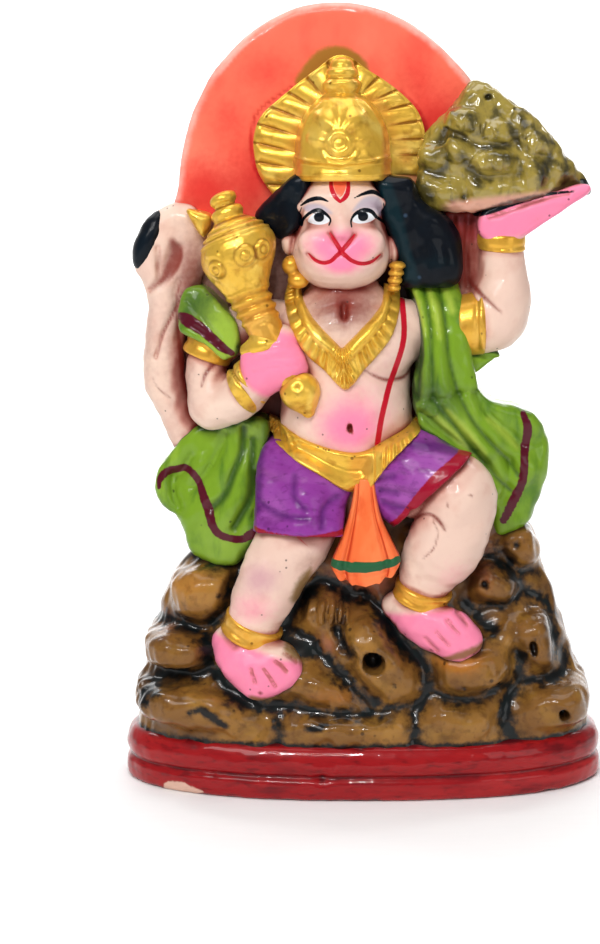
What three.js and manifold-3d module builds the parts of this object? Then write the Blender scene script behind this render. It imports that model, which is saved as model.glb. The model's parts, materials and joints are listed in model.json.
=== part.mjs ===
// A moulded clay idol of a monkey-headed deity, painted and glazed. The figure sits on a heap of rocks on an oval
// plinth, with a mace in one hand and a hilltop raised on the other, before a round halo. It is one piece of clay.
// Millimetres. +Z is up, +Y points to the back, and the origin is the middle of the plinth's underside.

import * as THREE from "three";
import { mergeVertices } from "three/addons/utils/BufferGeometryUtils.js";
import Module from "manifold-3d";

// Driving sizes of the moulding.
const PLINTH_WIDTH = 130;
const PLINTH_DEPTH = 58;
const PLINTH_HEIGHT = 14.5;
const GROOVE_HEIGHT = 6.4;
const HALO_RADIUS = 35.4;
const HALO_THICKNESS = 9;
const FACE_WIDTH = 25;
const CROWN_WIDTH = 24;
const FAN_CENTRE_HEIGHT = 168;
const WAIST_WIDTH = 35;
const TAIL_WIDTH = 10.5;
const FOLD_RADIUS = 3;
const TOE_RADIUS = 2.1;
const FINGER_RADIUS = 2.2;
const STONE_TURN = 24;
const STONE_BLUNTNESS = 0.72;
const SMALLEST_STEP = 0.3;

// Landmarks that the limbs, dress and ornaments are built on, each [x, y, z].
const HALO_CENTRE = [-6.3, 4, 170];
const HEAD = [-4.6, -8, 147];
const NECK = [-3.8, -8, 131];
const CHEST = [-3.6, -7, 118];
const WAIST = [-3.7, -6.5, 96];
const SASH_KNOT = [0.6, -20.5, 83];
const MACE_TIP = [-34.5, -10.5, 157.4];
const POMMEL = [-15.2, -19.5, 106.2];
const FIST = [-22.3, -17.5, 114.6];
const ELBOW_LOW = [-38.6, -9, 101.8];
const ELBOW_HIGH = [35.2, -5.5, 125.4];
const WRIST_HIGH = [36.4, -6, 144];
const KNEE_HANGING = [-16.3, -18.4, 69];
const ANKLE_HANGING = [-28.8, -18.5, 44.5];
const KNEE_RAISED = [25.4, -19.2, 82.4];
const ANKLE_RAISED = [17.6, -17.5, 54];

const wasm = await Module();
wasm.setup();

const Y_AXIS = new THREE.Vector3(0, 1, 0);
const Z_AXIS = new THREE.Vector3(0, 0, 1);
const offset = ([x, y, z], dx, dy, dz) => [x + dx, y + dy, z + dz];
const radians = THREE.MathUtils.degToRad;

// A closed geometry as a solid.
function formOf(geometry) {
  const bare = geometry.clone();
  bare.deleteAttribute("normal");
  bare.deleteAttribute("uv");
  const merged = mergeVertices(bare, 1e-4);
  return new wasm.Manifold(
    new wasm.Mesh({
      numProp: 3,
      vertProperties: Float32Array.from(merged.attributes.position.array),
      triVerts: Uint32Array.from(merged.index.array),
    }),
  );
}

// Rings of points joined into a closed skin, with a pole at each end. Rings turn left-handed about their path.
function skinOver(rings, firstPole, lastPole) {
  const sides = rings[0].length;
  const points = [...rings.flat(), firstPole, lastPole];
  const faces = [];
  const first = points.length - 2;
  for (let j = 0; j < sides; j += 1) {
    const next = (j + 1) % sides;
    faces.push(first, j, next);
    for (let i = 0; i < rings.length - 1; i += 1) {
      const low = i * sides;
      const high = low + sides;
      faces.push(low + j, high + j, low + next, low + next, high + j, high + next);
    }
    const top = (rings.length - 1) * sides;
    faces.push(first + 1, top + next, top + j);
  }
  return new THREE.BufferGeometry().setFromPoints(points).setIndex(faces);
}

// A limb through stations [[x, y, z], radius]: ellipses square to a smooth curve, depth times as deep as wide,
// with a rounded end at each pole.
function limb(stations, { sides = 8, steps = 5, depth = 1, forward = Y_AXIS } = {}) {
  const curve = new THREE.CatmullRomCurve3(stations.map(([place]) => new THREE.Vector3(...place)));
  const spans = stations.length - 1;
  const radiusAt = (u) => {
    const i = Math.min(Math.floor(u * spans), spans - 1);
    return THREE.MathUtils.lerp(stations[i][1], stations[i + 1][1], u * spans - i);
  };
  const ringAt = (u, shift, narrowing) => {
    const tangent = curve.getTangent(u);
    const across = new THREE.Vector3().crossVectors(tangent, forward).normalize();
    const front = new THREE.Vector3().crossVectors(across, tangent);
    const centre = curve.getPoint(u).addScaledVector(tangent, shift);
    const wide = radiusAt(u) * narrowing;
    return Array.from({ length: sides }, (_, j) => {
      const angle = (2 * Math.PI * j) / sides;
      return centre
        .clone()
        .addScaledVector(across, wide * Math.cos(angle))
        .addScaledVector(front, wide * depth * Math.sin(angle));
    });
  };
  const capLength = (u) => radiusAt(u) * Math.min(1, depth);
  const poleAt = (u, sign) => curve.getPoint(u).addScaledVector(curve.getTangent(u), sign * capLength(u));
  const round = Math.SQRT1_2;
  const rings = [ringAt(0, -capLength(0) * round, round)];
  for (let i = 0; i <= steps; i += 1) rings.push(ringAt(i / steps, 0, 1));
  rings.push(ringAt(1, capLength(1) * round, round));
  return formOf(skinOver(rings, poleAt(0, -1), poleAt(1, 1)));
}

// A ball with three radii, tilted about the Y axis.
function ball(centre, radii, { tilt = 0, sides = 8, rows = 5 } = {}) {
  const geometry = new THREE.SphereGeometry(1, sides, rows).rotateX(Math.PI / 2);
  return formOf(geometry.scale(...radii).rotateY(radians(tilt)).translate(...centre));
}

// A worn stone: a faceted ball pushed out towards a block, tilted about the Y axis.
function stone(centre, half, tilt) {
  const geometry = new THREE.IcosahedronGeometry(1, 1).rotateZ(radians(STONE_TURN));
  const places = geometry.attributes.position;
  const squared = (v) => Math.sign(v) * Math.abs(v) ** STONE_BLUNTNESS;
  for (let i = 0; i < places.count; i += 1)
    places.setXYZ(i, squared(places.getX(i)), squared(places.getY(i)), squared(places.getZ(i)));
  return formOf(geometry.scale(...half).rotateY(radians(tilt)).translate(...centre));
}

// A profile [[radius, height], ...] turned about an axis that starts at base and runs towards tip.
function turned(profile, base, tip, sides = 12) {
  const geometry = new THREE.LatheGeometry(
    profile.map(([radius, height]) => new THREE.Vector2(radius, height)),
    sides,
  );
  const along = new THREE.Vector3(...tip).sub(new THREE.Vector3(...base)).normalize();
  geometry.applyQuaternion(new THREE.Quaternion().setFromUnitVectors(Y_AXIS, along));
  return formOf(geometry.translate(...base));
}

// A plate seen from the front: a smooth closed outline [[x, z], ...] between two depths, with a rounded rim.
function plate(outline, front, back, { rim = 2, points = 30 } = {}) {
  const loop = new THREE.CatmullRomCurve3(outline.map(([x, z]) => new THREE.Vector3(x, z, 0)), true);
  const shape = new THREE.Shape(loop.getPoints(points).slice(0, -1).map(({ x, y }) => new THREE.Vector2(x, y)));
  const geometry = new THREE.ExtrudeGeometry(shape, {
    depth: back - front - 2 * rim,
    bevelThickness: rim,
    bevelSize: rim,
    bevelOffset: -rim,
    bevelSegments: 1,
  });
  return formOf(geometry.rotateX(Math.PI / 2).translate(0, back - rim, 0));
}

// A round ornament ring about a limb, its tube stretched by height along the ring's axis.
function ring(centre, [across, deep], tube, height, { tilt = 0, pitch = 0 } = {}) {
  const geometry = new THREE.TorusGeometry(1, 0.5, 4, 8);
  const places = geometry.attributes.position;
  for (let i = 0; i < places.count; i += 1) {
    const [x, y, z] = [places.getX(i), places.getY(i), places.getZ(i)];
    const out = Math.hypot(x, y);
    const swell = (out - 1) * 2 * tube;
    places.setXYZ(i, (x / out) * (across + swell), (y / out) * (deep + swell), z * 2 * height);
  }
  geometry.rotateX(radians(pitch)).rotateY(radians(tilt)).translate(...centre);
  return formOf(geometry);
}

// One level of an oval: a superellipse of half sizes [a, b] about [x, y] at height z.
function ovalLevel([x, y, z], [a, b], sides, exponent) {
  const power = 2 / exponent;
  const bend = (v) => Math.sign(v) * Math.abs(v) ** power;
  return Array.from({ length: sides }, (_, j) => {
    const angle = (-2 * Math.PI * j) / sides;
    return new THREE.Vector3(x + a * bend(Math.cos(angle)), y + b * bend(Math.sin(angle)), z);
  });
}

// Levels [[x, y, z], [a, b]] stacked upwards into a closed mound with flat ends.
function mound(levels, sides, exponent = 2.3) {
  const rings = levels.map(([centre, half]) => ovalLevel(centre, half, sides, exponent));
  const middle = ([centre]) => new THREE.Vector3(...centre);
  return formOf(skinOver(rings, middle(levels[0]), middle(levels.at(-1))));
}

// The oval plinth: two rounded bands with a groove between them.
function makePlinth() {
  const profile = [
    [0, 1.2],
    [2, 0],
    [GROOVE_HEIGHT - 1.4, 0],
    [GROOVE_HEIGHT, 1.4],
    [GROOVE_HEIGHT + 1.4, 0],
    [PLINTH_HEIGHT - 2.4, 0.2],
    [PLINTH_HEIGHT, 2],
  ];
  const levels = profile.map(([z, inset]) => [
    [0, 0, z],
    [PLINTH_WIDTH / 2 - inset, PLINTH_DEPTH / 2 - inset],
  ]);
  return [mound(levels, 28)];
}

// The heap of rocks: a core that narrows upwards, boulders and slabs set against it, holes and a ribbed stone.
function makeRocks() {
  const core = mound(
    [
      [[0, 0, PLINTH_HEIGHT - 1], [61, 26.5]],
      [[-0.3, 0.5, 22], [60.5, 25]],
      [[-1.5, 1, 35], [56.5, 22]],
      [[-1.5, 1.5, 48], [51.5, 18]],
      [[-2, 2, 60], [47, 14.5]],
      [[-2, 2, 72], [43, 12]],
      [[-3, 2, 84], [33, 10]],
    ],
    18,
  );
  // Each stone: centre, half sizes, tilt about Y in degrees.
  const stones = [
    [[-43, -4, 53], [9.6, 13, 9.2], -14],
    [[-46.6, -7, 37.4], [12, 16, 7.6], 8],
    [[-41.5, -9.4, 22.4], [20.6, 17, 8.4], 7],
    [[-6, -11, 20.6], [19.6, 16.6, 6.8], 0],
    [[-15, -11, 28.6], [15, 14, 6.4], 12],
    [[26, -10, 20.6], [13, 17, 6.8], -1],
    [[48.6, -3.4, 23.6], [12.6, 20, 9.8], -5],
    [[29, -10.4, 32], [13, 16, 8.6], -8],
    [[4.6, -10.6, 35.4], [11.6, 16.4, 14.6], -38],
    [[-9, -8, 49.4], [10.6, 12.4, 9.8], 12],
    [[35.6, -5.6, 51.6], [9.6, 13, 8.8], 14],
    [[40.8, -1, 61.6], [6.6, 11.6, 8.2], -24],
    [[43.2, -6, 40], [10.8, 15, 9.6], -14],
    [[-30, 11, 29], [22, 13, 14], 8],
    [[26, 11, 30], [26, 13, 16], -6],
    [[-1, 7, 56], [38, 10, 17], 3],
  ].map((form) => stone(...form));
  const ribs = Array.from({ length: 3 }, (_, i) => {
    const x = -12 + 4 * i;
    const lean = -0.6 + 0.6 * i;
    return limb([[[x, -18.6, 46.5], 1.3], [[x + lean, -19.4, 50], 1.6], [[x + 2 * lean, -17.6, 54], 1.2]], {
      sides: 5,
      steps: 1,
    });
  });
  return [core, ...stones, ...ribs];
}

// Round hollows worn in the stones.
function rockHollows() {
  return [
    [[3, -26.6, 37.5], 3],
    [[33.6, -18, 54], 1.8],
    [[40, -12.6, 62.2], 1.8],
    [[42.2, -20.6, 41.6], 1.7],
  ].map(([centre, radius]) => ball(centre, [radius, radius * 1.3, radius], { rows: 4 }));
}

// A row of toes from the big toe to the small one, each a ball on a line between two places.
function toes(big, small) {
  const from = new THREE.Vector3(...big);
  const to = new THREE.Vector3(...small);
  return Array.from({ length: 5 }, (_, i) => {
    const radius = TOE_RADIUS * (i === 0 ? 1.4 : 1.05 - 0.08 * i);
    const place = from.clone().lerp(to, i / 4).toArray();
    return ball(place, [radius, radius * 1.2, radius], { sides: 6, rows: 4 });
  });
}

// The hanging leg and its foot.
function makeHangingLeg() {
  const leg = limb(
    [
      [offset(KNEE_HANGING, 2, 8, 9), 10.5],
      [KNEE_HANGING, 10.2],
      [offset(KNEE_HANGING, -4.4, -0.3, -7.5), 9.4],
      [offset(ANKLE_HANGING, 4.2, -0.6, 10), 8.4],
      [offset(ANKLE_HANGING, 1.2, 0, 3.6), 7.4],
      [ANKLE_HANGING, 6.8],
    ],
    { depth: 0.85, steps: 6 },
  );
  const foot = limb(
    [
      [offset(ANKLE_HANGING, -6.2, 1, -6), 4.9],
      [offset(ANKLE_HANGING, -0.6, -1.8, -9), 7.2],
      [offset(ANKLE_HANGING, 6.2, -3.2, -10.8), 6.6],
    ],
    { depth: 0.85, steps: 3 },
  );
  const anklet = ring(offset(ANKLE_HANGING, -0.6, -0.4, -0.6), [7, 6], 0.9, 2.2, { tilt: 20 });
  const toeRow = toes(offset(ANKLE_HANGING, 1.4, -7, -15.6), offset(ANKLE_HANGING, 12.2, -4.4, -9.4));
  return [leg, foot, anklet, ...toeRow];
}

// The raised leg: knee forward, shin slanting down to a foot planted on a stone.
function makeRaisedLeg() {
  const leg = limb(
    [
      [offset(KNEE_RAISED, -1, 1, -1.6), 9.4],
      [offset(KNEE_RAISED, -1, -0.4, -8), 10],
      [offset(KNEE_RAISED, -3.6, 0.6, -15.5), 9.9],
      [offset(ANKLE_RAISED, 2, 0, 7.5), 8.4],
      [offset(ANKLE_RAISED, 0.4, 0, 1), 6],
      [offset(ANKLE_RAISED, -0.6, 0, -3), 5.8],
    ],
    { depth: 0.82, steps: 6 },
  );
  const foot = limb(
    [
      [offset(ANKLE_RAISED, -7, 1, -4), 4.8],
      [offset(ANKLE_RAISED, -1, -1.6, -7), 6.6],
      [offset(ANKLE_RAISED, 7.6, -3.8, -10.4), 6.3],
    ],
    { depth: 0.85, steps: 3 },
  );
  const anklet = ring(offset(ANKLE_RAISED, -2.4, -0.4, -0.6), [6, 5.2], 0.9, 2, { tilt: 22 });
  const toeRow = toes(offset(ANKLE_RAISED, 4.6, -7.4, -14.8), offset(ANKLE_RAISED, 13, -4.6, -10.2));
  return [leg, foot, anklet, ...toeRow];
}

// The trunk from hips to neck, with the chest muscles and the shoulders.
function makeTrunk() {
  const half = WAIST_WIDTH / 2;
  const trunk = limb(
    [
      [offset(WAIST, 0.6, 1, -12), half - 1],
      [WAIST, half + 0.6],
      [offset(WAIST, -0.4, 0, 9), half],
      [CHEST, half + 1.4],
      [offset(CHEST, 0, 1.5, 8), half - 1],
    ],
    { depth: 0.76, sides: 12, steps: 5 },
  );
  const neck = limb([[offset(NECK, 0, 0, -5), 9.4], [offset(NECK, -0.2, 0, 4), 8.4]], { steps: 2 });
  const chest = [-10, 10].map((dx) => ball(offset(CHEST, dx, -4.4, -0.5), [9.4, 7.6, 8.8]));
  return [trunk, neck, ...chest];
}

// The head: skull, cheeks, muzzle, nose, brow and ears of a monkey.
function makeHead() {
  const half = FACE_WIDTH / 2;
  const skull = ball(HEAD, [half - 0.4, 11.6, 15.2], { sides: 12, rows: 7 });
  const jowls = ball(offset(HEAD, -0.2, -1.6, -5.4), [half + 0.2, 11.4, 9.4], { sides: 10, rows: 5 });
  const muzzle = ball(offset(HEAD, -0.2, -9.2, -5.8), [9.2, 6.4, 6.2], { sides: 10, rows: 5 });
  const nose = ball(offset(HEAD, -0.2, -13.2, -0.6), [2.6, 2.6, 2], { sides: 6, rows: 4 });
  const bridge = limb([[offset(HEAD, 0, -10, 6), 2.2], [offset(HEAD, -0.1, -12, 0.5), 2]], {
    sides: 6,
    steps: 1,
  });
  const ears = [-1, 1].map((side) => ball(offset(HEAD, side * (half + 0.8), 1, -3.4), [2, 3, 3.4]));
  const earrings = [
    ball(offset(HEAD, -13.4, -2.2, -7), [2.6, 2.6, 2.6], { sides: 6, rows: 4 }),
    ball(offset(HEAD, -12.6, -3, -11.6), [3, 2.8, 2.8], { sides: 6, rows: 4 }),
    ball(offset(HEAD, 13.6, -2.2, -8), [2.3, 2.6, 2.4], { sides: 6, rows: 4 }),
    ball(offset(HEAD, 13.8, -3, -12), [2.5, 2.6, 2.4], { sides: 6, rows: 4 }),
  ];
  return [skull, jowls, muzzle, nose, bridge, ...ears, ...earrings];
}

// Hair that falls to both sides of the face, longer on the side of the raised arm.
function makeHair() {
  const locks = [
    [offset(HEAD, -15.4, 4, 5), [7, 6, 8.6], 38],
    [offset(HEAD, -14.6, 3, 0.5), [5.4, 5.6, 4.4], 0],
    [offset(HEAD, 14.4, 3, 4), [6.6, 6.8, 9.4], -16],
    [offset(HEAD, 20.4, 3.4, -5), [10.2, 7.2, 9.4], -24],
    [offset(HEAD, 0, 7, -4), [14, 6, 13], 0],
  ];
  return locks.map(([centre, radii, tilt]) => ball(centre, radii, { tilt }));
}

// The crown: a domed cap with a stepped finial, a leaf and ring on its front, and a ribbed fan behind it.
function makeCrown() {
  const half = CROWN_WIDTH / 2;
  const base = offset(HEAD, 0, 0, 12.4);
  const cap = turned(
    [
      [0, 0],
      [half, 0],
      [half + 0.2, 5],
      [half - 0.2, 10],
      [half - 1.8, 14.4],
      [half - 4.4, 18],
      [5.9, 20.4],
      [5.8, 22],
      [4.6, 23],
      [5.4, 25],
      [4, 27.2],
      [3.4, 30.2],
      [0, 31.6],
    ],
    base,
    offset(base, 0, 0, 1),
  );
  const band = ring(offset(base, 0, 0, 1.8), [half - 0.4, half - 0.4], 1.2, 2.2);
  const fanOutline = [
    [-20.4, 157.5],
    [-26.2, 163],
    [-27.2, 169.5],
    [-25.4, 177],
    [-18.8, 182],
    [-9.6, 188],
    [-4.6, 191],
    [1.6, 187],
    [11, 180.4],
    [15.8, 173],
    [16, 164],
    [12.4, 158],
  ];
  const fanFront = HALO_CENTRE[1] - 10.5;
  const fan = plate(fanOutline, fanFront, HALO_CENTRE[1], { rim: 0.8, points: 24 });
  const ribs = [-1, 1].flatMap((side) =>
    Array.from({ length: 5 }, (_, i) => {
      const angle = radians(-16 + 21 * i);
      const spoke = (length) => {
        const across = HEAD[0] + side * length * Math.cos(angle);
        return [across, fanFront, FAN_CENTRE_HEIGHT + length * Math.sin(angle)];
      };
      return limb([[spoke(11), 1.4], [spoke(18.6), 2.6]], { sides: 5, steps: 1, depth: 0.7 });
    }),
  );
  const leaf = [-1, 1].map((side) =>
    ball(offset(base, side * 3, -10, 13.6), [3, 2.6, 4.4], { tilt: side * 22, sides: 6, rows: 4 }),
  );
  const rosette = ball(offset(base, 0, -11.8, 7.6), [2.4, 1.8, 2.4], { sides: 6, rows: 4 });
  return [cap, band, fan, ...ribs, ...leaf, rosette];
}

// The halo: a round slab that runs down behind the head, the shoulders and the tail.
function makeHalo() {
  const [x, y, z] = HALO_CENTRE;
  const arc = Array.from({ length: 9 }, (_, i) => {
    const angle = radians(172 - 18.5 * i);
    return [x + HALO_RADIUS * Math.cos(angle), z + HALO_RADIUS * Math.sin(angle)];
  });
  const behindTail = [
    [-30, 90],
    [-42, 98],
    [-46.5, 118],
    [-48.6, 150],
  ];
  const behindArm = [
    [33, 160],
    [31.5, 138],
    [30, 112],
    [24, 92],
  ];
  const outline = [...behindTail, ...arc, ...behindArm];
  const front = y - HALO_THICKNESS / 2;
  return [plate(outline, front, front + HALO_THICKNESS, { rim: 2.2, points: 26 })];
}

// The hilltop: a lumpy half dome with a flat underside, higher on the side of the head.
function makeHill() {
  const hill = mound(
    [
      [[36, -3, 152.4], [18, 8.5]],
      [[37.7, -3, 156], [22, 11.5]],
      [[36.4, -3, 161], [21.4, 11.8]],
      [[34.4, -2.5, 167], [18.8, 10.8]],
      [[32.8, -2, 173], [14.8, 9]],
      [[31.6, -1.5, 179], [8.6, 6.8]],
      [[31, -1, 183.6], [3.6, 4]],
    ],
    14,
  );
  // Swellings on the front of the hill: centre, radii.
  const swellings = [
    [[22, -11, 162], [6, 4.6, 5.4]],
    [[27, -10, 172.5], [6.6, 4.6, 5]],
    [[36, -11, 166], [7, 4.4, 5.6]],
    [[46.5, -9.5, 161.5], [7, 4.4, 5.6]],
    [[31, -13, 156.5], [8, 3.6, 3.6]],
    [[40, -8, 173], [5.4, 4.4, 4.6]],
    [[28.6, -6.5, 180], [3.6, 3.6, 3.6]],
  ].map(([centre, radii]) => ball(centre, radii, { rows: 4 }));
  return [hill, ...swellings];
}

// The arm that lifts the hilltop, with its open hand, wristband and armlet.
function makeRaisedArm() {
  const arm = limb(
    [
      [[13, -6, 122.6], 8.6],
      [[25, -6.6, 122.4], 7.6],
      [ELBOW_HIGH, 7.9],
      [offset(ELBOW_HIGH, 2, 0, 7.2), 6.8],
      [offset(WRIST_HIGH, 0.5, 0, -5.5), 6],
      [WRIST_HIGH, 5.8],
      [offset(WRIST_HIGH, 0, 0, 6), 5.6],
    ],
    { depth: 0.95, steps: 9 },
  );
  const hand = limb(
    [
      [offset(WRIST_HIGH, 0.4, 0, 4.6), 5.6],
      [offset(WRIST_HIGH, 8, 0, 7.4), 4.4],
      [offset(WRIST_HIGH, 14, 0.5, 9.2), 3],
      [offset(WRIST_HIGH, 20, 1, 11.2), 1.5],
    ],
    { depth: 1.25, steps: 3 },
  );
  const wristband = ring(WRIST_HIGH, [5.8, 5.5], 1.1, 2.4);
  const armlets = [25.6, 29.4].map((x) => ring([x, -7, 124.2], [7, 7], 1.2, 1.7, { tilt: 90 }));
  return [arm, hand, wristband, ...armlets];
}

// The arm that holds the mace: upper arm, forearm, fist with its fingers, bracelets and armlet.
function makeMaceArm() {
  const upper = limb(
    [
      [[-22, -5, 125], 8.4],
      [[-34, -6, 123.5], 6.8],
      [[-40.4, -6.5, 114], 5.6],
      [ELBOW_LOW, 6.4],
    ],
    { depth: 1, steps: 5 },
  );
  const forearm = limb([[ELBOW_LOW, 6.4], [offset(ELBOW_LOW, 7, -4, 3), 6.2], [offset(FIST, -3.6, 1, -5), 5.6]], {
    steps: 3,
  });
  const palm = ball(FIST, [7.4, 5.6, 7.2], { tilt: -20 });
  const fingers = Array.from({ length: 4 }, (_, i) => {
    const drop = 1.8 - 3.3 * i;
    return limb(
      [
        [offset(FIST, -5, -3.4, 2 + drop), FINGER_RADIUS],
        [offset(FIST, 1, -5.6, 2.6 + drop), FINGER_RADIUS],
        [offset(FIST, 6.4, -2.6, 2.4 + drop), FINGER_RADIUS * 0.85],
      ],
      { sides: 6, steps: 2, forward: Z_AXIS },
    );
  });
  const bracelets = [0, 3.2].map((along) =>
    ring(offset(FIST, -6.6 - along, 2.6 + along * 0.2, -4.2 - along * 0.5), [6, 6], 1, 1.3, { tilt: 52 }),
  );
  const armlet = ring([-41.2, -6.5, 117.6], [5.4, 5.8], 0.9, 2.2, { tilt: -12 });
  return [upper, forearm, palm, ...fingers, ...bracelets, armlet];
}

// The mace: finial, ribbed bulb, tapering neck, handle through the fist and pommel, with rosettes on the bulb.
function makeMace() {
  const profile = [
    [0, 0],
    [3.4, 2.2],
    [2.4, 4.4],
    [3.9, 6],
    [3.3, 7.6],
    [6.6, 9],
    [9.2, 11.8],
    [10.4, 16],
    [9.6, 20.4],
    [7.4, 24.6],
    [5.6, 27.4],
    [5.8, 29.2],
    [4.8, 32],
    [4.6, 38],
    [2.8, 41],
    [2.8, 50],
    [0, 51],
  ];
  const shaft = turned(profile, MACE_TIP, POMMEL);
  const flange = ball(offset(FIST, -2.6, -3, 6.8), [4.6, 3.6, 3], { tilt: -28 });
  const pommel = ball(POMMEL, [5.2, 4.8, 5.2]);
  const rosettes = [
    [[-28.6, -22.4, 142.2], 2.5],
    [[-23.8, -19.6, 143.8], 2.2],
    [[-36.2, -20.6, 138.4], 1.9],
    [[-39.6, -15, 144.8], 1.9],
  ].map(([centre, radius]) => ball(centre, [radius, radius * 0.7, radius], { sides: 6, rows: 4 }));
  const lobe = ball([-41.4, -5, 150.4], [3.2, 4, 5], { tilt: 20 });
  return [shaft, flange, pommel, ...rosettes, lobe];
}

// The tail: a thick band that rises beside the figure and curls over to a dark tuft.
function makeTail() {
  const half = TAIL_WIDTH / 2;
  const band = limb(
    [
      [[-39.5, -2.5, 88.5], half - 1],
      [[-45.5, -1, 94.5], half],
      [[-50.2, 0, 102], half + 0.2],
      [[-52.4, 0, 111], half - 0.2],
      [[-52.2, 0, 120], half - 0.5],
      [[-50.8, 0, 128], half + 0.4],
      [[-49.6, 0, 136], half + 1.8],
      [[-48.4, 0, 144], half + 1.4],
      [[-47.4, 0, 150], half - 0.6],
    ],
    { steps: 9, depth: 0.95 },
  );
  const curl = ball([-53.2, -0.5, 144.4], [4.6, 4.4, 8.6], { tilt: 26 });
  const tuft = ball([-55, -1, 144.8], [3.5, 4.6, 8.6], { tilt: 26 });
  return [band, curl, tuft];
}

// The hollow inside the tail's curl.
function tailHollow() {
  return [ball([-49.4, -6.6, 139.4], [2.2, 3, 5.6], { tilt: 16 })];
}

// The short trousers: one leg over each thigh, with a band of hem.
function makeShorts() {
  const hangingSide = limb(
    [
      [offset(WAIST, -6, 0.5, -5), 13],
      [offset(WAIST, -11, -5, -14), 12.6],
      [offset(KNEE_HANGING, 0.2, 1.4, 6), 11.4],
    ],
    { steps: 4, sides: 10, depth: 0.9 },
  );
  const raisedSide = limb(
    [
      [offset(WAIST, 7, 0.5, -6), 11.6],
      [offset(WAIST, 15, -6.4, -10.6), 11.4],
      [offset(KNEE_RAISED, -5.4, 0.6, 0), 9.8],
    ],
    { steps: 4, sides: 10, forward: Z_AXIS },
  );
  return [hangingSide, raisedSide];
}

// The belt across the hips, its knot, and the pleated sash that hangs between the legs.
function makeSash() {
  const belt = limb(
    [
      [[-22, -11, 95], 2.8],
      [[-16, -16.8, 90.6], 3.1],
      [[-8, -19.6, 87.6], 3.2],
      [[0.4, -20, 86.4], 3.2],
      [[8, -17.6, 90.4], 3],
      [[14.2, -12, 95.6], 2.6],
    ],
    { sides: 6, steps: 6, depth: 0.75 },
  );
  const knot = ball(offset(SASH_KNOT, 0, 0.4, 0.6), [4.6, 3, 4.4]);
  const backing = limb(
    [
      [offset(SASH_KNOT, 0, 3, -2), 3.6],
      [offset(SASH_KNOT, 0.2, 2, -12), 6.6],
      [offset(SASH_KNOT, 0.4, 2, -20.5), 8],
    ],
    { depth: 0.42, steps: 3, sides: 8 },
  );
  const pleats = Array.from({ length: 5 }, (_, i) => {
    const spread = (i - 2) / 2;
    const drop = -24.4 + 3.6 * spread * spread;
    return limb(
      [
        [offset(SASH_KNOT, 2.4 * spread, -0.6, -2), 0.8],
        [offset(SASH_KNOT, 0.2 + 4.6 * spread, -1, -12), 1.2],
        [offset(SASH_KNOT, 0.4 + 7.6 * spread, -0.8, drop), 1.7],
      ],
      { sides: 5, steps: 2 },
    );
  });
  return [belt, knot, backing, ...pleats];
}

// The broad necklace, ribbed along both arms of its V, and its pendant.
function makeNecklace() {
  const collar = limb(
    [
      [[-17.8, -11, 132], 2.6],
      [[-16, -15, 126], 3.2],
      [[-10.6, -17.6, 119.6], 4.2],
      [[-4.2, -19, 115], 4.6],
      [[2.6, -18, 119], 4],
      [[6.8, -15.6, 125], 3.2],
      [[8.4, -11.4, 132], 2.4],
    ],
    { sides: 6, steps: 8, depth: 0.55 },
  );
  const pendant = ball([-3.9, -19, 111.4], [4.6, 2.4, 4.2]);
  return [collar, pendant];
}

// The shawl: three folds over the shoulder that turn out into a flared end, and a second end on the other side.
function makeShawl() {
  const flare = plate(
    [
      [16, 104],
      [27.6, 113],
      [33.4, 103],
      [41, 100.8],
      [47.6, 96],
      [49.6, 88],
      [48, 79],
      [43.6, 70.6],
      [34, 68],
      [30, 80],
      [17, 93],
    ],
    -8.5,
    4,
    { rim: 2.4, points: 17 },
  );
  const folds = [
    [
      [13.6, -8, 132.6],
      [16.4, -13.6, 126],
      [17.2, -14.4, 115],
      [16.2, -13.6, 105],
      [19.4, -12.6, 97],
      [27, -10.6, 91.4],
    ],
    [
      [18.6, -8, 132.6],
      [20.2, -13, 126],
      [21.6, -14.2, 115],
      [22.4, -13.4, 105],
      [29.6, -11.8, 94.6],
      [38, -8.6, 82],
    ],
    [
      [23, -6, 131.6],
      [24.4, -11, 126],
      [26, -12.4, 115],
      [28.6, -11.4, 105],
      [35.6, -9.8, 96.6],
      [42.4, -8, 87],
    ],
  ].map((line) => limb(line.map((place) => [place, FOLD_RADIUS]), { sides: 6, steps: 6 }));
  const lowerEnd = plate(
    [
      [-25, 95],
      [-38, 96],
      [-49, 90.6],
      [-54.6, 80],
      [-48.6, 71.6],
      [-45.6, 63],
      [-38, 59],
      [-29.4, 62],
      [-25.4, 71],
      [-27, 83],
    ],
    -8.5,
    5,
    { rim: 2.4, points: 17 },
  );
  const lowerFolds = [
    [[-27, -7, 94], [-28, -8.6, 84], [-31.4, -9.4, 73], [-33.6, -8.6, 65]],
    [[-33.4, -7, 93], [-34.6, -8.4, 84], [-39.6, -8.8, 74], [-41, -8, 66]],
    [[-40, -5.6, 89], [-43.6, -7.6, 83], [-48, -7, 78]],
  ].map((line) => limb(line.map((place) => [place, FOLD_RADIUS * 0.8]), { sides: 6, steps: 4 }));
  const tuckedEnd = limb([[[-44, -1.5, 131], 4], [[-39.4, -3.4, 124], 4.6], [[-34, -4.6, 117], 3.4]], {
    sides: 6,
    steps: 2,
  });
  return [flare, ...folds, lowerEnd, ...lowerFolds, tuckedEnd];
}

// The plain back: the back and head of the figure as low swellings that run down into the rocks.
function makeBack() {
  const back = limb(
    [
      [[-5, 2, 66], 27],
      [[-5, 5, 92], 26],
      [[-5, 6, 118], 25],
      [[-5, 6, 136], 19],
      [[-5.4, 5.6, 152], 15],
      [[-5.6, 4.6, 168], 12],
    ],
    { depth: 0.34, steps: 5, sides: 10 },
  );
  return [back];
}

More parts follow.
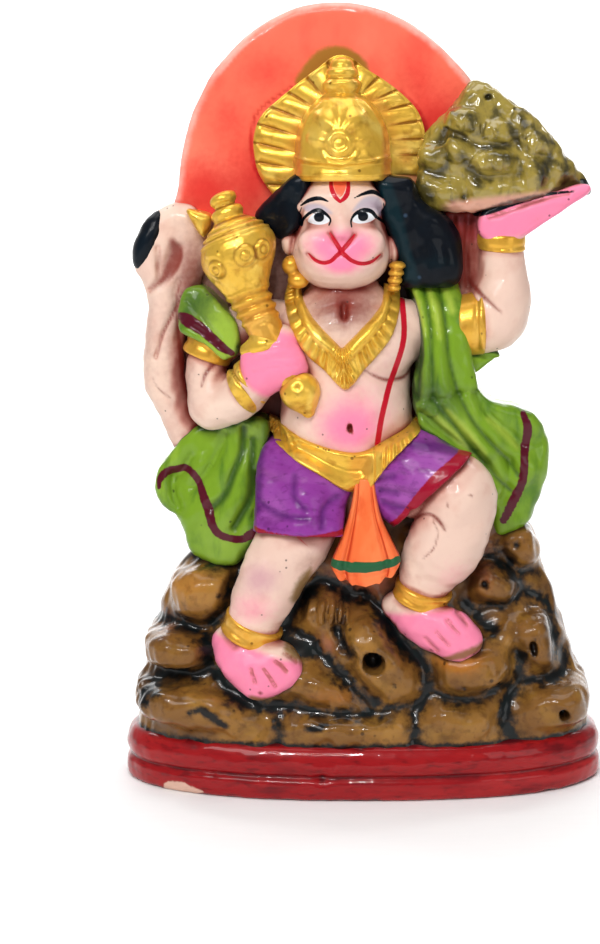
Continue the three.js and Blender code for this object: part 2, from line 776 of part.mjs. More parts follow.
const forms = [
  ...makePlinth(),
  ...makeRocks(),
  ...makeHalo(),
  ...makeBack(),
  ...makeTrunk(),
  ...makeHangingLeg(),
  ...makeRaisedLeg(),
  ...makeTail(),
  ...makeHair(),
  ...makeHead(),
  ...makeCrown(),
  ...makeHill(),
  ...makeRaisedArm(),
  ...makeMaceArm(),
  ...makeMace(),
  ...makeShorts(),
  ...makeSash(),
  ...makeNecklace(),
  ...makeShawl(),
];
const hollows = [...rockHollows(), ...tailHollow()];
const joined = forms.reduce((sum, form) => sum.add(form));
const hollowed = hollows.reduce((rest, hollow) => rest.subtract(hollow), joined);

// Slivers where forms meet are merged away, and of the shells left only the outer one is the clay.
const shells = hollowed.asOriginal().simplify(SMALLEST_STEP).decompose();
const clay = shells.reduce((outer, shell) => (shell.volume() > outer.volume() ? shell : outer));

// The glazed clay as one mesh.
const { vertProperties, triVerts } = clay.getMesh();
const surface = new THREE.BufferGeometry();
surface.setAttribute("position", new THREE.BufferAttribute(vertProperties, 3));
surface.setIndex(new THREE.BufferAttribute(triVerts, 1));
const glazedClay = new THREE.MeshStandardMaterial({ color: 0xb8683f, roughness: 0.28, flatShading: true });
const figurine = new THREE.Mesh(surface, glazedClay);
figurine.name = "clay_figurine";

const idol = new THREE.Group();
idol.add(figurine);

export default idol;
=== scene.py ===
"""The painted and glazed surfaces of a moulded clay idol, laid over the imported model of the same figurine.

Lengths in the shape functions are millimetres in the model's own frame: +Z up, -Y to the front, and the
origin in the middle of the plinth's underside. A mesh is put into the scene in metres. Turned, swept and
flat-laid pieces are functions of two parameters on a grid. The softly joined clay, such as limbs, rocks and
cloth, is the zero surface of a distance function, read off on a grid of points by whole arrays.
"""

import json
import math
from typing import Callable, NamedTuple

import bpy
import numpy as np
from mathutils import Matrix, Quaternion, Vector

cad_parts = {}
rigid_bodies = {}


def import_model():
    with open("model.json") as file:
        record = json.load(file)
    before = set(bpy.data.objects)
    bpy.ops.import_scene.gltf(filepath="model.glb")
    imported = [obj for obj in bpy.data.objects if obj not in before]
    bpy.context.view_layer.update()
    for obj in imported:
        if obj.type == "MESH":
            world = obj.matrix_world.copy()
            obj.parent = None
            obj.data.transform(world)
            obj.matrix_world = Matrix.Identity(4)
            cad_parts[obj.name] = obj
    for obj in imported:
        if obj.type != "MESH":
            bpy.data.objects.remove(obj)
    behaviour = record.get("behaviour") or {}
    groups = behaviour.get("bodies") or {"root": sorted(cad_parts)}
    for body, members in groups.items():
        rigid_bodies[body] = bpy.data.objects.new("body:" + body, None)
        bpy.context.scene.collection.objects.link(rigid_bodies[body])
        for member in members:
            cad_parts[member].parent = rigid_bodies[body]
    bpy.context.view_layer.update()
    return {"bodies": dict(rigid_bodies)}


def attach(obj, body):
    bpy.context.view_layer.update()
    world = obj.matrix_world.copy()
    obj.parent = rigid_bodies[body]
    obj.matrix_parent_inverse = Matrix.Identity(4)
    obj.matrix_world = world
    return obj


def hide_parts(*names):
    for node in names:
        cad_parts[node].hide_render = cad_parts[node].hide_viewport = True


bl_info = {
    "name": "Painted clay idol",
    "version": (1, 0, 0),
    "blender": (4, 5, 0),
    "location": "View3D > Sidebar > Clay idol",
    "description": "Moulds, paints and glazes the clay idol figurine around its packed model",
    "category": "Object",
}

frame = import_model()
BODY = sorted(frame["bodies"])[0]
SOLID = "clay_figurine"

MM = 0.001
FAR = 1000.0
TURN = 2 * math.pi

# The camera that the photograph's landmarks give, in millimetres and degrees.
CAMERA_PLACE = (0.0, -514.94, 174.87)
CAMERA_AIM = (-16.26, 0.0, 82.54)
CAMERA_LENS = 74.5
CAMERA_ROLL = -0.588


# Small sums on arrays of points

def to_one(value):
    """The value held between 0 and 1."""
    return np.clip(value, 0, 1)


def climb(value, start, width):
    """0 up to the start, 1 from a width further on, straight between. With a width below 0 it falls."""
    return np.clip((value - start) / width, 0, 1)


def bell(gap, width, power=2):
    """A bell curve: e to the minus of gap over width to the power, so 1 where the gap is 0."""
    return np.exp(-((gap / width) ** power))


def strongest(*values):
    """The largest of several values at each place."""
    return np.maximum.reduce(values)


def unit(vectors):
    """Vectors divided by their own length."""
    length = np.linalg.norm(vectors, axis=-1, keepdims=True)
    return vectors / np.maximum(length, 1e-9)


def smooth_path(stations, count):
    """A Catmull-Rom curve: each span is the cubic through two stations with the slopes of their neighbours."""
    knots = np.asarray(stations, float)
    knots = np.vstack([2 * knots[0] - knots[1], knots, 2 * knots[-1] - knots[-2]])
    place = np.linspace(0, len(knots) - 3, count)
    span = np.minimum(place.astype(int), len(knots) - 4)
    t = (place - span)[:, None]
    a, b, c, d = (knots[span + k] for k in range(4))
    return 0.5 * (2 * b + (c - a) * t + (2 * a - 5 * b + 4 * c - d) * t**2 + (3 * b - a - 3 * c + d) * t**3)


def smooth_loop(stations, count):
    """The same curve through a closed ring of stations."""
    ring = np.asarray(stations, float)
    path = smooth_path(np.vstack([ring[-1:], ring, ring[:2]]), (len(ring) + 2) * count + 1)
    return path[count:-count - 1]


def along_path(path):
    """Directions along a path: the difference of the places before and after each one."""
    return unit(np.gradient(path, axis=0))


def lumps(points, size, seed=0):
    """Smooth lumps from -1 to 1: the mean of products of sines along seeded directions, at two sizes."""
    random = np.random.default_rng(seed)
    total = np.zeros(len(points))
    for share in (1.0, 0.5):
        for _ in range(3):
            first, second = unit(random.normal(size=(2, 3))) * (TURN / (size * share))
            wave = np.sin(points @ first + random.uniform(0, 6))
            total += share * wave * np.sin(points @ second + random.uniform(0, 6))
    return total / 2.25


def segment_gap(points, start, end):
    """Distance from each point to a segment, and how far along it the nearest place lies, from 0 to 1."""
    along = end - start
    share = to_one(((points - start) @ along) / max(along @ along, 1e-9))
    return np.linalg.norm(points - start - share[:, None] * along, axis=1), share


def line_gap(points, line):
    """Distance from each point to the nearest place on a line of points."""
    line = np.asarray(line, float)
    gaps = [segment_gap(points, line[i], line[i + 1])[0] for i in range(len(line) - 1)]
    return np.min(gaps, axis=0)


def outline_gap(points, outline):
    """Signed distance to a closed outline: the nearest edge's, negative where a ray crosses an odd number."""
    outline = np.asarray(outline, float)
    gap = np.full(len(points), FAR)
    inside = np.zeros(len(points), bool)
    for i in range(len(outline)):
        start = outline[i - 1]
        end = outline[i]
        gap = np.minimum(gap, segment_gap(points, start, end)[0])
        above = (points[:, 1] < start[1]) != (points[:, 1] < end[1])
        rise = end[1] - start[1] if abs(end[1] - start[1]) > 1e-9 else 1e-9
        cross = start[0] + (points[:, 1] - start[1]) * (end[0] - start[0]) / rise
        inside ^= above & (points[:, 0] < cross)
    return np.where(inside, -gap, gap)


def gap_table(outline, step=0.5, margin=7.0):
    """The outline's signed distance as a function: worked out once on a grid, then read between its places."""
    low = outline.min(0) - margin
    counts = np.ceil((outline.max(0) + margin - low) / step).astype(int) + 1
    places = np.stack(np.meshgrid(*(low[k] + step * np.arange(counts[k]) for k in (0, 1)), indexing="ij"), -1)
    table = outline_gap(places.reshape(-1, 2), outline).reshape(counts)

    def gap(points):
        local = (points - low) / step
        held = np.clip(local, 0, counts - 1.001)
        i, j = held.astype(int).T
        a, b = (held - held.astype(int)).T
        first = table[i, j] * (1 - b) + table[i, j + 1] * b
        second = table[i + 1, j] * (1 - b) + table[i + 1, j + 1] * b
        return first * (1 - a) + second * a + np.linalg.norm((local - held) * step, axis=1)

    return gap


# Forms in the clay, each a distance function and the box that holds it

class Form(NamedTuple):
    """A shape: distance in mm, negative inside, and the lowest and highest corner of its box."""

    distance: Callable
    low: np.ndarray
    high: np.ndarray


class Step(NamedTuple):
    """One step of moulding: a form joined to the clay, cut from it or pressed in, rounded over soft mm."""

    way: str
    form: Form
    soft: float


def leaning(degrees):
    """The turn about Y that leans a form to the side."""
    lean = math.radians(degrees)
    return np.array([[math.cos(lean), 0, math.sin(lean)], [0, 1, 0], [-math.sin(lean), 0, math.cos(lean)]])


def ball(centre, radii, lean=0):
    """An ellipsoid: with L the point's length in radii and G that in squared radii, distance is L (L - 1) /
    G."""
    centre = np.asarray(centre, float)
    radii = np.asarray(radii, float)
    turn = leaning(lean)
    reach = np.sqrt(((turn * radii) ** 2).sum(1))

    def distance(points):
        local = (points - centre) @ turn
        level = np.linalg.norm(local / radii, axis=1)
        slope = np.linalg.norm(local / radii**2, axis=1)
        return level * (level - 1) / np.maximum(slope, 1e-6)

    return Form(distance, centre - reach, centre + reach)


def stone(centre, radii, power, rough, seed, lean=0):
    """A blunt ellipsoid: its level L, the root of the summed powers of |x/r|, is one on its skin. The distance
    is L less one over the slope of L, and sine lumps then push it about."""
    centre = np.asarray(centre, float)
    radii = np.asarray(radii, float)
    turn = leaning(lean)
    reach = np.sqrt(((turn * radii) ** 2).sum(1)) * 1.15 + rough

    def distance(points):
        local = np.abs((points - centre) @ turn) / radii
        level = np.maximum((local**power).sum(1), 1e-6) ** (1 / power)
        slope = np.linalg.norm(local ** (power - 1) / radii, axis=1)
        return (level - 1) * level ** (power - 1) / np.maximum(slope, 1e-6) + rough * lumps(points, 14.0, seed)

    return Form(distance, centre - reach, centre + reach)


def limb(stations, flat=1.0):
    """A limb: the distance to a path's nearest place less the radius there. Depth counts 1 / flat times."""
    path = smooth_path(stations, 3 * (len(stations) - 1) + 1)
    squeeze = np.array([1.0, 1.0 / flat, 1.0])
    spine = path[:, :3] * squeeze
    radius = path[:, 3]
    grow = radius[:, None] * np.array([1.0, flat, 1.0])

    def distance(points):
        local = points * squeeze
        best = np.full(len(points), FAR)
        for i in range(len(spine) - 1):
            gap, share = segment_gap(local, spine[i], spine[i + 1])
            best = np.minimum(best, gap - radius[i] - share * (radius[i + 1] - radius[i]))
        return best

    return Form(distance, (path[:, :3] - grow).min(0), (path[:, :3] + grow).max(0))


def slab(outline, front, back, edge=1.0):
    """A plate: the outline's distance in x-z and the depth past its front or back, rounded together over the
    edge.  The front and the back are depths, or functions of x and z that give them."""
    outline = np.asarray(outline, float)
    front_at = front if callable(front) else lambda x, z: front
    back_at = back if callable(back) else lambda x, z: back
    plan = np.vstack([outline, outline.mean(0)])
    fronts = np.min(front_at(*plan.T))
    backs = np.max(back_at(*outline.T))
    gap = gap_table(outline)
    low = np.array([outline[:, 0].min(), fronts - 6, outline[:, 1].min()])
    high = np.array([outline[:, 0].max(), backs + 2, outline[:, 1].max()])

    def distance(points):
        x, y, z = points.T
        side = gap(points[:, ::2]) + edge
        depth = np.maximum(front_at(x, z) - y, y - back_at(x, z)) + edge
        outside = np.hypot(np.maximum(side, 0), np.maximum(depth, 0))
        return outside + np.minimum(np.maximum(side, depth), 0) - edge

    return Form(distance, low, high)


def groove(line, width, depth, reach=5.0):
    """A groove along a line, or a ridge with depth below 0: depth times a bell curve of the distance to it.

    The distance in y counts width / reach times, so the groove reaches the front surface wherever that lies.
    """
    line = smooth_path(line, 2 * (len(line) - 1) + 1)
    squeeze = np.array([1.0, width / reach, 1.0])

    def heights(points):
        return depth * bell(line_gap(points * squeeze, line * squeeze), width)

    grow = np.array([3 * width, 3 * reach, 3 * width])
    return Form(heights, line.min(0) - grow, line.max(0) + grow)


def join(form, soft=1.0):
    """The form is added with a fillet."""
    return Step("join", form, soft)


def cut(form, soft):
    """The form is taken away with a rounded edge."""
    return Step("cut", form, soft)


def press(form):
    """The form's own heights are pressed into the clay."""
    return Step("press", form, 0.0)


def scored(line, width, depth, reach=5.0):
    """A groove pressed into the clay along a line."""
    return press(groove(line, width, depth, reach))


def at_depth(line, depth):
    """A line of (x, z) set at one depth."""
    return [(x, depth, z) for x, z in line]


def worked(clay, shape, way, soft):
    """The clay's distance after a step: a soft minimum, a soft maximum with the form's inside, or a sum."""
    if way == "press":
        return clay + shape
    if way == "cut":
        shape = -shape
    blend = np.maximum(soft - np.abs(clay - shape), 0) ** 2 / (4 * max(soft, 1e-6))
    return np.minimum(clay, shape) - blend if way == "join" else np.maximum(clay, shape) + blend


def measure(mould, points):
    """Signed distance in mm from points to the moulded clay. A form is only asked near its own box."""
    clay = np.full(len(points), FAR)
    for way, form, soft in mould:
        reach = soft + 6.0 if way != "press" else 0.0
        asked = np.flatnonzero(((points > form.low - reach) & (points < form.high + reach)).all(1))
        if len(asked):
            clay[asked] = worked(clay[asked], form.distance(points[asked]), way, soft)
    return clay


def sample(mould, spacing):
    """The clay's distance on a box of grid points, with the box's low corner. Each form fills its own block."""
    joined = [step.form for step in mould if step.way == "join"]
    low = np.min([form.low for form in joined], axis=0) - 4 * spacing
    high = np.max([form.high for form in joined], axis=0) + 4 * spacing
    counts = np.ceil((high - low) / spacing).astype(int) + 1
    clay = np.full(counts, FAR)
    for way, form, soft in mould:
        reach = soft + 2.5 * spacing if way != "press" else 0.0
        first = np.clip(np.floor((form.low - reach - low) / spacing).astype(int), 0, counts)
        last = np.clip(np.ceil((form.high + reach - low) / spacing).astype(int) + 1, 0, counts)
        if (last <= first).any():
            continue
        axes = [low[k] + spacing * np.arange(first[k], last[k]) for k in range(3)]
        points = np.stack(np.meshgrid(*axes, indexing="ij"), -1).reshape(-1, 3)
        block = tuple(slice(first[k], last[k]) for k in range(3))
        clay[block] = worked(clay[block], form.distance(points).reshape(clay[block].shape), way, soft)
    return clay, low


def skin(clay, low, spacing):
    """The zero surface as a net: one point in each cell that the surface passes, the mean of the crossings on
    its edges, and one four-sided face across each grid edge whose ends lie on different sides."""
    inside = clay < 0
    halves = (slice(0, -1), slice(1, None))
    full = np.sum([inside[a, b, c] for a in halves for b in halves for c in halves], axis=0)
    active = (full > 0) & (full < 8)
    cells = np.argwhere(active)
    number = np.full(active.shape, -1)
    number[active] = np.arange(len(cells))
    total = np.zeros((len(cells), 3))
    hits = np.zeros(len(cells))
    faces = []
    steps = np.eye(3, dtype=int)
    for axis in range(3):
        ahead = steps[axis]
        second = steps[(axis + 1) % 3]
        third = steps[(axis + 2) % 3]
        for shift in (0 * second, second, third, second + third):
            start = cells + shift
            end = start + ahead
            here = clay[tuple(start.T)]
            there = clay[tuple(end.T)]
            crossed = (here < 0) != (there < 0)
            share = here / np.where(crossed, here - there, 1.0)
            total[crossed] += (shift + share[:, None] * ahead)[crossed]
            hits += crossed
        size = np.array(inside.shape)
        trimmed = inside[tuple(slice(0, size[k] - ahead[k]) for k in range(3))]
        shifted = inside[tuple(slice(ahead[k], size[k]) for k in range(3))]
        edges = np.argwhere(trimmed != shifted)
        outward = trimmed[tuple(edges.T)]
        around = np.stack([number[tuple((edges - s).T)] for s in (0 * second, second, second + third, third)],
                          axis=1)
        around[~outward] = around[~outward][:, ::-1]
        faces.append(around)
    points = low + spacing * (cells + total / hits[:, None])
    return points, np.vstack(faces)


def settle(mould, points):
    """Points moved onto the zero surface by Newton steps along one slope, and the normals from that slope."""
    step = 0.12
    value = measure(mould, points)
    slope = np.stack([measure(mould, points + step * axis) - value for axis in np.eye(3)], axis=1) / step
    length = np.maximum((slope**2).sum(1), 0.05)
    for _ in range(2):
        points = points + np.clip(-(value / length)[:, None] * slope, -0.4, 0.4)
        value = measure(mould, points)
    return points, unit(slope)


def cast(mould, spacing):
    """The moulded clay as points, faces and normals."""
    clay, low = sample(mould, spacing)
    points, faces = skin(clay, low, spacing)
    points, normals = settle(mould, points)
    return points, faces, normals


# Surfaces that are functions of two parameters

def shell(grid):
    """Points and faces of a grid of rings: the second parameter closes, and a middle point shuts each end."""
    rows, columns = grid.shape[:2]
    index = np.arange(rows * columns).reshape(rows, columns)
    beside = np.roll(index, -1, axis=1)
    quads = np.stack([index[:-1], beside[:-1], beside[1:], index[1:]], -1).reshape(-1, 4)
    points = grid.reshape(-1, 3)
    points = np.vstack([points, grid[0].mean(0), grid[-1].mean(0)])
    first = np.full(columns, len(points) - 2)
    last = np.full(columns, len(points) - 1)
    caps = np.vstack([np.stack([first, beside[0], index[0]], -1), np.stack([last, index[-1], beside[-1]], -1)])
    return points, [quads, caps]


def blunt_ring(columns, blunt):
    """The cosine and sine of a ring of angles, each to the power blunt with its sign kept: a rounded oblong."""
    angle = np.linspace(0, TURN, columns, endpoint=False)
    return [np.sign(wave) * np.abs(wave) ** blunt for wave in (np.cos(angle), np.sin(angle))]


def band(first_edge, second_edge, thick, rows, columns, blunt, relief):
    """A rounded profile carried along the middle of two edges.

    With u along the band and v round it, a point is the middle, plus half the way to the second edge times
    cos v to the power blunt, plus the outward direction times the thickness and sin v to the same power. The
    relief, a function of u and of the place across from -1 to 1, lifts the front face.
    """
    first = smooth_path(first_edge, rows)
    second = smooth_path(second_edge, rows)
    middle = (first + second) / 2
    half = (second - first) / 2
    outward = np.cross(along_path(middle), half)
    outward = unit(outward * np.sign(-outward[:, 1:2]))
    across, rise = blunt_ring(columns, blunt)
    u = np.linspace(0, 1, rows)[:, None] * np.ones(columns)
    lift = np.maximum(rise, 0) ** 0.5 * relief(u, across * np.ones((rows, 1)))
    raised = outward[:, None] * (thick * rise + lift)[..., None]
    grid = middle[:, None] + half[:, None] * across[:, None] + raised
    turning = np.cross(grid[1, 1] - grid[1, 0], grid[2, 0] - grid[1, 0]) @ (grid[1, 0] - grid[1].mean(0))
    return grid if turning < 0 else grid[:, ::-1]


def turned(profile, base, tip, rows, columns, relief):
    """A profile of (distance along, radius) turned about the line from base to tip, then lifted by a relief.

    The relief is a function of the points themselves, so a boss can sit where its centre is.
    """
    axis = unit(np.asarray(tip, float) - base)
    side = unit(np.cross(axis, (0.0, 1.0, 0.0)))
    front = np.cross(side, axis)
    curve = smooth_path(profile, rows)
    angle = np.linspace(0, TURN, columns, endpoint=False)
    ray = np.cos(angle)[:, None] * side + np.sin(angle)[:, None] * front
    grid = np.asarray(base, float) + curve[:, :1, None] * axis + curve[:, 1:, None] * ray
    grid = grid + relief(grid.reshape(-1, 3)).reshape(rows, columns, 1) * ray
    turning = np.cross(grid[5, 1] - grid[5, 0], grid[6, 0] - grid[5, 0]) @ ray[0]
    return grid if turning < 0 else grid[:, ::-1]


def boss(points, centre, radius):
    """A flower boss as heights: a bead, a bell curve of the distance, and a ring, one about the radius."""
    gap = np.linalg.norm(points - np.asarray(centre, float), axis=1)
    return 1.2 * bell(gap, 0.58 * radius) + 0.8 * bell(gap - radius, 0.24 * radius)


# Paint on the pieces, as values at their points: 0 is bare, 1 is full, and a stroke's edge lies at 0.5

def flat(points):
    """Points as they are seen from the front, in x and z."""
    return points[:, ::2]


def plan_gap(points, centre):
    """The distance from a centre as seen from the front."""
    return np.hypot(points[:, 0] - centre[0], points[:, 2] - centre[1])


def stroke(points, line, half_width, edge=1.2):
    """A brush stroke along a line of (x, z) or (x, z, half width): full inside, falling over the edge."""
    line = np.asarray(line, float)
    if line.shape[1] == 2:
        line = np.column_stack([line, np.full(len(line), half_width)])
    line = smooth_path(line, 5 * (len(line) - 1) + 1)
    best = np.full(len(points), FAR)
    for start, end in zip(line[:-1], line[1:]):
        gap, share = segment_gap(flat(points), start[:2], end[:2])
        best = np.minimum(best, gap - start[2] - share * (end[2] - start[2]))
    return to_one(0.5 - best / edge)


def patch(points, outline, edge=1.2):
    """A painted area inside an outline of (x, z)."""
    return to_one(0.5 - outline_gap(flat(points), smooth_loop(outline, 4)) / edge)


def glow(points, centre, reach):
    """An airbrushed area: a bell curve of the distance from a centre, counted in its reach along each axis."""
    local = (points - np.asarray(centre, float)) / np.asarray(reach, float)
    return np.exp(-(local**2).sum(1))


def creases(points, normals, company, heights):
    """How far a place is closed in: how much nearer other clay is than its own skin, at two heights."""
    # The finishes darken a place by this value: the figurine's own airbrush in its creases, and painted shade
    # there.
    closed = np.zeros(len(points))
    for height in heights:
        above = points + normals * height
        gap = np.full(len(points), FAR)
        for mould in company:
            gap = np.minimum(gap, measure(mould, above))
        closed += 0.5 * to_one(1 - gap / height)
    return closed


# The paint box: colours, shared effects and the materials laid on with them

def linear(red, green, blue):
    """A colour given from 0 to 255 as it is seen, in the linear values that Blender's colours hold."""
    seen = np.array([red, green, blue]) / 255
    return tuple(np.where(seen <= 0.04045, seen / 12.92, ((seen + 0.055) / 1.055) ** 2.4))


def node(tree, kind, inputs=None, **settings):
    """A node with its settings, and each input given a value or joined to another node's output."""
    made = tree.nodes.new(kind)
    for key, value in settings.items():
        setattr(made, key, value)
    for key, value in (inputs or {}).items():
        if isinstance(value, bpy.types.NodeSocket):
            tree.links.new(value, made.inputs[key])
        else:
            made.inputs[key].default_value = value
    return made


def blended(tree, share, first, second):
    """The first colour with a share of the second laid over it."""
    return node(tree, "ShaderNodeMix", {0: share, 6: first, 7: second}, data_type="RGBA").outputs[2]


def sums(tree, operation, first, second):
    """One sum of two values."""
    return node(tree, "ShaderNodeMath", {0: first, 1: second}, operation=operation).outputs[0]


def ramp(tree, value, low, high, start=0.0, end=1.0):
    """A smooth step from start to end while the value goes from low to high."""
    inputs = {"Value": value, "From Min": low, "From Max": high, "To Min": start, "To Max": end}
    return node(tree, "ShaderNodeMapRange", inputs, interpolation_type="SMOOTHSTEP").outputs["Result"]


def effect(name, inputs, output="Colour"):
    """An empty node group with its sockets: the tree, the group's inputs and its one output."""
    tree = bpy.data.node_groups.new(name, "ShaderNodeTree")
    for label, value in inputs.items():
        kind = {float: "NodeSocketFloat", tuple: "NodeSocketColor", list: "NodeSocketVector"}[type(value)]
        socket = tree.interface.new_socket(label, in_out="INPUT", socket_type=kind)
        socket.default_value = (*value, 1.0) if isinstance(value, tuple) else value
    kind = "NodeSocketColor" if output == "Colour" else "NodeSocketFloat"
    tree.interface.new_socket(output, in_out="OUTPUT", socket_type=kind)
    return tree, tree.nodes.new("NodeGroupInput").outputs, tree.nodes.new("NodeGroupOutput").inputs[0]


def object_noise(tree, size, detail=3.0, stretch=None, distortion=0.0):
    """Noise over the object's own coordinates, 0.5 on average."""
    place = node(tree, "ShaderNodeTexCoord").outputs["Object"]
    if stretch is not None:
        place = node(tree, "ShaderNodeMapping", {"Vector": place, "Scale": stretch}).outputs[0]
    inputs = {"Vector": place, "Scale": size, "Detail": detail, "Distortion": distortion}
    return node(tree, "ShaderNodeTexNoise", inputs).outputs["Fac"]


def make_brushwork():
    """Uneven paint: thin places from one noise and thick ones from a finer one, stretched along the strokes."""
    tree, given, result = effect(
        "Brushwork",
        {"Colour": (0.5, 0.5, 0.5), "Thin": (0.8, 0.8, 0.8), "Thick": (0.2, 0.2, 0.2), "Size": 60.0,
         "Strength": 0.5, "Stretch": [1.0, 1.0, 1.0]},
    )
    broad = object_noise(tree, given["Size"], 4.0, given["Stretch"], 0.4)
    fine = object_noise(tree, sums(tree, "MULTIPLY", given["Size"], 3.1), 4.0, given["Stretch"], 0.2)
    thin = sums(tree, "MULTIPLY", ramp(tree, broad, 0.48, 0.72), given["Strength"])
    thick = sums(tree, "MULTIPLY", ramp(tree, fine, 0.5, 0.75), given["Strength"])
    first = blended(tree, thin, given["Colour"], given["Thin"])
    tree.links.new(blended(tree, thick, first, given["Thick"]), result)
    return tree


def make_airbrush_and_shade():
    """Airbrush and painted shade in creases: a smooth step of the crease value, its edge broken by noise."""
    tree, given, result = effect(
        "Wash in creases",
        {"Colour": (0.5, 0.5, 0.5), "Wash": (0.1, 0.1, 0.1), "Crease": 0.0, "Start": 0.3, "Full": 0.8,
         "Amount": 1.0},
    )
    broken = sums(tree, "MULTIPLY", sums(tree, "SUBTRACT", object_noise(tree, 260.0, 3.0), 0.5), 0.35)
    value = sums(tree, "ADD", given["Crease"], sums(tree, "MULTIPLY", broken, given["Crease"]))
    share = sums(tree, "MULTIPLY", ramp(tree, value, given["Start"], given["Full"]), given["Amount"])
    tree.links.new(blended(tree, share, given["Colour"], given["Wash"]), result)
    return tree


def make_mark():
    """Paint laid where a mark is above one half, with a soft edge and a slightly unsteady hand."""
    tree, given, result = effect(
        "Painted mark",
        {"Colour": (0.5, 0.5, 0.5), "Paint": (0.1, 0.1, 0.1), "Mark": 0.0, "Softness": 0.05, "Wobble": 0.1,
         "Amount": 1.0},
    )
    shake = sums(tree, "MULTIPLY", sums(tree, "SUBTRACT", object_noise(tree, 700.0, 2.0), 0.5), given["Wobble"])
    value = sums(tree, "ADD", given["Mark"], shake)
    low = sums(tree, "SUBTRACT", 0.5, given["Softness"])
    high = sums(tree, "ADD", 0.5, given["Softness"])
    share = sums(tree, "MULTIPLY", ramp(tree, value, low, high), given["Amount"])
    tree.links.new(blended(tree, share, given["Colour"], given["Paint"]), result)
    return tree


def make_specks():
    """Kiln specks: round dots about the middles of a few of the cells of a Voronoi pattern."""
    tree, given, result = effect(
        "Kiln specks",
        {"Colour": (0.5, 0.5, 0.5), "Speck": (0.05, 0.04, 0.04), "Size": 400.0, "Share": 0.1},
    )
    place = node(tree, "ShaderNodeTexCoord").outputs["Object"]
    cells = node(tree, "ShaderNodeTexVoronoi", {"Vector": place, "Scale": given["Size"]})
    chosen = node(tree, "ShaderNodeSeparateColor", {0: cells.outputs["Color"]}).outputs[0]
    few = sums(tree, "LESS_THAN", chosen, given["Share"])
    dot = ramp(tree, cells.outputs["Distance"], 0.10, 0.24, 1.0, 0.0)
    share = sums(tree, "MULTIPLY", sums(tree, "MULTIPLY", few, dot), 0.75)
    tree.links.new(blended(tree, share, given["Colour"], given["Speck"]), result)
    return tree


def make_grain():
    """Heights of a brushed and glazed skin: fine brush grain over broad shallow ripples."""
    tree, given, result = effect("Glaze grain", {"Grain": 500.0, "Ripple": 120.0, "Share": 0.3}, "Height")
    fine = object_noise(tree, given["Grain"], 3.0)
    broad = object_noise(tree, given["Ripple"], 1.0)
    height = sums(tree, "ADD", sums(tree, "MULTIPLY", fine, given["Share"]), broad)
    tree.links.new(height, result)
    return tree


EFFECTS = {}
GLAZE_INDEX = 1.3
PAINT_SHEEN = 0.1


def shared(make):
    """A shared effect, made the first time it is asked for."""
    if make not in EFFECTS:
        EFFECTS[make] = make()
    return EFFECTS[make]


class Paint:
    """A material under the brush: each call lays one more coat over the colour so far."""

    def __init__(self, name, colour):
        self.material = bpy.data.materials.new(name)
        self.material.use_nodes = True
        self.tree = self.material.node_tree
        self.shader = self.tree.nodes["Principled BSDF"]
        self.colour = (*colour, 1.0)

    def attribute(self, name):
        """The value that a piece's points carry under this name."""
        return node(self.tree, "ShaderNodeAttribute", attribute_name=name).outputs["Fac"]

    def place(self, make, **values):
        """A shared effect, placed with its own values."""
        given = {key: (*value, 1.0) if isinstance(value, tuple) and len(value) == 3 else value
                 for key, value in values.items()}
        return node(self.tree, "ShaderNodeGroup", given, node_tree=shared(make)).outputs[0]

    def lay(self, make, **values):
        """An effect laid over the colour so far."""
        self.colour = self.place(make, Colour=self.colour, **values)

    def brush(self, thin, thick, size, strength, stretch=(1, 1, 1)):
        """Uneven brushwork."""
        self.lay(make_brushwork, Thin=thin, Thick=thick, Size=size, Strength=strength, Stretch=list(stretch))

    def airbrush_and_shade(self, colour, start, full, amount):
        """The figurine's airbrushed colour in the creases, and painted shade there."""
        crease = self.attribute("crease")
        self.lay(make_airbrush_and_shade, Wash=tuple(colour), Crease=crease, Start=start, Full=full, Amount=amount)

    def mark(self, name, colour, softness, wobble, amount=1.0):
        """Paint where the piece carries this mark."""
        mark = self.attribute(name)
        self.lay(make_mark, Paint=tuple(colour), Mark=mark, Softness=softness, Wobble=wobble, Amount=amount)

    def specks(self, colour, size, share):
        """Kiln specks."""
        self.lay(make_specks, Speck=colour, Size=size, Share=share)

    def glaze(self, roughness, gloss, gloss_roughness, grain, ripple, share, depth, metallic=0.0,
              index=GLAZE_INDEX):
        """The finish: roughness of the paint, weight, roughness and index of the glaze, the bump of its
        grain."""
        height = self.place(make_grain, Grain=grain, Ripple=ripple, Share=share)
        bump = node(self.tree, "ShaderNodeBump", {"Strength": 1.0, "Distance": depth * MM, "Height": height})
        self.tree.links.new(bump.outputs[0], self.shader.inputs["Normal"])
        self.tree.links.new(self.colour, self.shader.inputs["Base Color"])
        values = {"Roughness": roughness, "Metallic": metallic, "Coat Weight": gloss,
                  "Coat Roughness": gloss_roughness, "Coat IOR": index, "Specular IOR Level": PAINT_SHEEN}
        for key, value in values.items():
            self.shader.inputs[key].default_value = value
        return self.material


def paint_property(name, description, *seen):
    """A colour that the paint box offers."""
    settings = {"name": name, "description": description, "default": linear(*seen)}
    return bpy.props.FloatVectorProperty(**settings, size=3, min=0, max=1, subtype="COLOR")


def size_property(name, description, millimetres):
    """A length that the mould offers."""
    settings = {"name": name, "description": description, "default": millimetres * MM}
    return bpy.props.FloatProperty(**settings, min=0, unit="LENGTH")


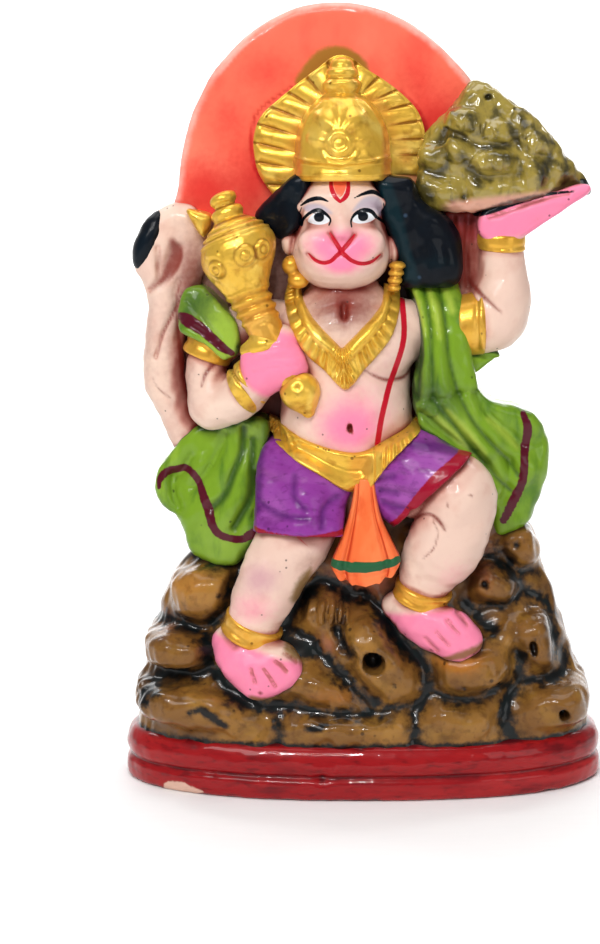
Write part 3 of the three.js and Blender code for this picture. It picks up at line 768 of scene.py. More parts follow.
class ClayIdolPaints(bpy.types.PropertyGroup):
    """The colours in the paint box."""

    flesh: paint_property("Flesh", "Pale skin of the figure", 230, 197, 180)
    blush: paint_property("Blush", "Airbrushed pink on cheeks, belly, hands and feet", 248, 124, 166)
    # Umber is the skin's red-brown airbrush, and also painted shade in creases and hollows and at the throat,
    # jaw and web.
    umber: paint_property("Umber", "Red-brown wash in the creases of the skin", 125, 38, 30)
    vermilion: paint_property("Vermilion", "Painted lines on the face and the thread on the chest", 190, 20, 40)
    coral: paint_property("Coral", "The halo", 250, 110, 86)
    gold: paint_property("Gold", "Crown, mace, jewels and belt", 229, 182, 68)
    green: paint_property("Green", "The shawl", 118, 154, 36)
    maroon: paint_property("Maroon", "Border of the shawl", 82, 12, 30)
    violet: paint_property("Violet", "The short trousers", 138, 56, 146)
    crimson: paint_property("Crimson", "Hems of the trousers", 150, 12, 40)
    orange: paint_property("Orange", "The sash", 240, 112, 60)
    black: paint_property("Blue black", "Hair and tuft", 2, 8, 18)
    stone: paint_property("Stone", "Rocks", 126, 86, 38)
    # Tar is the crevices' own near-black, and also painted shade in hollows, behind the legs and at the heap's
    # foot.
    tar: paint_property("Tar", "Crevices between the rocks", 5, 12, 16)
    red: paint_property("Red", "The plinth", 150, 16, 22)


class ClayIdolSizes(bpy.types.PropertyGroup):
    """The sizes that the mould is cut to."""

    plinth_width: size_property("Plinth width", "Across the oval plinth", 130)
    plinth_depth: size_property("Plinth depth", "From the front to the back of the plinth", 58)
    plinth_height: size_property("Plinth height", "Top of the plinth above its underside", 14.5)
    halo_thickness: size_property("Halo thickness", "Thickness of the round halo", 9)
    crevice_depth: size_property("Crevice depth", "Depth of the grooves between the rocks", 1.9)
    fold_depth: size_property("Fold depth", "Depth of the grooves between the folds of the shawl", 1.5)
    fine_step: size_property("Fine step", "Distance between the points of face and hands", 0.36)
    plain_step: size_property("Plain step", "Distance between the points of limbs, cloth and rocks", 0.65)


# Landmarks that the limbs, dress and ornaments are built on, and centres in x and z of ornaments on them
HEAD = np.array([-4.6, -8.0, 147.0])
CHEST = np.array([-3.6, -7.0, 118.0])
WAIST = np.array([-3.7, -6.5, 96.0])
MACE_TIP = np.array([-34.5, -11.5, 157.4])
POMMEL = np.array([-15.4, -19.5, 107.0])
FIST = np.array([-22.3, -16.5, 114.4])
ELBOW_LOW = np.array([-38.6, -9.0, 101.8])
ELBOW_HIGH = np.array([35.6, -5.5, 125.0])
WRIST_HIGH = np.array([36.6, -6.0, 144.0])
KNEE_HANGING = np.array([-16.3, -17.0, 69.5])
ANKLE_HANGING = np.array([-28.9, -18.0, 44.5])
KNEE_RAISED = np.array([24.8, -18.4, 81.2])
ANKLE_RAISED = np.array([16.6, -17.0, 54.0])
PLINTH_BOSS = (-10.4, 6.2)
CROWN_STAR = (-5.0, 169.6)
MACE_FLOWERS = [((-28.6, -24.0, 142.0), 2.1), ((-24.0, -21.4, 143.4), 1.9), ((-36.2, -22.0, 138.2), 1.8)]
FAN_SPANS = 16
BEFORE_CLAY = -42.0


def near(place, dx, dy, dz, *rest):
    """A place near a landmark, with a radius after it where one is given."""
    return (place[0] + dx, place[1] + dy, place[2] + dz, *rest)


def beyond(place, normal):
    """All that lies past a plane: the distance to it, negative on the side that the normal points to."""
    place = np.asarray(place, float)
    normal = unit(np.asarray(normal, float))
    return Form(lambda points: (place - points) @ normal, np.full(3, -FAR), np.full(3, FAR))


def depth_between(stations, reach=6.0):
    """A depth as a function of x and z: the mean of the stations' own depths, each weighted by a bell curve of
    the distance to its place over the reach."""
    stations = np.asarray(stations, float)

    def depth(x, z):
        gap = (np.asarray(x)[..., None] - stations[:, 0]) ** 2
        gap = gap + (np.asarray(z)[..., None] - stations[:, 1]) ** 2
        weight = np.exp(-gap / reach**2) + 1e-4 / (1 + gap)
        return (weight * stations[:, 2]).sum(-1) / weight.sum(-1)

    return depth


def uneven(size, height, seed, low=(-70, -35, 0), high=(70, 35, 210)):
    """Heights pressed over a whole piece: sine lumps of one size, as a hand leaves on clay."""
    return press(Form(lambda points: height * lumps(points, size, seed), np.array(low, float),
                      np.array(high, float)))


def plinth_grid(sizes):
    """The oval plinth: with v round the plan and u up the side, a superellipse of power 2.3 is drawn in by a
    profile of two rounded bands with a groove between, then moved by sine lumps and by a ringed boss at the
    front."""
    height = sizes.plinth_height / MM
    half_width = sizes.plinth_width / 2 / MM
    half_depth = sizes.plinth_depth / 2 / MM
    profile = smooth_path([(2.6, 0.0), (1.0, 0.15), (0.25, 1.1), (0.1, 3.0), (0.3, 5.0), (1.25, 6.3),
                           (0.55, 7.5), (0.3, 9.6), (0.9, 12.0), (2.2, 13.7), (4.6, height), (9.0, height)], 48)
    across, deep = blunt_ring(400, 2 / 2.3)
    grid = np.stack([(half_width - profile[:, :1]) * across, (half_depth - profile[:, :1]) * deep,
                     profile[:, 1:] + 0 * across], -1)
    points = grid.reshape(-1, 3)
    ray = unit(points * (0.25, 1, 0))
    swell = 0.22 * lumps(points, 26, 3) + 0.1 * lumps(points, 7, 4) - 0.32
    gap = plan_gap(points, PLINTH_BOSS)
    front = points[:, 1] < 0
    swell += front * (0.5 * bell(gap - 3.0, 0.8) - 0.7 * bell(gap, 1.1))
    points = points + ray * np.minimum(swell, -0.02)[:, None]
    points[:, 2] += np.maximum(0.5 * lumps(points * (1, 1, 0), 11, 5), 0) * np.exp(-points[:, 2] / 1.2)
    return points.reshape(grid.shape)


def heap():
    """The body of the heap: an oval narrowing with height. Its level is the 2.4th root of the summed 2.4th
    powers of x and y in half widths and half depths, and the distance is the level less one, over the level's
    own slope."""
    height = [10, 14.5, 22, 30, 40, 50, 58.5, 66, 74, 80]
    left = [61.4, 61.2, 60.0, 58.4, 55.8, 53.0, 48.4, 42, 34, 26]
    right = [61.4, 61.2, 60.6, 58.0, 54.8, 51.6, 48.0, 43.8, 36, 26]
    front = [25.8, 25.8, 25.4, 23.6, 20.2, 16.6, 13.8, 12, 11, 10]
    back = [25.6, 25.6, 25.2, 24.2, 22, 19, 16.5, 14.5, 13, 12]

    def distance(points):
        x, y, z = points.T
        wide = np.where(x < 0, np.interp(z, height, left), np.interp(z, height, right))
        deep = np.where(y < 0, np.interp(z, height, front), np.interp(z, height, back))
        across = np.abs(x) / wide
        through = np.abs(y) / deep
        level = (across**2.4 + through**2.4 + 1e-9) ** (1 / 2.4)
        slope = np.hypot(across**1.4 / wide, through**1.4 / deep) + 1e-6
        return strongest(0.92 * (level - 1) * level**1.4 / slope, z - 78, 12.6 - z)

    return Form(distance, np.array([-62, -27, 12.6]), np.array([62, 26, 78.0]))


# Crevices between the stones as (x, y, z) with the half width of each, widest where dark pools show
CREVICES = [
    ([(-55.4, -9, 43.7), (-53.6, -14, 43.9), (-50.8, -17, 44.4), (-46.8, -19, 43.7), (-42, -20, 42.9),
      (-39.3, -20, 45), (-36.2, -19, 48.6), (-34, -18, 53), (-32.3, -16, 57.6), (-30.5, -15, 62)], 1.2),
    ([(-57.6, -12, 25.6), (-55.8, -15, 28.0), (-52, -19, 30.4), (-47.6, -21, 31.2), (-42.8, -22, 31.4),
      (-40.2, -22, 33.4), (-40.4, -21, 38), (-41.4, -20, 42)], 1.5),
    ([(-41, -22, 33), (-38.4, -24, 31.4), (-35.4, -25, 28.4), (-31.1, -26, 25.7), (-27.2, -26, 24.4),
      (-22.5, -26, 23.9), (-18.1, -27, 24.2)], 1.8),
    ([(-22, -27, 24.2), (-15, -27, 23.7), (-9.7, -27, 22.8), (-1.4, -27, 22.5), (5.2, -27, 23.0),
      (9.4, -27, 24.2), (13.2, -26, 23.6)], 1.0),
    ([(-20.8, -26, 23.5), (-21.6, -27, 20.2), (-22, -27.5, 15)], 0.8),
    ([(-23.0, -19, 38.4), (-22.2, -18, 41.6), (-19.5, -17.5, 45.3), (-17.4, -17, 49), (-14.6, -16, 52.7),
      (-10.9, -15, 55.3), (-6.9, -15, 54.6), (-3.3, -15, 52.4), (-1.2, -16, 51.6)], 1.8),
    ([(-19.6, -20, 43.4), (-16.4, -20, 42), (-13.2, -21, 40.4), (-11, -22, 37.5), (-8, -24, 34.8),
      (-4, -25, 31), (0, -26, 27.2), (3.6, -27, 24.6)], 1.6),
    ([(0.2, -17, 52), (2.6, -18, 50.6), (5.2, -20, 47.6), (8.7, -21, 42.6), (12, -22, 39), (15.3, -23, 36),
      (17.2, -24, 32.6), (17.2, -25, 29), (16, -26, 25.6), (13.2, -26.5, 23.2)], 1.7),
    ([(-6.4, -19, 44), (-5.0, -20, 40.6), (-2.6, -22, 38.4)], 0.9),
    ([(13.2, -26.5, 23.6), (13.8, -27, 19.8), (14, -27.5, 15)], 1.2),
    ([(15.4, -25, 25.6), (18.4, -25, 27.6), (21.9, -25, 26.6), (26.2, -26, 25.6), (30.9, -26, 25.8),
      (34, -25, 27.4), (38, -24, 28.4)], 0.9),
    ([(41.4, -23, 28.4), (39, -24, 25.4), (37.8, -25, 21.8), (38.2, -26, 18), (40, -26, 15)], 1.9),
    ([(39.4, -23, 26.6), (41.4, -22, 29.7), (42, -21, 33), (41.6, -20, 36.4)], 1.7),
    ([(42, -22, 29.2), (46.7, -20, 29.5), (51.6, -17, 29.9), (54.6, -14, 31.6), (53, -14, 35), (51.4, -14, 38),
      (50.6, -14, 41.6), (50.2, -13, 46.4), (47.4, -13, 49.7), (45.1, -13, 51)], 1.2),
    ([(28, -18, 60.6), (31, -17, 61.6), (34.4, -16, 61.2), (37.1, -16, 59), (40.4, -15, 55.8), (43.3, -14, 52),
      (45.4, -13, 49.8)], 1.1),
    ([(38.6, -15, 60.8), (41.4, -14, 57.6), (46.6, -11, 55.6)], 0.8),
    ([(27.4, -19, 49.4), (29.2, -19, 48), (31.2, -20, 45.8), (34.2, -21, 43.4)], 1.8),
    ([(31.2, -19, 48.1), (35.9, -18, 49.3), (39.4, -17, 50.2), (43, -15, 51.6)], 0.8),
    ([(-49.6, -11, 60), (-44, -14, 61.4), (-38, -16, 59.6), (-33, -16, 60.6)], 0.8),
]


def rocks_mould(sizes):
    """The heap with its stones: blunt boulders and slabs softly set in it, crevices pressed between, hollows
    and a stone with ribs."""
    stones = [
        ((-41, -4, 52.6), (9.6, 14.6, 8.2), -18), ((-47, -6.6, 37.6), (11.0, 16.0, 6.2), 4),
        ((-41.5, -8.4, 23.0), (19.6, 17.6, 6.8), 7), ((-4, -9.6, 18.4), (17.6, 17.6, 4.6), 0),
        ((-12, -9.4, 29.6), (12.4, 16.6, 5.2), 14), ((26, -8.6, 20.0), (11.6, 17.4, 5.6), -1),
        ((50, -2.4, 22.4), (11.0, 20.6, 7.4), -5), ((29, -8.6, 33.4), (11.4, 17.4, 7.4), -6),
        ((4.6, -9.6, 36.6), (8.8, 16.8, 13.6), -36), ((-9.6, -6, 47.6), (8.2, 13.4, 7.0), 8),
        ((35.4, -4.2, 54.4), (7.4, 13.4, 6.0), 20), ((42, -0.6, 63.2), (5.2, 11.0, 6.0), -24),
        ((45.4, -4.6, 39.4), (7.0, 15.0, 8.6), -10), ((33, -4, 40.4), (9.0, 16.6, 5.0), -12),
    ]
    steps = [join(heap())]
    steps += [
        join(stone(centre, radii, lean=lean, power=2.8, rough=0.2, seed=10 + i), 2.6)
        for i, (centre, radii, lean) in enumerate(stones)
    ]
    steps.append(join(stone((3.6, -12.4, 36.8), (6.4, 14.4, 9.4), lean=-34, power=2.4, rough=0.2, seed=40), 3))
    for line, wide in CREVICES:
        deep = sizes.crevice_depth / MM * (0.7 + 0.26 * wide)
        steps.append(scored(line, 1.0 + 1.15 * wide, deep, 7.5))
    for i, (x, z) in enumerate(((-13.4, 49.2), (-9.9, 48.6), (-7.3, 48.4), (-5.0, 48.8), (-3.2, 48.6))):
        height = -1.1 if i in (1, 2, 3) else -0.7
        steps.append(scored([(x, -17, z + 2.6), (x - 0.4, -18.6, z), (x - 0.7, -18.6, z - 2.4)], 0.62, height,
                            6))
    for i, x in enumerate((-15.4, -11.6, -8.6, -6.1, -4.1)):
        steps.append(scored([(x, -17, 52), (x - 0.4, -18.6, 49), (x - 0.6, -18.6, 46)], 0.5, 0.6, 6))
    hollows = [((3.0, -26.4, 36.8), (3.1, 6.2, 3.4), 1.0), ((40.9, -14.4, 64.8), (1.6, 4, 1.5), 0.9),
               ((32.2, -18.6, 55.3), (1.7, 4, 1.5), 0.9), ((45.1, -20, 38.4), (0.9, 4, 2.4), 0.8),
               ((52.8, -21.5, 21.7), (1.3, 3, 1.5), 0.8), ((26.6, -26.4, 29.6), (0.9, 2, 0.8), 0.7),
               ((8.4, -27, 30.6), (1.1, 2, 0.9), 0.7), ((-36.8, -21, 52.8), (1.0, 2.4, 0.8), 0.7)]
    steps += [cut(ball(centre, radii, lean=-12), soft) for centre, radii, soft in hollows]
    steps.append(uneven(11.0, 0.45, 21, (-64, -30, 12), (64, 28, 82)))
    return steps


def trunk_mould():
    """Hips to neck, chest muscles and sloping shoulders, the belly and the navel."""
    return [
        join(limb([near(WAIST, 0.6, 1, -12, 16.5), near(WAIST, 0, 0, 0, 17.4), near(WAIST, -0.2, 0, 9, 16.8),
                   near(CHEST, 0, 0, -2, 17.4)], flat=0.76)),
        join(limb([near(CHEST, -0.2, -0.6, 6, 9.4), near(HEAD, 0.4, 0.6, -13, 8.2)]), 4.5),
        join(limb([near(CHEST, -14.5, 1, 2.2, 7.8), near(CHEST, 0, 0.6, 4.2, 9.5),
                   near(CHEST, 15, 1, 3.6, 7.8)]), 4),
        join(ball(near(CHEST, -9.6, -4.2, -0.2), (9.6, 8.0, 8.0)), 2.2),
        join(ball(near(CHEST, 9.2, -4.2, -0.2), (8.8, 8.0, 8.0)), 2.2),
        join(ball(near(WAIST, 0.4, -5.4, 5.5), (12.6, 9.0, 11)), 5),
        cut(ball((-4.0, -18.0, 127.4), (1.2, 3.0, 2.6)), 1.4),
        cut(ball((-2.7, -21.2, 97.5), (0.55, 2.0, 1.1)), 0.5),
        scored([(0.6, -20, 112.2), (4, -20, 110.4), (7.4, -18.5, 109.3), (11.4, -16, 109.6),
                (14.2, -13, 112.2)], 1.3, 0.9, 6),
        scored([(-6, -17, 129.4), (-11, -14, 127.4), (-16, -11, 126.6)], 1.4, 0.5, 5),
        scored([(-2, -17, 129.4), (3, -14, 127.4), (9, -11, 127)], 1.4, 0.5, 5),
        uneven(13, 0.25, 31),
    ]


def raised_arm_mould():
    """Shoulder, bent elbow, wrist and open hand under the hilltop, with the web of clay behind the forearm."""
    return [
        join(limb([(13, -4, 122.0, 7.0), (24, -5.6, 121.6, 7.2), near(ELBOW_HIGH, -1, 0, -1.6, 8.0),
                   near(ELBOW_HIGH, 0.8, 0, 3.2, 8.0), near(ELBOW_HIGH, 1.6, 0, 8.6, 6.6),
                   near(WRIST_HIGH, 0.2, 0, -4.5, 5.7), near(WRIST_HIGH, 0, 0, 0.5, 5.5),
                   near(WRIST_HIGH, 0, 0, 4, 5.4)], flat=0.95)),
        join(slab(smooth_loop([(30.6, 146.4), (32.0, 152.4), (41, 154.6), (50, 157.0), (57.4, 158.4),
                               (58.6, 156.4), (50.6, 151.0), (42.2, 145.2), (36, 143.6)], 6), -11.2, 3.5, 2.0),
             1.6),
        join(slab([(20, 112), (22, 152), (33, 152), (34, 128), (31, 113)], -4.4, 5, 1.5), 2.5),
        scored([(33, -12, 150.6), (40, -12, 152.8), (47, -11.5, 155), (53, -10, 156.2)], 0.7, 0.9, 5),
        scored([(42, -12, 147.8), (47, -11.5, 150.6), (51.6, -10.5, 153)], 0.6, 0.35, 5),
        scored([(29.7, -12, 132.6), (32.7, -13, 129.5), (36.1, -12.6, 126.3)], 0.9, 0.6, 4),
        scored([(24.4, -4, 150), (24.2, -4, 141), (24.8, -4, 132)], 0.9, 0.9, 3),
        scored([(28.2, -4, 150), (27.8, -4, 141), (28.2, -4, 132)], 0.8, 0.9, 3),
        uneven(11, 0.22, 32),
    ]


def mace_arm_mould():
    """Upper arm, forearm and the fist on the mace: a rounded block with faint lines between the fingers."""
    steps = [
        join(limb([(-19, -5, 121.6, 7.4), (-28, -5.6, 122.4, 6.8), (-35.4, -6.4, 119.6, 6.0),
                   (-40.2, -6.8, 112.6, 5.4), near(ELBOW_LOW, -0.6, 0, 3, 6.0),
                   near(ELBOW_LOW, 0, 0, 0.4, 6.2)])),
        join(limb([near(ELBOW_LOW, 0, 0, 0.2, 6.2), near(ELBOW_LOW, 6.6, -3.4, 2.6, 6.1),
                   near(FIST, -4.6, 0.4, -5, 5.6)]), 1.6),
        join(stone(FIST, (8.2, 6.2, 7.4), lean=-24, power=2.6, rough=0.15, seed=5), 1.6),
        join(ball(near(FIST, 4.0, -0.6, -1.4), (5.0, 5.2, 5.0)), 2),
        join(ball(near(FIST, 1.6, 0.6, 6.6), (5.0, 4.4, 3.0), lean=16), 2),
        scored([(-35.5, -13, 114.8), (-38.1, -13, 113.1), (-40.2, -12, 110.5), (-41.1, -11, 107.9)],
               0.8, 0.5, 4),
    ]
    for drop in (2.2, -0.4, -3.0):
        steps.append(scored([near(FIST, -5.0, -6, 1.0 + drop), near(FIST, 1, -7, 2.2 + drop),
                             near(FIST, 6.4, -6, 2.6 + drop)], 0.5, 0.28, 5))
    steps.append(uneven(9, 0.15, 33))
    return steps


def hanging_leg_mould():
    """The leg that hangs down the rocks: thigh, knee, shin, ankle and a foot with short grooves for toes."""
    steps = [
        join(limb([near(KNEE_HANGING, 1.5, 8, 10, 9.6), near(KNEE_HANGING, 0, 1.0, 1, 9.8),
                   near(KNEE_HANGING, -4.2, 0.2, -6.5, 9.2), near(ANKLE_HANGING, 4.2, -0.6, 10.4, 8.3),
                   near(ANKLE_HANGING, 1.6, 0, 4.2, 7.4), near(ANKLE_HANGING, 0.2, 0, 0, 6.9)], flat=0.84)),
        join(limb([near(ANKLE_HANGING, -6.0, 1, -4.4, 4.6), near(ANKLE_HANGING, -2.0, -1.6, -8.6, 6.8),
                   near(ANKLE_HANGING, 3.6, -2.6, -10.6, 6.8)], flat=0.86), 2.5),
        join(stone(near(ANKLE_HANGING, 4.8, -3.2, -11.0), (8.6, 6.0, 6.4), lean=-28, power=2.7, rough=0.1,
                   seed=6), 2.5),
        uneven(12, 0.28, 34),
    ]
    for line in ([(-25.3, 35.6), (-23.8, 33.4), (-22.4, 30.9)], [(-28.6, 35.6), (-28.1, 33.8), (-27.5, 31.8)],
                 [(-22.3, 37.5), (-20.8, 36.4), (-19.5, 34.8)], [(-20.0, 39.2), (-18.4, 38.2), (-17.2, 36.8)]):
        steps.append(scored(at_depth(line, -27), 0.55, 0.75, 7))
    return steps


def raised_leg_mould():
    """The leg with its knee raised: knee cap, shin slanting down, and the foot planted on a stone."""
    steps = [
        join(limb([near(KNEE_RAISED, -9, 4, 0, 9.0), near(KNEE_RAISED, 0, 0.6, -0.6, 9.6),
                   near(KNEE_RAISED, -0.6, 0, -8, 10), near(KNEE_RAISED, -3.4, 0.4, -15.5, 9.8),
                   near(ANKLE_RAISED, 2.2, 0, 7.5, 8.6), near(ANKLE_RAISED, -0.4, 0, 1, 6.4),
                   near(ANKLE_RAISED, -2, 0, -3, 6.0)], flat=0.84)),
        join(ball(near(KNEE_RAISED, -0.4, -1.6, -1.6), (8.6, 8.0, 8.8)), 2.5),
        join(limb([near(ANKLE_RAISED, -7, 1, -4.4, 4.2), near(ANKLE_RAISED, -0.4, -1.6, -8, 6.2),
                   near(ANKLE_RAISED, 6.4, -3.4, -11.0, 6.2)], flat=0.85), 2.5),
        join(stone(near(ANKLE_RAISED, 7.6, -3.2, -11.2), (7.4, 5.6, 5.6), lean=40, power=2.8, rough=0.1,
                   seed=7), 2.2),
        scored([(14.5, -27, 74.2), (16, -27, 75.2), (17.9, -27, 75.7), (19.8, -27, 74.2), (21.3, -27, 72.4)],
               0.8, 0.6, 5),
        scored([(18.4, -27, 74.2), (19.4, -27, 71.2), (18.4, -27, 67.2), (16.0, -27, 64.5)], 0.8, 0.35, 5),
        uneven(12, 0.28, 35),
    ]
    for line in ([(19.3, 45.0), (21, 43.2), (22.6, 41.5)], [(22.1, 47.9), (23.6, 46.2), (25.1, 44.5)],
                 [(24.6, 49.4), (26.0, 48.0), (27.2, 46.4)], [(16.6, 42.9), (18.2, 41.2), (19.6, 39.8)]):
        steps.append(scored(at_depth(line, -26), 0.55, 0.75, 7))
    return steps


def tail_mould():
    """The tail that rises beside the figure and curls over, with the hollow inside the curl and long
    creases."""
    outline = [(-50.9, 153.6), (-55.4, 146.6), (-58.0, 136.8), (-56.6, 132.4), (-55.9, 127.9), (-56.7, 121.5),
               (-57.4, 113.5), (-57.1, 105.5), (-54.5, 100.3), (-51.5, 93.8), (-48.6, 88.6), (-43.2, 86.0),
               (-38.4, 85.6), (-37.2, 89.6), (-40.6, 94.4), (-44.6, 100.6), (-46.0, 106.8), (-46.4, 113),
               (-45.8, 121), (-43.4, 128.6), (-41.0, 136), (-39.6, 144), (-41.6, 151.6), (-45.6, 154.2)]
    return [
        join(slab(smooth_loop(outline, 5), -6.2, 4.6, 4.6)),
        join(ball((-54.4, -1.5, 144.2), (3.8, 4.4, 8.4), lean=24), 2),
        cut(ball((-49.4, -7.6, 139.6), (1.9, 3.0, 5.4), lean=22), 1.8),
        scored([(-52.4, -6, 143), (-52.6, -7, 138.6), (-52.6, -7, 134.8), (-54.8, -5, 132)], 0.9, 0.8, 4),
        scored([(-46.8, -6, 143), (-47.2, -7, 139.6), (-49.6, -7, 136), (-52.0, -6, 132.8)], 1.1, 0.8, 4),
        scored([(-46.3, -7, 130.1), (-49.0, -7, 126), (-51.7, -7, 120.8), (-53.6, -6, 114.5)], 0.8, 0.8, 4),
        scored([(-47.2, -7, 134.3), (-48.4, -7, 130.1), (-47.2, -7, 127.0), (-47.6, -7, 119.2)], 1.0, 0.9, 4),
        scored([(-54.6, -6, 108.8), (-53.1, -7, 106.1), (-50.0, -7, 103.5)], 0.8, 0.4, 4),
        uneven(12, 0.3, 36),
    ]


def tuft_mould():
    """The dark tuft at the end of the tail, set on its outer side."""
    return [join(ball((-54.9, -2.2, 144.9), (3.5, 5.0, 8.4), lean=25)), uneven(7, 0.15, 37)]


def head_mould():
    """Skull, broad jowls, muzzle, a small nose, mounds under the eyelids and the ears of a monkey's head."""
    return [
        join(ball(near(HEAD, 0, 0.4, 0.4), (11.2, 11.8, 14.8))),
        join(ball(near(HEAD, -0.2, -1.2, -5.6), (12.6, 11.0, 9.4)), 3.4),
        join(ball(near(HEAD, 0.1, -6.6, -6.2), (9.8, 8.2, 7.2)), 4.5),
        join(ball(near(HEAD, 0, -4, 8.2), (9.6, 8.0, 6.6)), 4),
        join(ball(near(HEAD, 0.1, -12.6, 0.4), (2.2, 2.3, 1.8)), 1.8),
        join(limb([near(HEAD, 0, -10.0, 6, 1.3), near(HEAD, 0.1, -11.6, 1.4, 1.6)]), 2.6),
        join(ball(near(HEAD, -5.9, -9.2, 4.6), (3.7, 2.5, 2.3), lean=4), 1.0),
        join(ball(near(HEAD, 5.7, -9.2, 4.8), (3.7, 2.5, 2.3), lean=-4), 1.0),
        join(limb([near(HEAD, -10, -6.2, 6.6, 1.2), near(HEAD, -6, -8.8, 8.6, 1.5),
                   near(HEAD, -2, -9.4, 8.0, 1.0)]), 2.4),
        join(limb([near(HEAD, 10, -6.2, 7.6, 1.2), near(HEAD, 6.6, -8.8, 9.4, 1.5),
                   near(HEAD, 2.4, -9.4, 8.6, 1.0)]), 2.4),
        join(ball(near(HEAD, -6.0, -10.4, -2.2), (4.8, 3.4, 3.6)), 2.6),
        join(ball(near(HEAD, 6.0, -10.2, -2.2), (4.8, 3.4, 3.6)), 2.6),
        join(ball(near(HEAD, 13.2, -1.4, -4.6), (1.9, 2.6, 3.6)), 0.9),
        join(ball(near(HEAD, -13.6, -1.4, -2.6), (1.9, 2.6, 3.4)), 0.9),
        scored([(-13.0, -19, 142.0), (-11.3, -20, 140.6), (-9.3, -21, 139.8), (-7.2, -22, 140.3),
                (-4.6, -23, 142.2), (-2.1, -22, 140.5), (0.5, -21, 139.5), (3.0, -20, 139.9),
                (5.3, -19, 141.5)], 0.6, 0.5, 6),
        scored([(-7.4, -22, 147.2), (-6.0, -23, 144.9), (-4.6, -23, 142.8)], 0.6, 0.4, 6),
        scored([(-1.3, -22, 146.7), (-2.8, -23, 144.8), (-4.6, -23, 142.8)], 0.6, 0.4, 6),
        uneven(9, 0.1, 38),
    ]


def hair_mould():
    """Hair down both sides of the face, longer on the side of the raised arm, and the back of the head."""
    left = [(-12.4, 161.4), (-16.8, 161.4), (-21.6, 157.2), (-26.8, 151.8), (-25.6, 148.6), (-22.6, 146.6),
            (-20.4, 145.2), (-17.4, 146.6), (-14.4, 150)]
    right = [(4.0, 160.4), (9.6, 161.0), (13.8, 159.8), (16.4, 154.4), (22.4, 150.6), (25.6, 146.4),
             (26.6, 140), (26.2, 135), (23.6, 132.6), (16.6, 132.4), (10.4, 133.2), (10.2, 139.5), (8.0, 146),
             (5.0, 152)]
    depth_left = depth_between([(-15, 160, -15.5), (-16, 150, -14.5), (-22, 153, -12.5), (-26, 151, -9)], 5)
    depth_right = depth_between([(6, 160, -16), (8, 150, -14.5), (12, 142, -13.5), (12, 134, -12.5),
                                 (18, 146, -15), (20, 138, -15), (25, 144, -11), (25, 135, -11)], 5)
    return [
        join(slab(smooth_loop(left, 5), depth_left, 4, 2.8)),
        join(slab(smooth_loop(right, 5), depth_right, 4, 3.4), 1),
        join(ball(near(HEAD, 0, 7, -1), (14.5, 7.5, 15)), 3),
        scored([(15.4, -16, 158), (12.6, -16, 149), (13.0, -16, 141), (12, -15, 134)], 1.4, 0.5, 6),
        scored([(-18, -15, 158), (-21, -15, 153), (-21, -14, 148)], 1.2, 0.4, 6),
        uneven(7, 0.2, 39),
    ]


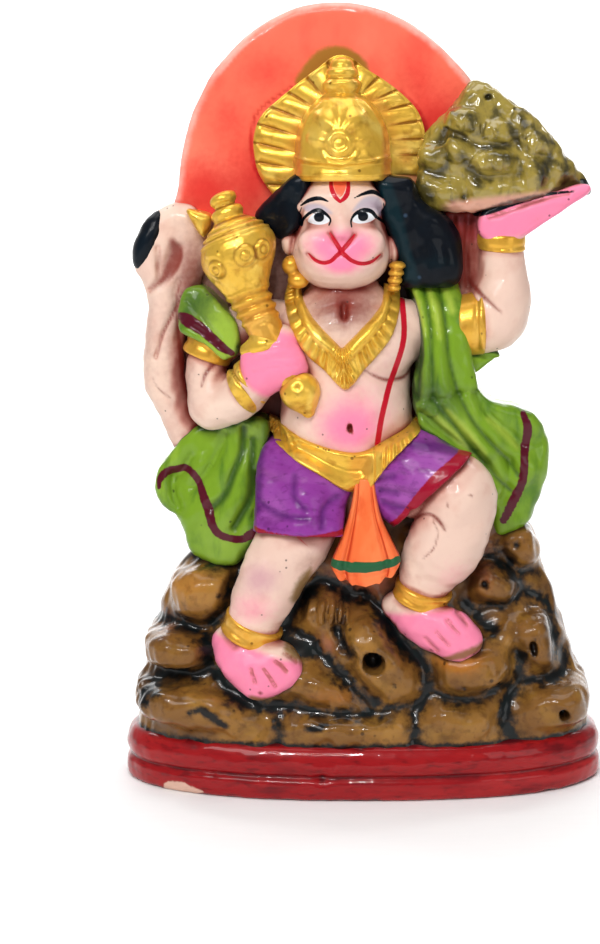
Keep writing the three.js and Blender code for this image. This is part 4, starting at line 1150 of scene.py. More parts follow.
def hill_mould():
    """The hilltop: a lumpy half dome with an undercut base, rows of short ridges, and hollows."""
    outline = [(29.2, 184.9), (33.2, 183.9), (37.4, 180.8), (42.6, 176.9), (47.4, 172.9), (52.9, 166.5),
               (57.6, 160.8), (60.0, 157.6), (59.4, 155.4), (54.4, 155.8), (47.0, 154.8), (40, 153.4),
               (34.8, 152.2), (28.9, 151.6), (22.5, 151.6), (17.1, 153.0), (14.9, 157), (14.9, 162),
               (15.9, 168.5), (17.6, 172.4), (22.1, 176.7), (25.8, 181.0)]
    front = depth_between([(29, 183, -5.5), (24, 177, -8), (35, 178, -9), (18, 170, -8.5), (30, 172, -12.6),
                           (42, 174, -8.6), (17, 160, -9.5), (26, 162, -13.0), (37, 164, -13.4),
                           (48, 168, -8.4), (46, 160, -11.6), (56, 161, -6.4), (59, 157, -4.5),
                           (22, 154, -10.5), (32, 154.5, -11.8), (42, 157, -11.4)], 6)
    steps = [join(slab(smooth_loop(outline, 5), front, 7.5, 2.6))]
    swellings = [((26.6, -9.6, 174.6), 3.4), ((36.7, -9.6, 171.6), 3.6), ((24.2, -10.6, 167.4), 3.6),
                 ((34.4, -11.0, 164.4), 4.0), ((44.0, -8.8, 162.0), 3.8), ((51.0, -6.0, 162.0), 3.4),
                 ((18.9, -8.2, 165.6), 3.0), ((23.6, -9.4, 157.4), 3.4), ((41.0, -7.2, 174.0), 3.0),
                 ((44.6, -7.4, 168.6), 3.4), ((30.4, -9.6, 157.6), 3.2), ((30.6, -6.0, 180.2), 3.0),
                 ((18.6, -7.6, 157.6), 2.6), ((38.0, -9.4, 157.8), 3.0)]
    steps += [join(stone(centre, (size * 1.25, size, size), power=2.2, rough=0.12, seed=60 + i), 2.0)
              for i, (centre, size) in enumerate(swellings)]
    rows = [((20.8, 174.4), (22.6, 175.4), (24.4, 175.0), (26.2, 174.2), (28.2, 173.4), (30.2, 172.8),
             (32.2, 172.4), (34.2, 172.0)), ((28.6, 164.4), (30.4, 164.0), (32.2, 163.8), (34.0, 163.8),
                                             (35.8, 164.2), (37.6, 164.8)),
            ((41.4, 169.6), (43.0, 169.0), (44.6, 168.4), (46.2, 168.0), (47.8, 167.8))]
    for row in rows:
        for x, z in row:
            tilt = 0.6 * math.sin(5.1 * x)
            reach = 1.2 + 0.5 * math.sin(2.3 * x + z)
            line = [(x + tilt, -13, z + reach), (x, -14, z), (x - tilt, -14, z - reach)]
            steps.append(scored(line, 0.62, -0.6, 7))
    valleys = [[(16.4, 163), (20, 161.6), (22.4, 164), (21.6, 169)],
               [(26.6, 170), (30, 168.6), (33.4, 168.2), (38.6, 168.4)],
               [(38, 176), (39.2, 171.4), (41, 166.8), (41, 161.4)],
               [(27, 163), (29.8, 161), (35, 160.6), (40, 160.8)], [(46.6, 165.4), (48.4, 161.6), (48.4, 158)],
               [(53.4, 165.6), (53.6, 161.6), (52.6, 158.6)], [(22.4, 160.4), (26, 160), (27, 156)]]
    steps += [scored(at_depth(line, -13), 1.7, 1.2, 8) for line in valleys]
    steps.append(cut(ball((32.8, -9.6, 180.6), (1.1, 3.0, 0.8), lean=-20), 0.8))
    steps.append(cut(ball((26.6, -12.4, 155.6), (1.0, 2.4, 0.9)), 0.6))
    steps.append(uneven(6.5, 0.25, 41))
    return steps


def halo_outline():
    """The halo's round edge, and the plain back that goes down behind the figure."""
    arc = [(-50.2, 150.0), (-48.2, 156.0), (-45.9, 169.4), (-42.0, 180.8), (-35.6, 190.6), (-27.6, 198.0),
           (-18.2, 203.2), (-7.6, 205.2), (2.6, 204.2), (12.6, 200.0), (21.8, 193.0), (29.4, 184.6),
           (33.4, 176.0), (34.4, 166.0)]
    behind = [(33.4, 156), (31.2, 146), (31.5, 134), (30, 112), (24, 92), (0, 86), (-30, 88), (-46, 96),
              (-50.4, 114), (-51, 134)]
    return arc, behind


def halo_mould(sizes):
    """The round halo and the plain back of the figure, one slab with low swellings behind the back and head."""
    arc, behind = halo_outline()
    half = sizes.halo_thickness / 2 / MM
    return [
        join(slab(smooth_loop([*arc, *behind], 6), 4.0 - half, 4.0 + half, 2.6)),
        join(limb([(-5, 2, 66, 26), (-5, 5, 92, 25), (-5, 6, 118, 24), (-5, 6, 136, 18), (-5.4, 5.6, 152, 14.5),
                   (-5.6, 4.6, 168, 11.6)], flat=0.34), 4),
        uneven(20, 0.2, 42),
    ]


def shorts_mould():
    """The short trousers: a leg over each thigh, cut flat at the hem, drawn in at the crotch, with folds."""
    left_outline = smooth_loop([(-22.6, 93.4), (-26.5, 89.0), (-27.4, 81.0), (-27.4, 75.4), (-27.0, 70.6),
                                (-26.8, 65.0), (-5.4, 63.0), (-4.6, 70.0), (-3.8, 76.8), (-2.0, 81.0), (2, 83),
                                (2, 86), (-4, 86.6), (-14, 90.4)], 5)
    left_front = depth_between([(-24, 92, -15), (-14, 89, -20.4), (-4, 86, -20.4), (-25, 80, -20),
                                (-14, 80, -27.0), (-5, 80, -22.0), (-25, 70, -24), (-15, 70, -29.0),
                                (-7, 70, -26.6)], 5.5)
    steps = [
        join(slab(left_outline, left_front, 6, 4.0)),
        join(limb([near(KNEE_HANGING, 1.5, 7, 11, 10.6), near(KNEE_HANGING, 0, 1.0, 2, 11.2),
                   near(KNEE_HANGING, -1.2, 0.8, -3, 11.0)], flat=0.9), 2),
        cut(beyond((-15, -24, 70.2), (-0.05, -0.12, -1)), 0.5),
    ]
    right = [
        join(limb([near(WAIST, 5, 0.5, -6, 10.6), near(WAIST, 15, -6.4, -9.4, 10.6),
                   near(KNEE_RAISED, -5.0, 0.6, 1.0, 10.6), near(KNEE_RAISED, 0.4, -0.6, -0.6, 10.6)])),
        join(limb([(4.4, -16, 84, 4.4), (10, -17, 78, 6.4), (15, -18, 77, 7.4)]), 3),
        cut(beyond((20.6, -22, 83.2), (0.68, -0.1, -0.72)), 0.5),
        cut(beyond((9, -14, 94.2), (-0.46, 0, 0.89)), 0.8),
    ]
    folds = [[(-17.2, -27, 85.2), (-16.8, -27, 80.3), (-13.9, -27, 77.3)],
             [(-25.4, -20, 77.6), (-20, -25, 75.6), (-14, -28, 75.4)],
             [(4.8, -22, 84.4), (8.3, -24, 85.6), (11, -25, 86)],
             [(5.0, -22, 81.4), (9.2, -24, 81.4), (12, -25, 81)],
             [(6.0, -22, 78.4), (10.7, -24, 77.4), (13, -25, 76.6)],
             [(-6.2, -23, 80), (-9.6, -25, 77.4), (-10, -26, 73)],
             [(-24.6, -16, 86.6), (-20, -20, 84), (-18, -24, 80)]]
    return steps, right, [scored(line, 0.9, 0.55, 7) for line in folds]


def shorts_clay():
    """Both legs of the trousers joined: the distance to the nearer leg."""
    left, right, folds = shorts_mould()
    both = Form(
        lambda points: np.minimum(measure(left, points), measure(right, points)),
        np.array([-28, -32, 62.0]), np.array([34, 10, 100.0]),
    )
    return [join(both), *folds, uneven(8, 0.2, 43)]


def sash_grid():
    """The sash as a band whose front is pleated: five ridges fan out down its length, and the end is bowed."""
    left = [(-1.6, -19.0, 84.0), (-2.2, -19.6, 79.4), (-3.6, -20.4, 73.6), (-5.9, -21.2, 67.4),
            (-7.8, -21.6, 62.6), (-7.2, -21.6, 60.0)]
    right = [(3.6, -19.0, 84.0), (4.2, -19.6, 79.4), (5.6, -20.4, 73.6), (8.4, -21.2, 67.6),
             (10.2, -21.6, 63.6), (9.6, -21.6, 61.0)]

    def pleats(u, across):
        ridge = np.abs(np.cos(2.5 * math.pi * across))
        hem = bell(u - 0.79, 0.03) - bell(u - 0.89, 0.025)
        return 1.3 * ridge * np.minimum(0.35 + u, 1) + 0.3 * hem

    grid = band(left, right, 2.1, 150, 100, 0.42, pleats)
    rows = grid.shape[0]
    u = np.linspace(0, 1, rows)[:, None]
    middle = grid.mean(1, keepdims=True)
    half = np.abs(grid - middle)[..., 0].max(1, keepdims=True)
    across = (grid[..., 0] - middle[..., 0]) / half
    bow = (1 - across**2) * climb(u, 0.45, 0.55) ** 1.5
    grid[..., 2] -= 3.2 * bow
    frill = climb(u, 0.9, 0.1) * np.cos(5 * math.pi * across)
    grid[..., 2] -= 0.45 * frill
    return grid


# Folds of the shawl and of its other end as lines of (x, z), pressed into the mould and painted darker as shade
SHAWL_FOLDS = [
    [(12.6, 131.6), (14.9, 125.2), (15.6, 117.8), (15.3, 109.4), (15.0, 104.4)],
    [(16.4, 132.6), (18.0, 123.7), (18.4, 115.3), (18.6, 107.9), (18.7, 104.4)],
    [(20.3, 133.0), (22.0, 123.2), (22.6, 116.3), (23.8, 110.3), (25.3, 105.3)],
    [(18.7, 104.1), (23.5, 98.0), (28.9, 91.0), (35.0, 83.3), (39.4, 78.8)],
    [(25.5, 104.8), (29.0, 98.2), (33.0, 93.1), (38.1, 87.5), (41.4, 83.0)],
]
SHAWL_END_FOLDS = [
    [(-30.6, 96.2), (-30.9, 90.3), (-33.2, 84.6), (-35.5, 78.8), (-39.1, 74.8)],
    [(-28.2, 93.0), (-28.4, 85.9), (-28.5, 78.8), (-31.2, 73.5), (-33.4, 69.9)],
]


def on_front(line, front):
    """A line of (x, z) laid on a front that is a function of x and z."""
    return [(x, float(front(x, z)), z) for x, z in line]


def fold_grooves(lines, front, deep, soft_width, soft_share):
    """Each fold's groove twice: narrow and deep, then wide and shallow."""
    steps = []
    for line in lines:
        places = on_front(line, front)
        steps.append(scored(places, 1.0, 0.8 * deep, 5))
        steps.append(scored(places, soft_width, soft_share * deep, 5))
    return steps


def shawl_mould(sizes):
    """The shawl over the shoulder: a draped sheet, its folds parted by thin grooves, with a flared end."""
    outline = [(12.0, 134.0), (13.6, 126.4), (14.6, 120.8), (14.9, 115.2), (13.8, 108.6), (13.6, 103),
               (14.4, 99.4), (16.4, 94.6), (23.4, 89.4), (28.4, 85.8), (32.4, 82.0), (34.2, 77.4), (34.4, 71.6),
               (35.6, 66.6), (40, 66.6), (44.6, 70.0), (46.8, 75.2), (48.8, 80.8), (49.8, 87.9), (48.7, 93.9),
               (45.5, 98.8), (40.5, 101.2), (34.0, 103.0), (30.6, 107.4), (29.8, 111.3), (28.8, 116.5),
               (28.2, 122.5), (26.4, 130.4), (24.4, 134.4), (18.6, 135.2)]
    front = depth_between([(12, 134, -8), (18, 134.5, -8), (25, 133, -6.5), (14.0, 127, -14.8),
                           (19, 127, -15.6), (26, 127, -12.4), (15, 116, -17.2), (21, 116, -16.6),
                           (27.6, 116, -13), (14.2, 105, -17.0), (20, 105, -17.2), (28.4, 106, -13.4),
                           (17, 97, -15.6), (25, 99, -16.0), (34, 101, -11.6), (25, 92, -15.4), (32, 93, -14.6),
                           (41, 97, -10.0), (36, 82, -12.6), (41, 86, -11), (48, 90, -7.6), (36.6, 70, -8.6),
                           (41, 76, -9), (46.6, 76, -6.6)], 4.6)
    steps = [join(slab(smooth_loop(outline, 5), front, 4.5, 2.6))]
    lines = [
        *SHAWL_FOLDS,
        [(16.0, 100.6), (20.4, 96.2), (26.6, 91.6), (32, 86.4)],
        [(29.6, 105.4), (33.4, 99.4), (38.4, 94.6), (42.0, 91.0)],
        [(37.4, 77.0), (38.8, 81.6), (39.2, 87.0)],
    ]
    waist = [(14.6, 104.8), (18, 103.9), (23, 104.4), (27.4, 105.6)]
    ring = [(18.0 + 1.9 * math.cos(a), 101.7 + 1.9 * math.sin(a)) for a in np.linspace(0, TURN, 9)]
    return [
        *steps,
        *fold_grooves(lines, front, sizes.fold_depth / MM, 2.2, 0.4),
        scored(on_front(waist, front), 0.7, 0.6),
        scored(at_depth(ring, -17), 0.45, -0.5),
        uneven(8, 0.22, 44),
    ]


def shawl_end_mould(sizes):
    """The shawl's other end below the tail, and the corner tucked behind the upper arm."""
    outline = [(-24.0, 97), (-30, 99), (-40, 97.6), (-46.6, 93.6), (-49.2, 90.4), (-53.7, 84.6), (-54.9, 79.3),
               (-53.0, 74.6), (-49.0, 71.4), (-46.9, 67.3), (-45.7, 62.9), (-42.1, 60.3), (-37.7, 58.9),
               (-33.1, 59.6), (-29.4, 63.0), (-25.6, 68.4), (-24.6, 74.0), (-25.6, 84)]
    front = depth_between([(-26, 94, -10.5), (-32, 92, -12), (-40, 92, -8), (-26, 84, -13), (-32, 84, -13.4),
                           (-40, 84, -10.4), (-50, 84, -6.4), (-27, 74, -13.6), (-34, 74, -14),
                           (-42, 74, -10.4), (-51, 77, -6.6), (-30, 66, -12.8), (-37, 65, -12.6),
                           (-43, 65, -9)], 4.6)
    steps = [join(slab(smooth_loop(outline, 5), front, 5, 2.6))]
    lines = [
        *SHAWL_END_FOLDS,
        [(-49.8, 82.7), (-49.9, 78.1), (-48.4, 74.4)],
        [(-35.4, 94.6), (-37.6, 88.6), (-40.8, 84.0), (-44.2, 79.8)],
        [(-44.6, 88.4), (-46.6, 84.8), (-49.4, 82.2)],
        [(-27.0, 84), (-26.8, 78), (-28, 73)],
    ]
    steps += fold_grooves(lines, front, sizes.fold_depth / MM, 2.3, 0.5)
    corner = smooth_loop([(-45.4, 132.2), (-41.0, 133.0), (-36.2, 129.2), (-32.0, 124.4), (-30.8, 119.6),
                          (-31.8, 116.0), (-35.4, 114.8), (-40.6, 118.8), (-46.6, 121.6), (-47.4, 126.6)], 5)
    steps.append(join(slab(corner,
                           depth_between([(-45, 130, -9), (-40, 124, -14.2), (-33, 117, -16), (-33, 124, -15)],
                                         5), 3, 2.0), 0.5))
    steps.append(scored([(-44.8, -10, 129.4), (-42.6, -11, 127.2), (-40.4, -12, 124.8), (-36, -13, 120)],
                        0.8, 0.9, 6))
    steps.append(scored([(-46.2, -10, 124.6), (-42.4, -12, 122.6), (-38.4, -13, 119.8), (-34.0, -14, 116.4)],
                        1.1, 0.8, 6))
    steps.append(uneven(8, 0.22, 45))
    return steps


def elbow_cloth_mould():
    """A small corner of the shawl that shows behind the raised elbow."""
    outline = smooth_loop([(25.6, 116.4), (28.6, 117.6), (33.6, 117.0), (36.6, 114.4), (33.8, 112.6),
                           (29.6, 109.6), (26.4, 111)], 5)
    return [
        join(slab(outline, -8.0, 3, 1.8)),
        scored([(28, -8, 115.6), (32, -8, 114.4), (35, -8, 114)], 0.7, 0.5, 5),
    ]


def front_of(mould, plan, last):
    """How deep the clay's front lies at each place in x and z: steps inwards by the distance to the skin."""
    points = np.column_stack([plan[:, 0], np.full(len(plan), BEFORE_CLAY), plan[:, 1]])
    for _ in range(26):
        gap = np.clip(measure(mould, points), -1.0, 12.0)
        points[:, 1] = np.minimum(points[:, 1] + 0.85 * gap, last)
    return points[:, 1]


def laid_band(first_edge, second_edge, height, mould, rows, columns, relief, sink, last):
    """A band laid on the clay. With u along two edges in x-z and v across, the top stands off the clay's front
    by the height times the cube root of 1 - |2v - 1| cubed, plus a relief of u and v; the underside is sunk
    into the clay."""
    first = smooth_path(first_edge, rows)
    second = smooth_path(second_edge, rows)
    v = np.linspace(0, 1, columns)
    plan = first[:, None] + (second - first)[:, None] * v[:, None]
    depth = front_of(mould, plan.reshape(-1, 2), last).reshape(rows, columns)
    padded = np.pad(depth, 2, mode="edge")
    depth = sum(padded[2 + i:2 + i + rows, 2 + j:2 + j + columns] for i in (-2, 0, 2) for j in (-2, 0, 2)) / 9
    u = np.linspace(0, 1, rows)[:, None]
    rise = np.maximum(1 - np.abs(2 * v - 1) ** 3, 0) ** (1 / 3)
    lift = height * rise + relief(u, v[None, :]) * rise
    over = np.stack([plan[..., 0], depth - lift, plan[..., 1]], -1)
    under = np.stack([plan[..., 0], depth + sink, plan[..., 1]], -1)
    return np.concatenate([over, under[:, ::-1]], axis=1)


def necklace_ribs(u, v):
    """The distance to the nearer end of the necklace, and how far a place lies in its ribbed part."""
    edge = np.minimum(u, 1 - u)
    return edge, climb(edge, 0.38, -0.04) * climb(v, 0.56, -0.05)


def necklace_grid(clay):
    """The broad necklace in a V: a smooth roll along its inner edge, cross ribs and a leafy lower part."""
    outer = [(-18.8, 133.6), (-19.6, 129), (-17.6, 122.6), (-14.0, 116.6), (-9.2, 112.2), (-6.0, 108.8),
             (-3.8, 107.4), (-1.7, 108.8), (1.0, 112.2), (4.6, 116.2), (8.2, 121.0), (10.2, 127), (10.4, 133)]
    inner = [(-15.2, 134.4), (-14.8, 130.6), (-12.6, 126.4), (-10.2, 123.6), (-7.6, 121.0), (-5.8, 119.2),
             (-4.6, 118.2), (-3.4, 119.2), (-1.6, 121.0), (0.8, 123.4), (3.4, 126.0), (5.6, 129), (6.2, 133.6)]

    def relief(u, v):
        roll = 1.0 * bell(v - 0.76, 0.17, 4)
        edge, ribbed = necklace_ribs(u, v)
        ribs = 0.4 * ribbed * np.cos(TURN * 26 * u)
        middle = climb(edge, 0.36, 0.05)
        leaf = 0.6 * middle * bell(v - 0.16, 0.12) * (0.6 + 0.6 * np.cos(TURN * 22 * (u - 0.5)))
        stem = 0.5 * middle * bell(u - 0.5, 0.012)
        veins = 0.3 * middle * np.cos(TURN * (30 * np.abs(u - 0.5) + 3.0 * v))
        return roll + ribs + leaf + stem + veins

    return laid_band(outer, inner, 1.9, clay, 280, 28, relief, 1.6, -8.0)


def belt_grid(clay):
    """The cloth belt, pointed over the knot: rolled edges, a pattern at one end and ribs at the other."""
    lower = [(-24.2, 94.6), (-21.8, 92.6), (-16.3, 88.7), (-9.9, 85.2), (-5.5, 82.2), (-1.4, 80.2), (1.6, 80.6),
             (4.6, 84.8), (7.5, 88.8), (12.4, 93.6), (16.4, 96.6)]
    upper = [(-24.0, 98.8), (-20.8, 97.4), (-15.0, 94.4), (-9.2, 92.5), (-5.0, 91.5), (-1.2, 91.1), (2.0, 91.8),
             (5.6, 93.6), (9.0, 95.2), (12.8, 97.0), (16.0, 99.4)]

    def relief(u, v):
        roll = 0.45 * bell(v - 0.9, 0.09) + 0.3 * bell(v - 0.12, 0.1)
        start = climb(u, 0.2, -0.02)
        pattern = 0.45 * start * np.cos(TURN * 26 * u) * np.cos(TURN * 2 * v)
        end = climb(u, 0.7, 0.02)
        ribs = 0.4 * end * np.cos(TURN * (22 * u + 0.8 * v)) * climb(v, 0.85, -0.1)
        line = -0.5 * bell(u - 0.665 + 0.02 * v, 0.006)
        return roll + pattern + ribs + line

    return laid_band(lower, upper, 1.5, clay, 270, 28, relief, 2.0, -4.0)


def fan_share(u):
    """How far a place along the fan is from the nearest rib, in spans between the ribs."""
    return np.abs(u * FAN_SPANS - np.round(u * FAN_SPANS))


def fan_grid():
    """The fan behind the crown: between its inner and outer edge, sharp ribs with hollow scallops between them,
    and a roll along the outer edge."""
    outer = [(-21.6, 156.6), (-25.6, 162.2), (-26.9, 167.4), (-26.7, 172.2), (-24.6, 176.6), (-20.2, 180.2),
             (-15.4, 183.8), (-10.2, 187.4), (-4.5, 190.9), (1.8, 187.0), (7.0, 183.6), (11.2, 180.4),
             (14.6, 176.8), (16.3, 172.4), (16.6, 168.0), (16.0, 163.6), (13.4, 157.8)]
    inner = [(-14.0, 157.4), (-14.4, 161.0), (-13.0, 164.4), (-12.4, 168.4), (-11.6, 172.0), (-10.0, 175.4),
             (-8.4, 178.2), (-6.6, 180.2), (-4.4, 181.4), (-2.2, 180.4), (0.0, 179.2), (1.8, 177.4),
             (3.6, 174.8), (4.8, 171.6), (5.4, 168.4), (6.0, 164.6), (6.6, 158.4)]

    def ribs(u, across):
        hollow = 1.3 * np.cos(math.pi * fan_share(u)) ** 0.6 - 0.7
        inside = to_one((0.86 + across) / 0.12) * climb(across, 0.42, -0.3)
        roll = 0.75 * bell(across + 0.93, 0.07)
        roll = roll * climb(u, 0.18, 0.06) * climb(u, 0.86, -0.06)
        return hollow * inside + roll

    return band(at_depth(outer, -1.6), at_depth(inner, -4.2), 3.6, 400, 44, 0.3, ribs)


def cap_grid():
    """The domed cap and its finial: a profile turned about an upright axis, with a band, a ring, petals and
    side ridges raised on its front."""
    profile = [(2.9, 11.2), (3.0, 12.0), (3.6, 12.5), (4.8, 12.6), (6.8, 12.4), (8.0, 12.7), (9.2, 12.3),
               (13.0, 12.0), (17.0, 11.0), (20.4, 9.2), (23.0, 6.8), (24.4, 4.9), (24.9, 4.2), (25.4, 4.4),
               (26.4, 4.9), (27.4, 5.0), (28.2, 4.3), (28.8, 3.7), (29.6, 4.1), (30.6, 4.0), (31.4, 3.2),
               (32.4, 3.0), (33.4, 2.2), (33.9, 0.5)]

    def relief(points):
        x, y, z = points.T
        front = climb(-y, 9.6, 1.5)
        top = 164.4 + 0.014 * (x + 4.4) ** 2
        lift = 0.45 * bell(z - top, 0.5) + 0.3 * bell(z - 161.6, 0.4)
        lift -= 0.2 * bell(z - top + 1.4, 0.7)
        ring = plan_gap(points, CROWN_STAR)
        lift += 1.0 * bell(ring - 2.4, 0.6) + 0.35 * bell(ring, 1.3)
        crescent = plan_gap(points, (-4.9, 168.8))
        lift += 0.45 * bell(crescent - 4.6, 0.5) * climb(z, 168.4, -1.5)
        petals = [[(-9.8, 176.2, 0.8), (-7.9, 175.4, 1.6), (-6.2, 173.2, 0.7)],
                  [(-4.9, 178.6, 0.5), (-4.8, 176.2, 1.4), (-4.9, 173.6, 0.6)],
                  [(0.2, 176.2, 0.8), (-1.8, 175.2, 1.6), (-3.6, 173.2, 0.7)],
                  [(-12.0, 171.0, 0.5), (-10.2, 170.6, 1.2), (-8.4, 170.2, 0.5)],
                  [(2.2, 171.0, 0.5), (0.4, 170.6, 1.2), (-1.6, 170.2, 0.5)]]
        lift += 0.9 * strokes(points, petals, 1.0, 2.2)
        for line in ([(-15.0, 166.2), (-14.2, 171.8), (-12.4, 176.4), (-9.0, 180.2)],
                     [(6.6, 166.2), (5.8, 171.8), (4.0, 176.2), (0.8, 180.2)]):
            lift += 0.5 * stroke(points, line, 0.35, 1.2)
        lift -= 0.5 * bell(plan_gap(points, (-4.2, 183.2)), 1.1)
        lift += 0.06 * lumps(points, 3.0, 47)
        return lift * front

    return turned(profile, (-4.3, -8.4, 157.0), (-4.3, -8.0, 190.9), 160, 180, relief)


def mace_bend(points):
    """How far the mace bows to the left of its axis: straight lines between a few distances along it."""
    along = (points - MACE_TIP) @ unit(POMMEL - MACE_TIP)
    bow = np.interp(along, (0, 15, 28, 38, 60), (-0.9, -2.0, -3.8, -2.8, 0.0))
    return bow[..., None] * np.array([1.0, 0, 0])


def mace_rings(along):
    """The wave of the rings round the shoulder and round the neck, each with how far it shows at a place."""
    return [(np.cos((along - start) * TURN / pitch), bell(along - middle, reach, 4))
            for start, pitch, middle, reach in ((9.2, 1.7, 11.2, 2.0), (27.4, 2.5, 31.2, 4.6))]


def mace_grid():
    """The mace: a profile turned about its leaning axis, with rings round shoulder and neck, and flowers."""
    profile = [(0.0, 0.3), (0.4, 2.3), (1.3, 3.4), (2.5, 3.5), (3.4, 2.9), (4.0, 2.8), (4.8, 3.9), (5.9, 4.3),
               (6.8, 4.0), (7.5, 4.0), (8.4, 5.2), (9.8, 6.9), (11.4, 8.3), (13.4, 9.5), (15.8, 10.1),
               (18.2, 9.8), (20.8, 8.8), (23.4, 7.4), (26.0, 6.2), (28.6, 5.4), (31.4, 5.1), (34.4, 4.9),
               (37.4, 4.6), (41, 4.2), (45, 4.0), (49, 3.6), (54, 3.4)]
    axis = unit(POMMEL - MACE_TIP)

    def relief(straight):
        points = straight + mace_bend(straight)
        shoulder, neck = mace_rings((straight - MACE_TIP) @ axis)
        lift = 0.34 * shoulder[0] * shoulder[1]
        lift += 0.4 * neck[0] * neck[1]
        for place, size in MACE_FLOWERS:
            lift += 1.15 * boss(points, place, size)
        for line in ([(-31.8, 140.6), (-30.2, 138.8), (-28.2, 138.9), (-26.4, 140.2)],
                     [(-26.0, 141.0), (-24.4, 139.9), (-22.6, 141.0)],
                     [(-38.4, 141.8), (-36.0, 142.0), (-34.6, 140.4), (-34.8, 137.4), (-35.8, 135.6)],
                     [(-36.4, 134.2), (-34.6, 132.4), (-33.2, 131.2)],
                     [(-29.6, 136.0), (-27.8, 134.6), (-25.6, 135.2)]):
            lift += 0.5 * stroke(points, line, 0.3, 1.1) * (points[:, 1] < -13)
        return lift + 0.07 * lumps(points, 2.4, 48)

    grid = turned(profile, MACE_TIP, POMMEL, 210, 150, relief)
    return grid + mace_bend(grid)


def mace_parts_mould():
    """The gold parts near the mace: the pommel and its dimple, the cone over the fist, the lobe by the tail."""
    return [
        join(ball(POMMEL, (5.2, 5.0, 5.2))),
        join(limb([near(POMMEL, 1.2, 0, -3.0, 3.0), near(POMMEL, 2.0, 0, -5.0, 1.9)]), 1.2),
        cut(ball(near(POMMEL, -0.6, -6.2, 1.6), (1.0, 1.9, 1.0)), 0.8),
        join(limb([(-24.9, -17.6, 124.6, 1.2), (-25.0, -18.6, 121.6, 2.6), (-25.6, -18.8, 118.4, 3.6)],
                  flat=0.8), 0.5),
        join(limb([(-28.8, -18.2, 117.4, 2.0), (-25.2, -20.4, 118.8, 2.2), (-21.6, -19.8, 119.6, 1.8)]), 1.2),
        join(slab(smooth_loop([(-44.8, 152.8), (-41.8, 152.5), (-38.4, 151.2), (-38.6, 148.8), (-40.4, 145.6),
                               (-42.9, 148.8)], 5), -9.4, 3, 2.2), 0.5),
        uneven(5, 0.12, 49),
    ]


def jewel_moulds():
    """Armlets, bracelets, anklets and earrings: bands cut by two planes from a limb thicker than its own."""
    def ring(stations, flat, place, normal, width, ribs):
        plane = unit(np.asarray(normal, float))
        place = np.asarray(place, float)
        steps = [join(limb(stations, flat=flat)), cut(beyond(place + plane * width / 2, plane), 0.7),
                 cut(beyond(place - plane * width / 2, -plane), 0.7)]
        return steps + ribs

    high = [near(ELBOW_HIGH, 1.6, 0, 8.6, 7.2), near(WRIST_HIGH, 0.2, 0, -4.5, 6.4),
            near(WRIST_HIGH, 0, 0, 0.5, 6.3), near(WRIST_HIGH, 0, 0, 4, 6.2)]
    wrist = ring(high, 0.95, (36.6, -6, 144.4), (0.04, -0.1, 1),
                 5.0, [scored([(30, -11, 146.2), (36.6, -13, 146.0), (43, -11, 146.4)], 0.5, 0.45, 7),
                       scored([(30, -11, 142.8), (36.6, -13, 142.4), (43, -11, 142.8)], 0.5, 0.35, 7)])
    armlet_high = ring([(18, -5, 121.8, 7.6), (25, -5.6, 122.0, 7.9), (31, -5.6, 122.8, 8.3),
                        (36, -5.5, 124.0, 8.5)], 0.95, (28.8, -6, 124), (1, 0, 0.04),
                       7.0, [scored([(30.4, -14, 131.6), (30.0, -15, 124), (30.6, -14, 116.6)], 0.55, 0.45, 8),
                             scored([(31.4, -14, 131.6), (31.0, -15, 124), (31.6, -14, 116.6)], 0.5, -0.6, 8)])
    armlet_low = ring([(-35.4, -6.2, 120.4, 6.6), (-39.2, -6.6, 117.0, 6.6), (-41.4, -6.8, 111.6, 6.4)],
                      1.0, (-40.4, -7, 117.0), (0.36, 0, 0.93),
                      5.2, [scored([(-46, -9, 119.0), (-42, -13, 118.4), (-37, -13, 115.6)], 0.6, 0.35, 6)])
    forearm = [near(ELBOW_LOW, 2.0, -1.2, 1.4, 6.4), near(ELBOW_LOW, 6.4, -3.4, 3.2, 6.7),
               near(FIST, -4.8, 0.4, -4.4, 6.2), near(FIST, -1.6, 0.2, -1.4, 6.2)]
    bracelet = ring(forearm, 1.0, (-29.4, -14, 108.6), (0.80, -0.25, 0.50),
                    5.2,
                    [scored([(-34.0, -14, 113.6), (-31.4, -19, 110.2), (-27.4, -20, 105.8), (-26, -17, 103)],
                            0.6, 0.9, 6)])
    ankle_low = ring([near(ANKLE_HANGING, 2.4, 0, 5.6, 8.4), near(ANKLE_HANGING, 0.4, 0.2, -0.2, 7.9),
                      near(ANKLE_HANGING, -1.6, 0, -4, 7.8)], 0.86, (-29.2, -18.5, 44.0), (0.40, -0.22, 0.9),
                     5.0, [scored([(-36, -20, 46), (-29, -27, 42.2), (-21, -24, 41)], 0.7, 0.3, 6)])
    ankle_raised = ring([near(ANKLE_RAISED, 2.0, 0, 6, 8.6), near(ANKLE_RAISED, -0.8, 0, -0.6, 7.4),
                         near(ANKLE_RAISED, -2.2, 0, -4, 7.2)], 0.88, (15.4, -17.5, 53.2), (0.30, -0.26, 0.9),
                        4.2, [scored([(9, -20, 55), (14, -25, 51.8), (21, -23, 51.6)], 0.7, 0.35, 6)])
    earrings = [join(ball((-17.6, -11.6, 138.6), (2.4, 2.6, 2.6))),
                join(ball((-15.8, -12.4, 134.8), (2.8, 2.6, 2.2)), 0.9)]
    for i in range(4):
        earrings.append(join(ball((9.6 - 0.3 * i, -12.2, 138.4 - 1.9 * i), (2.2 - 0.12 * i, 2.4, 1.15)), 0.5))
    return {"wristband": wrist, "upper_armlet": armlet_high, "lower_armlet": armlet_low, "bracelet": bracelet,
            "hanging_anklet": ankle_low, "raised_anklet": ankle_raised, "earrings": earrings}


# Putting a piece into the scene

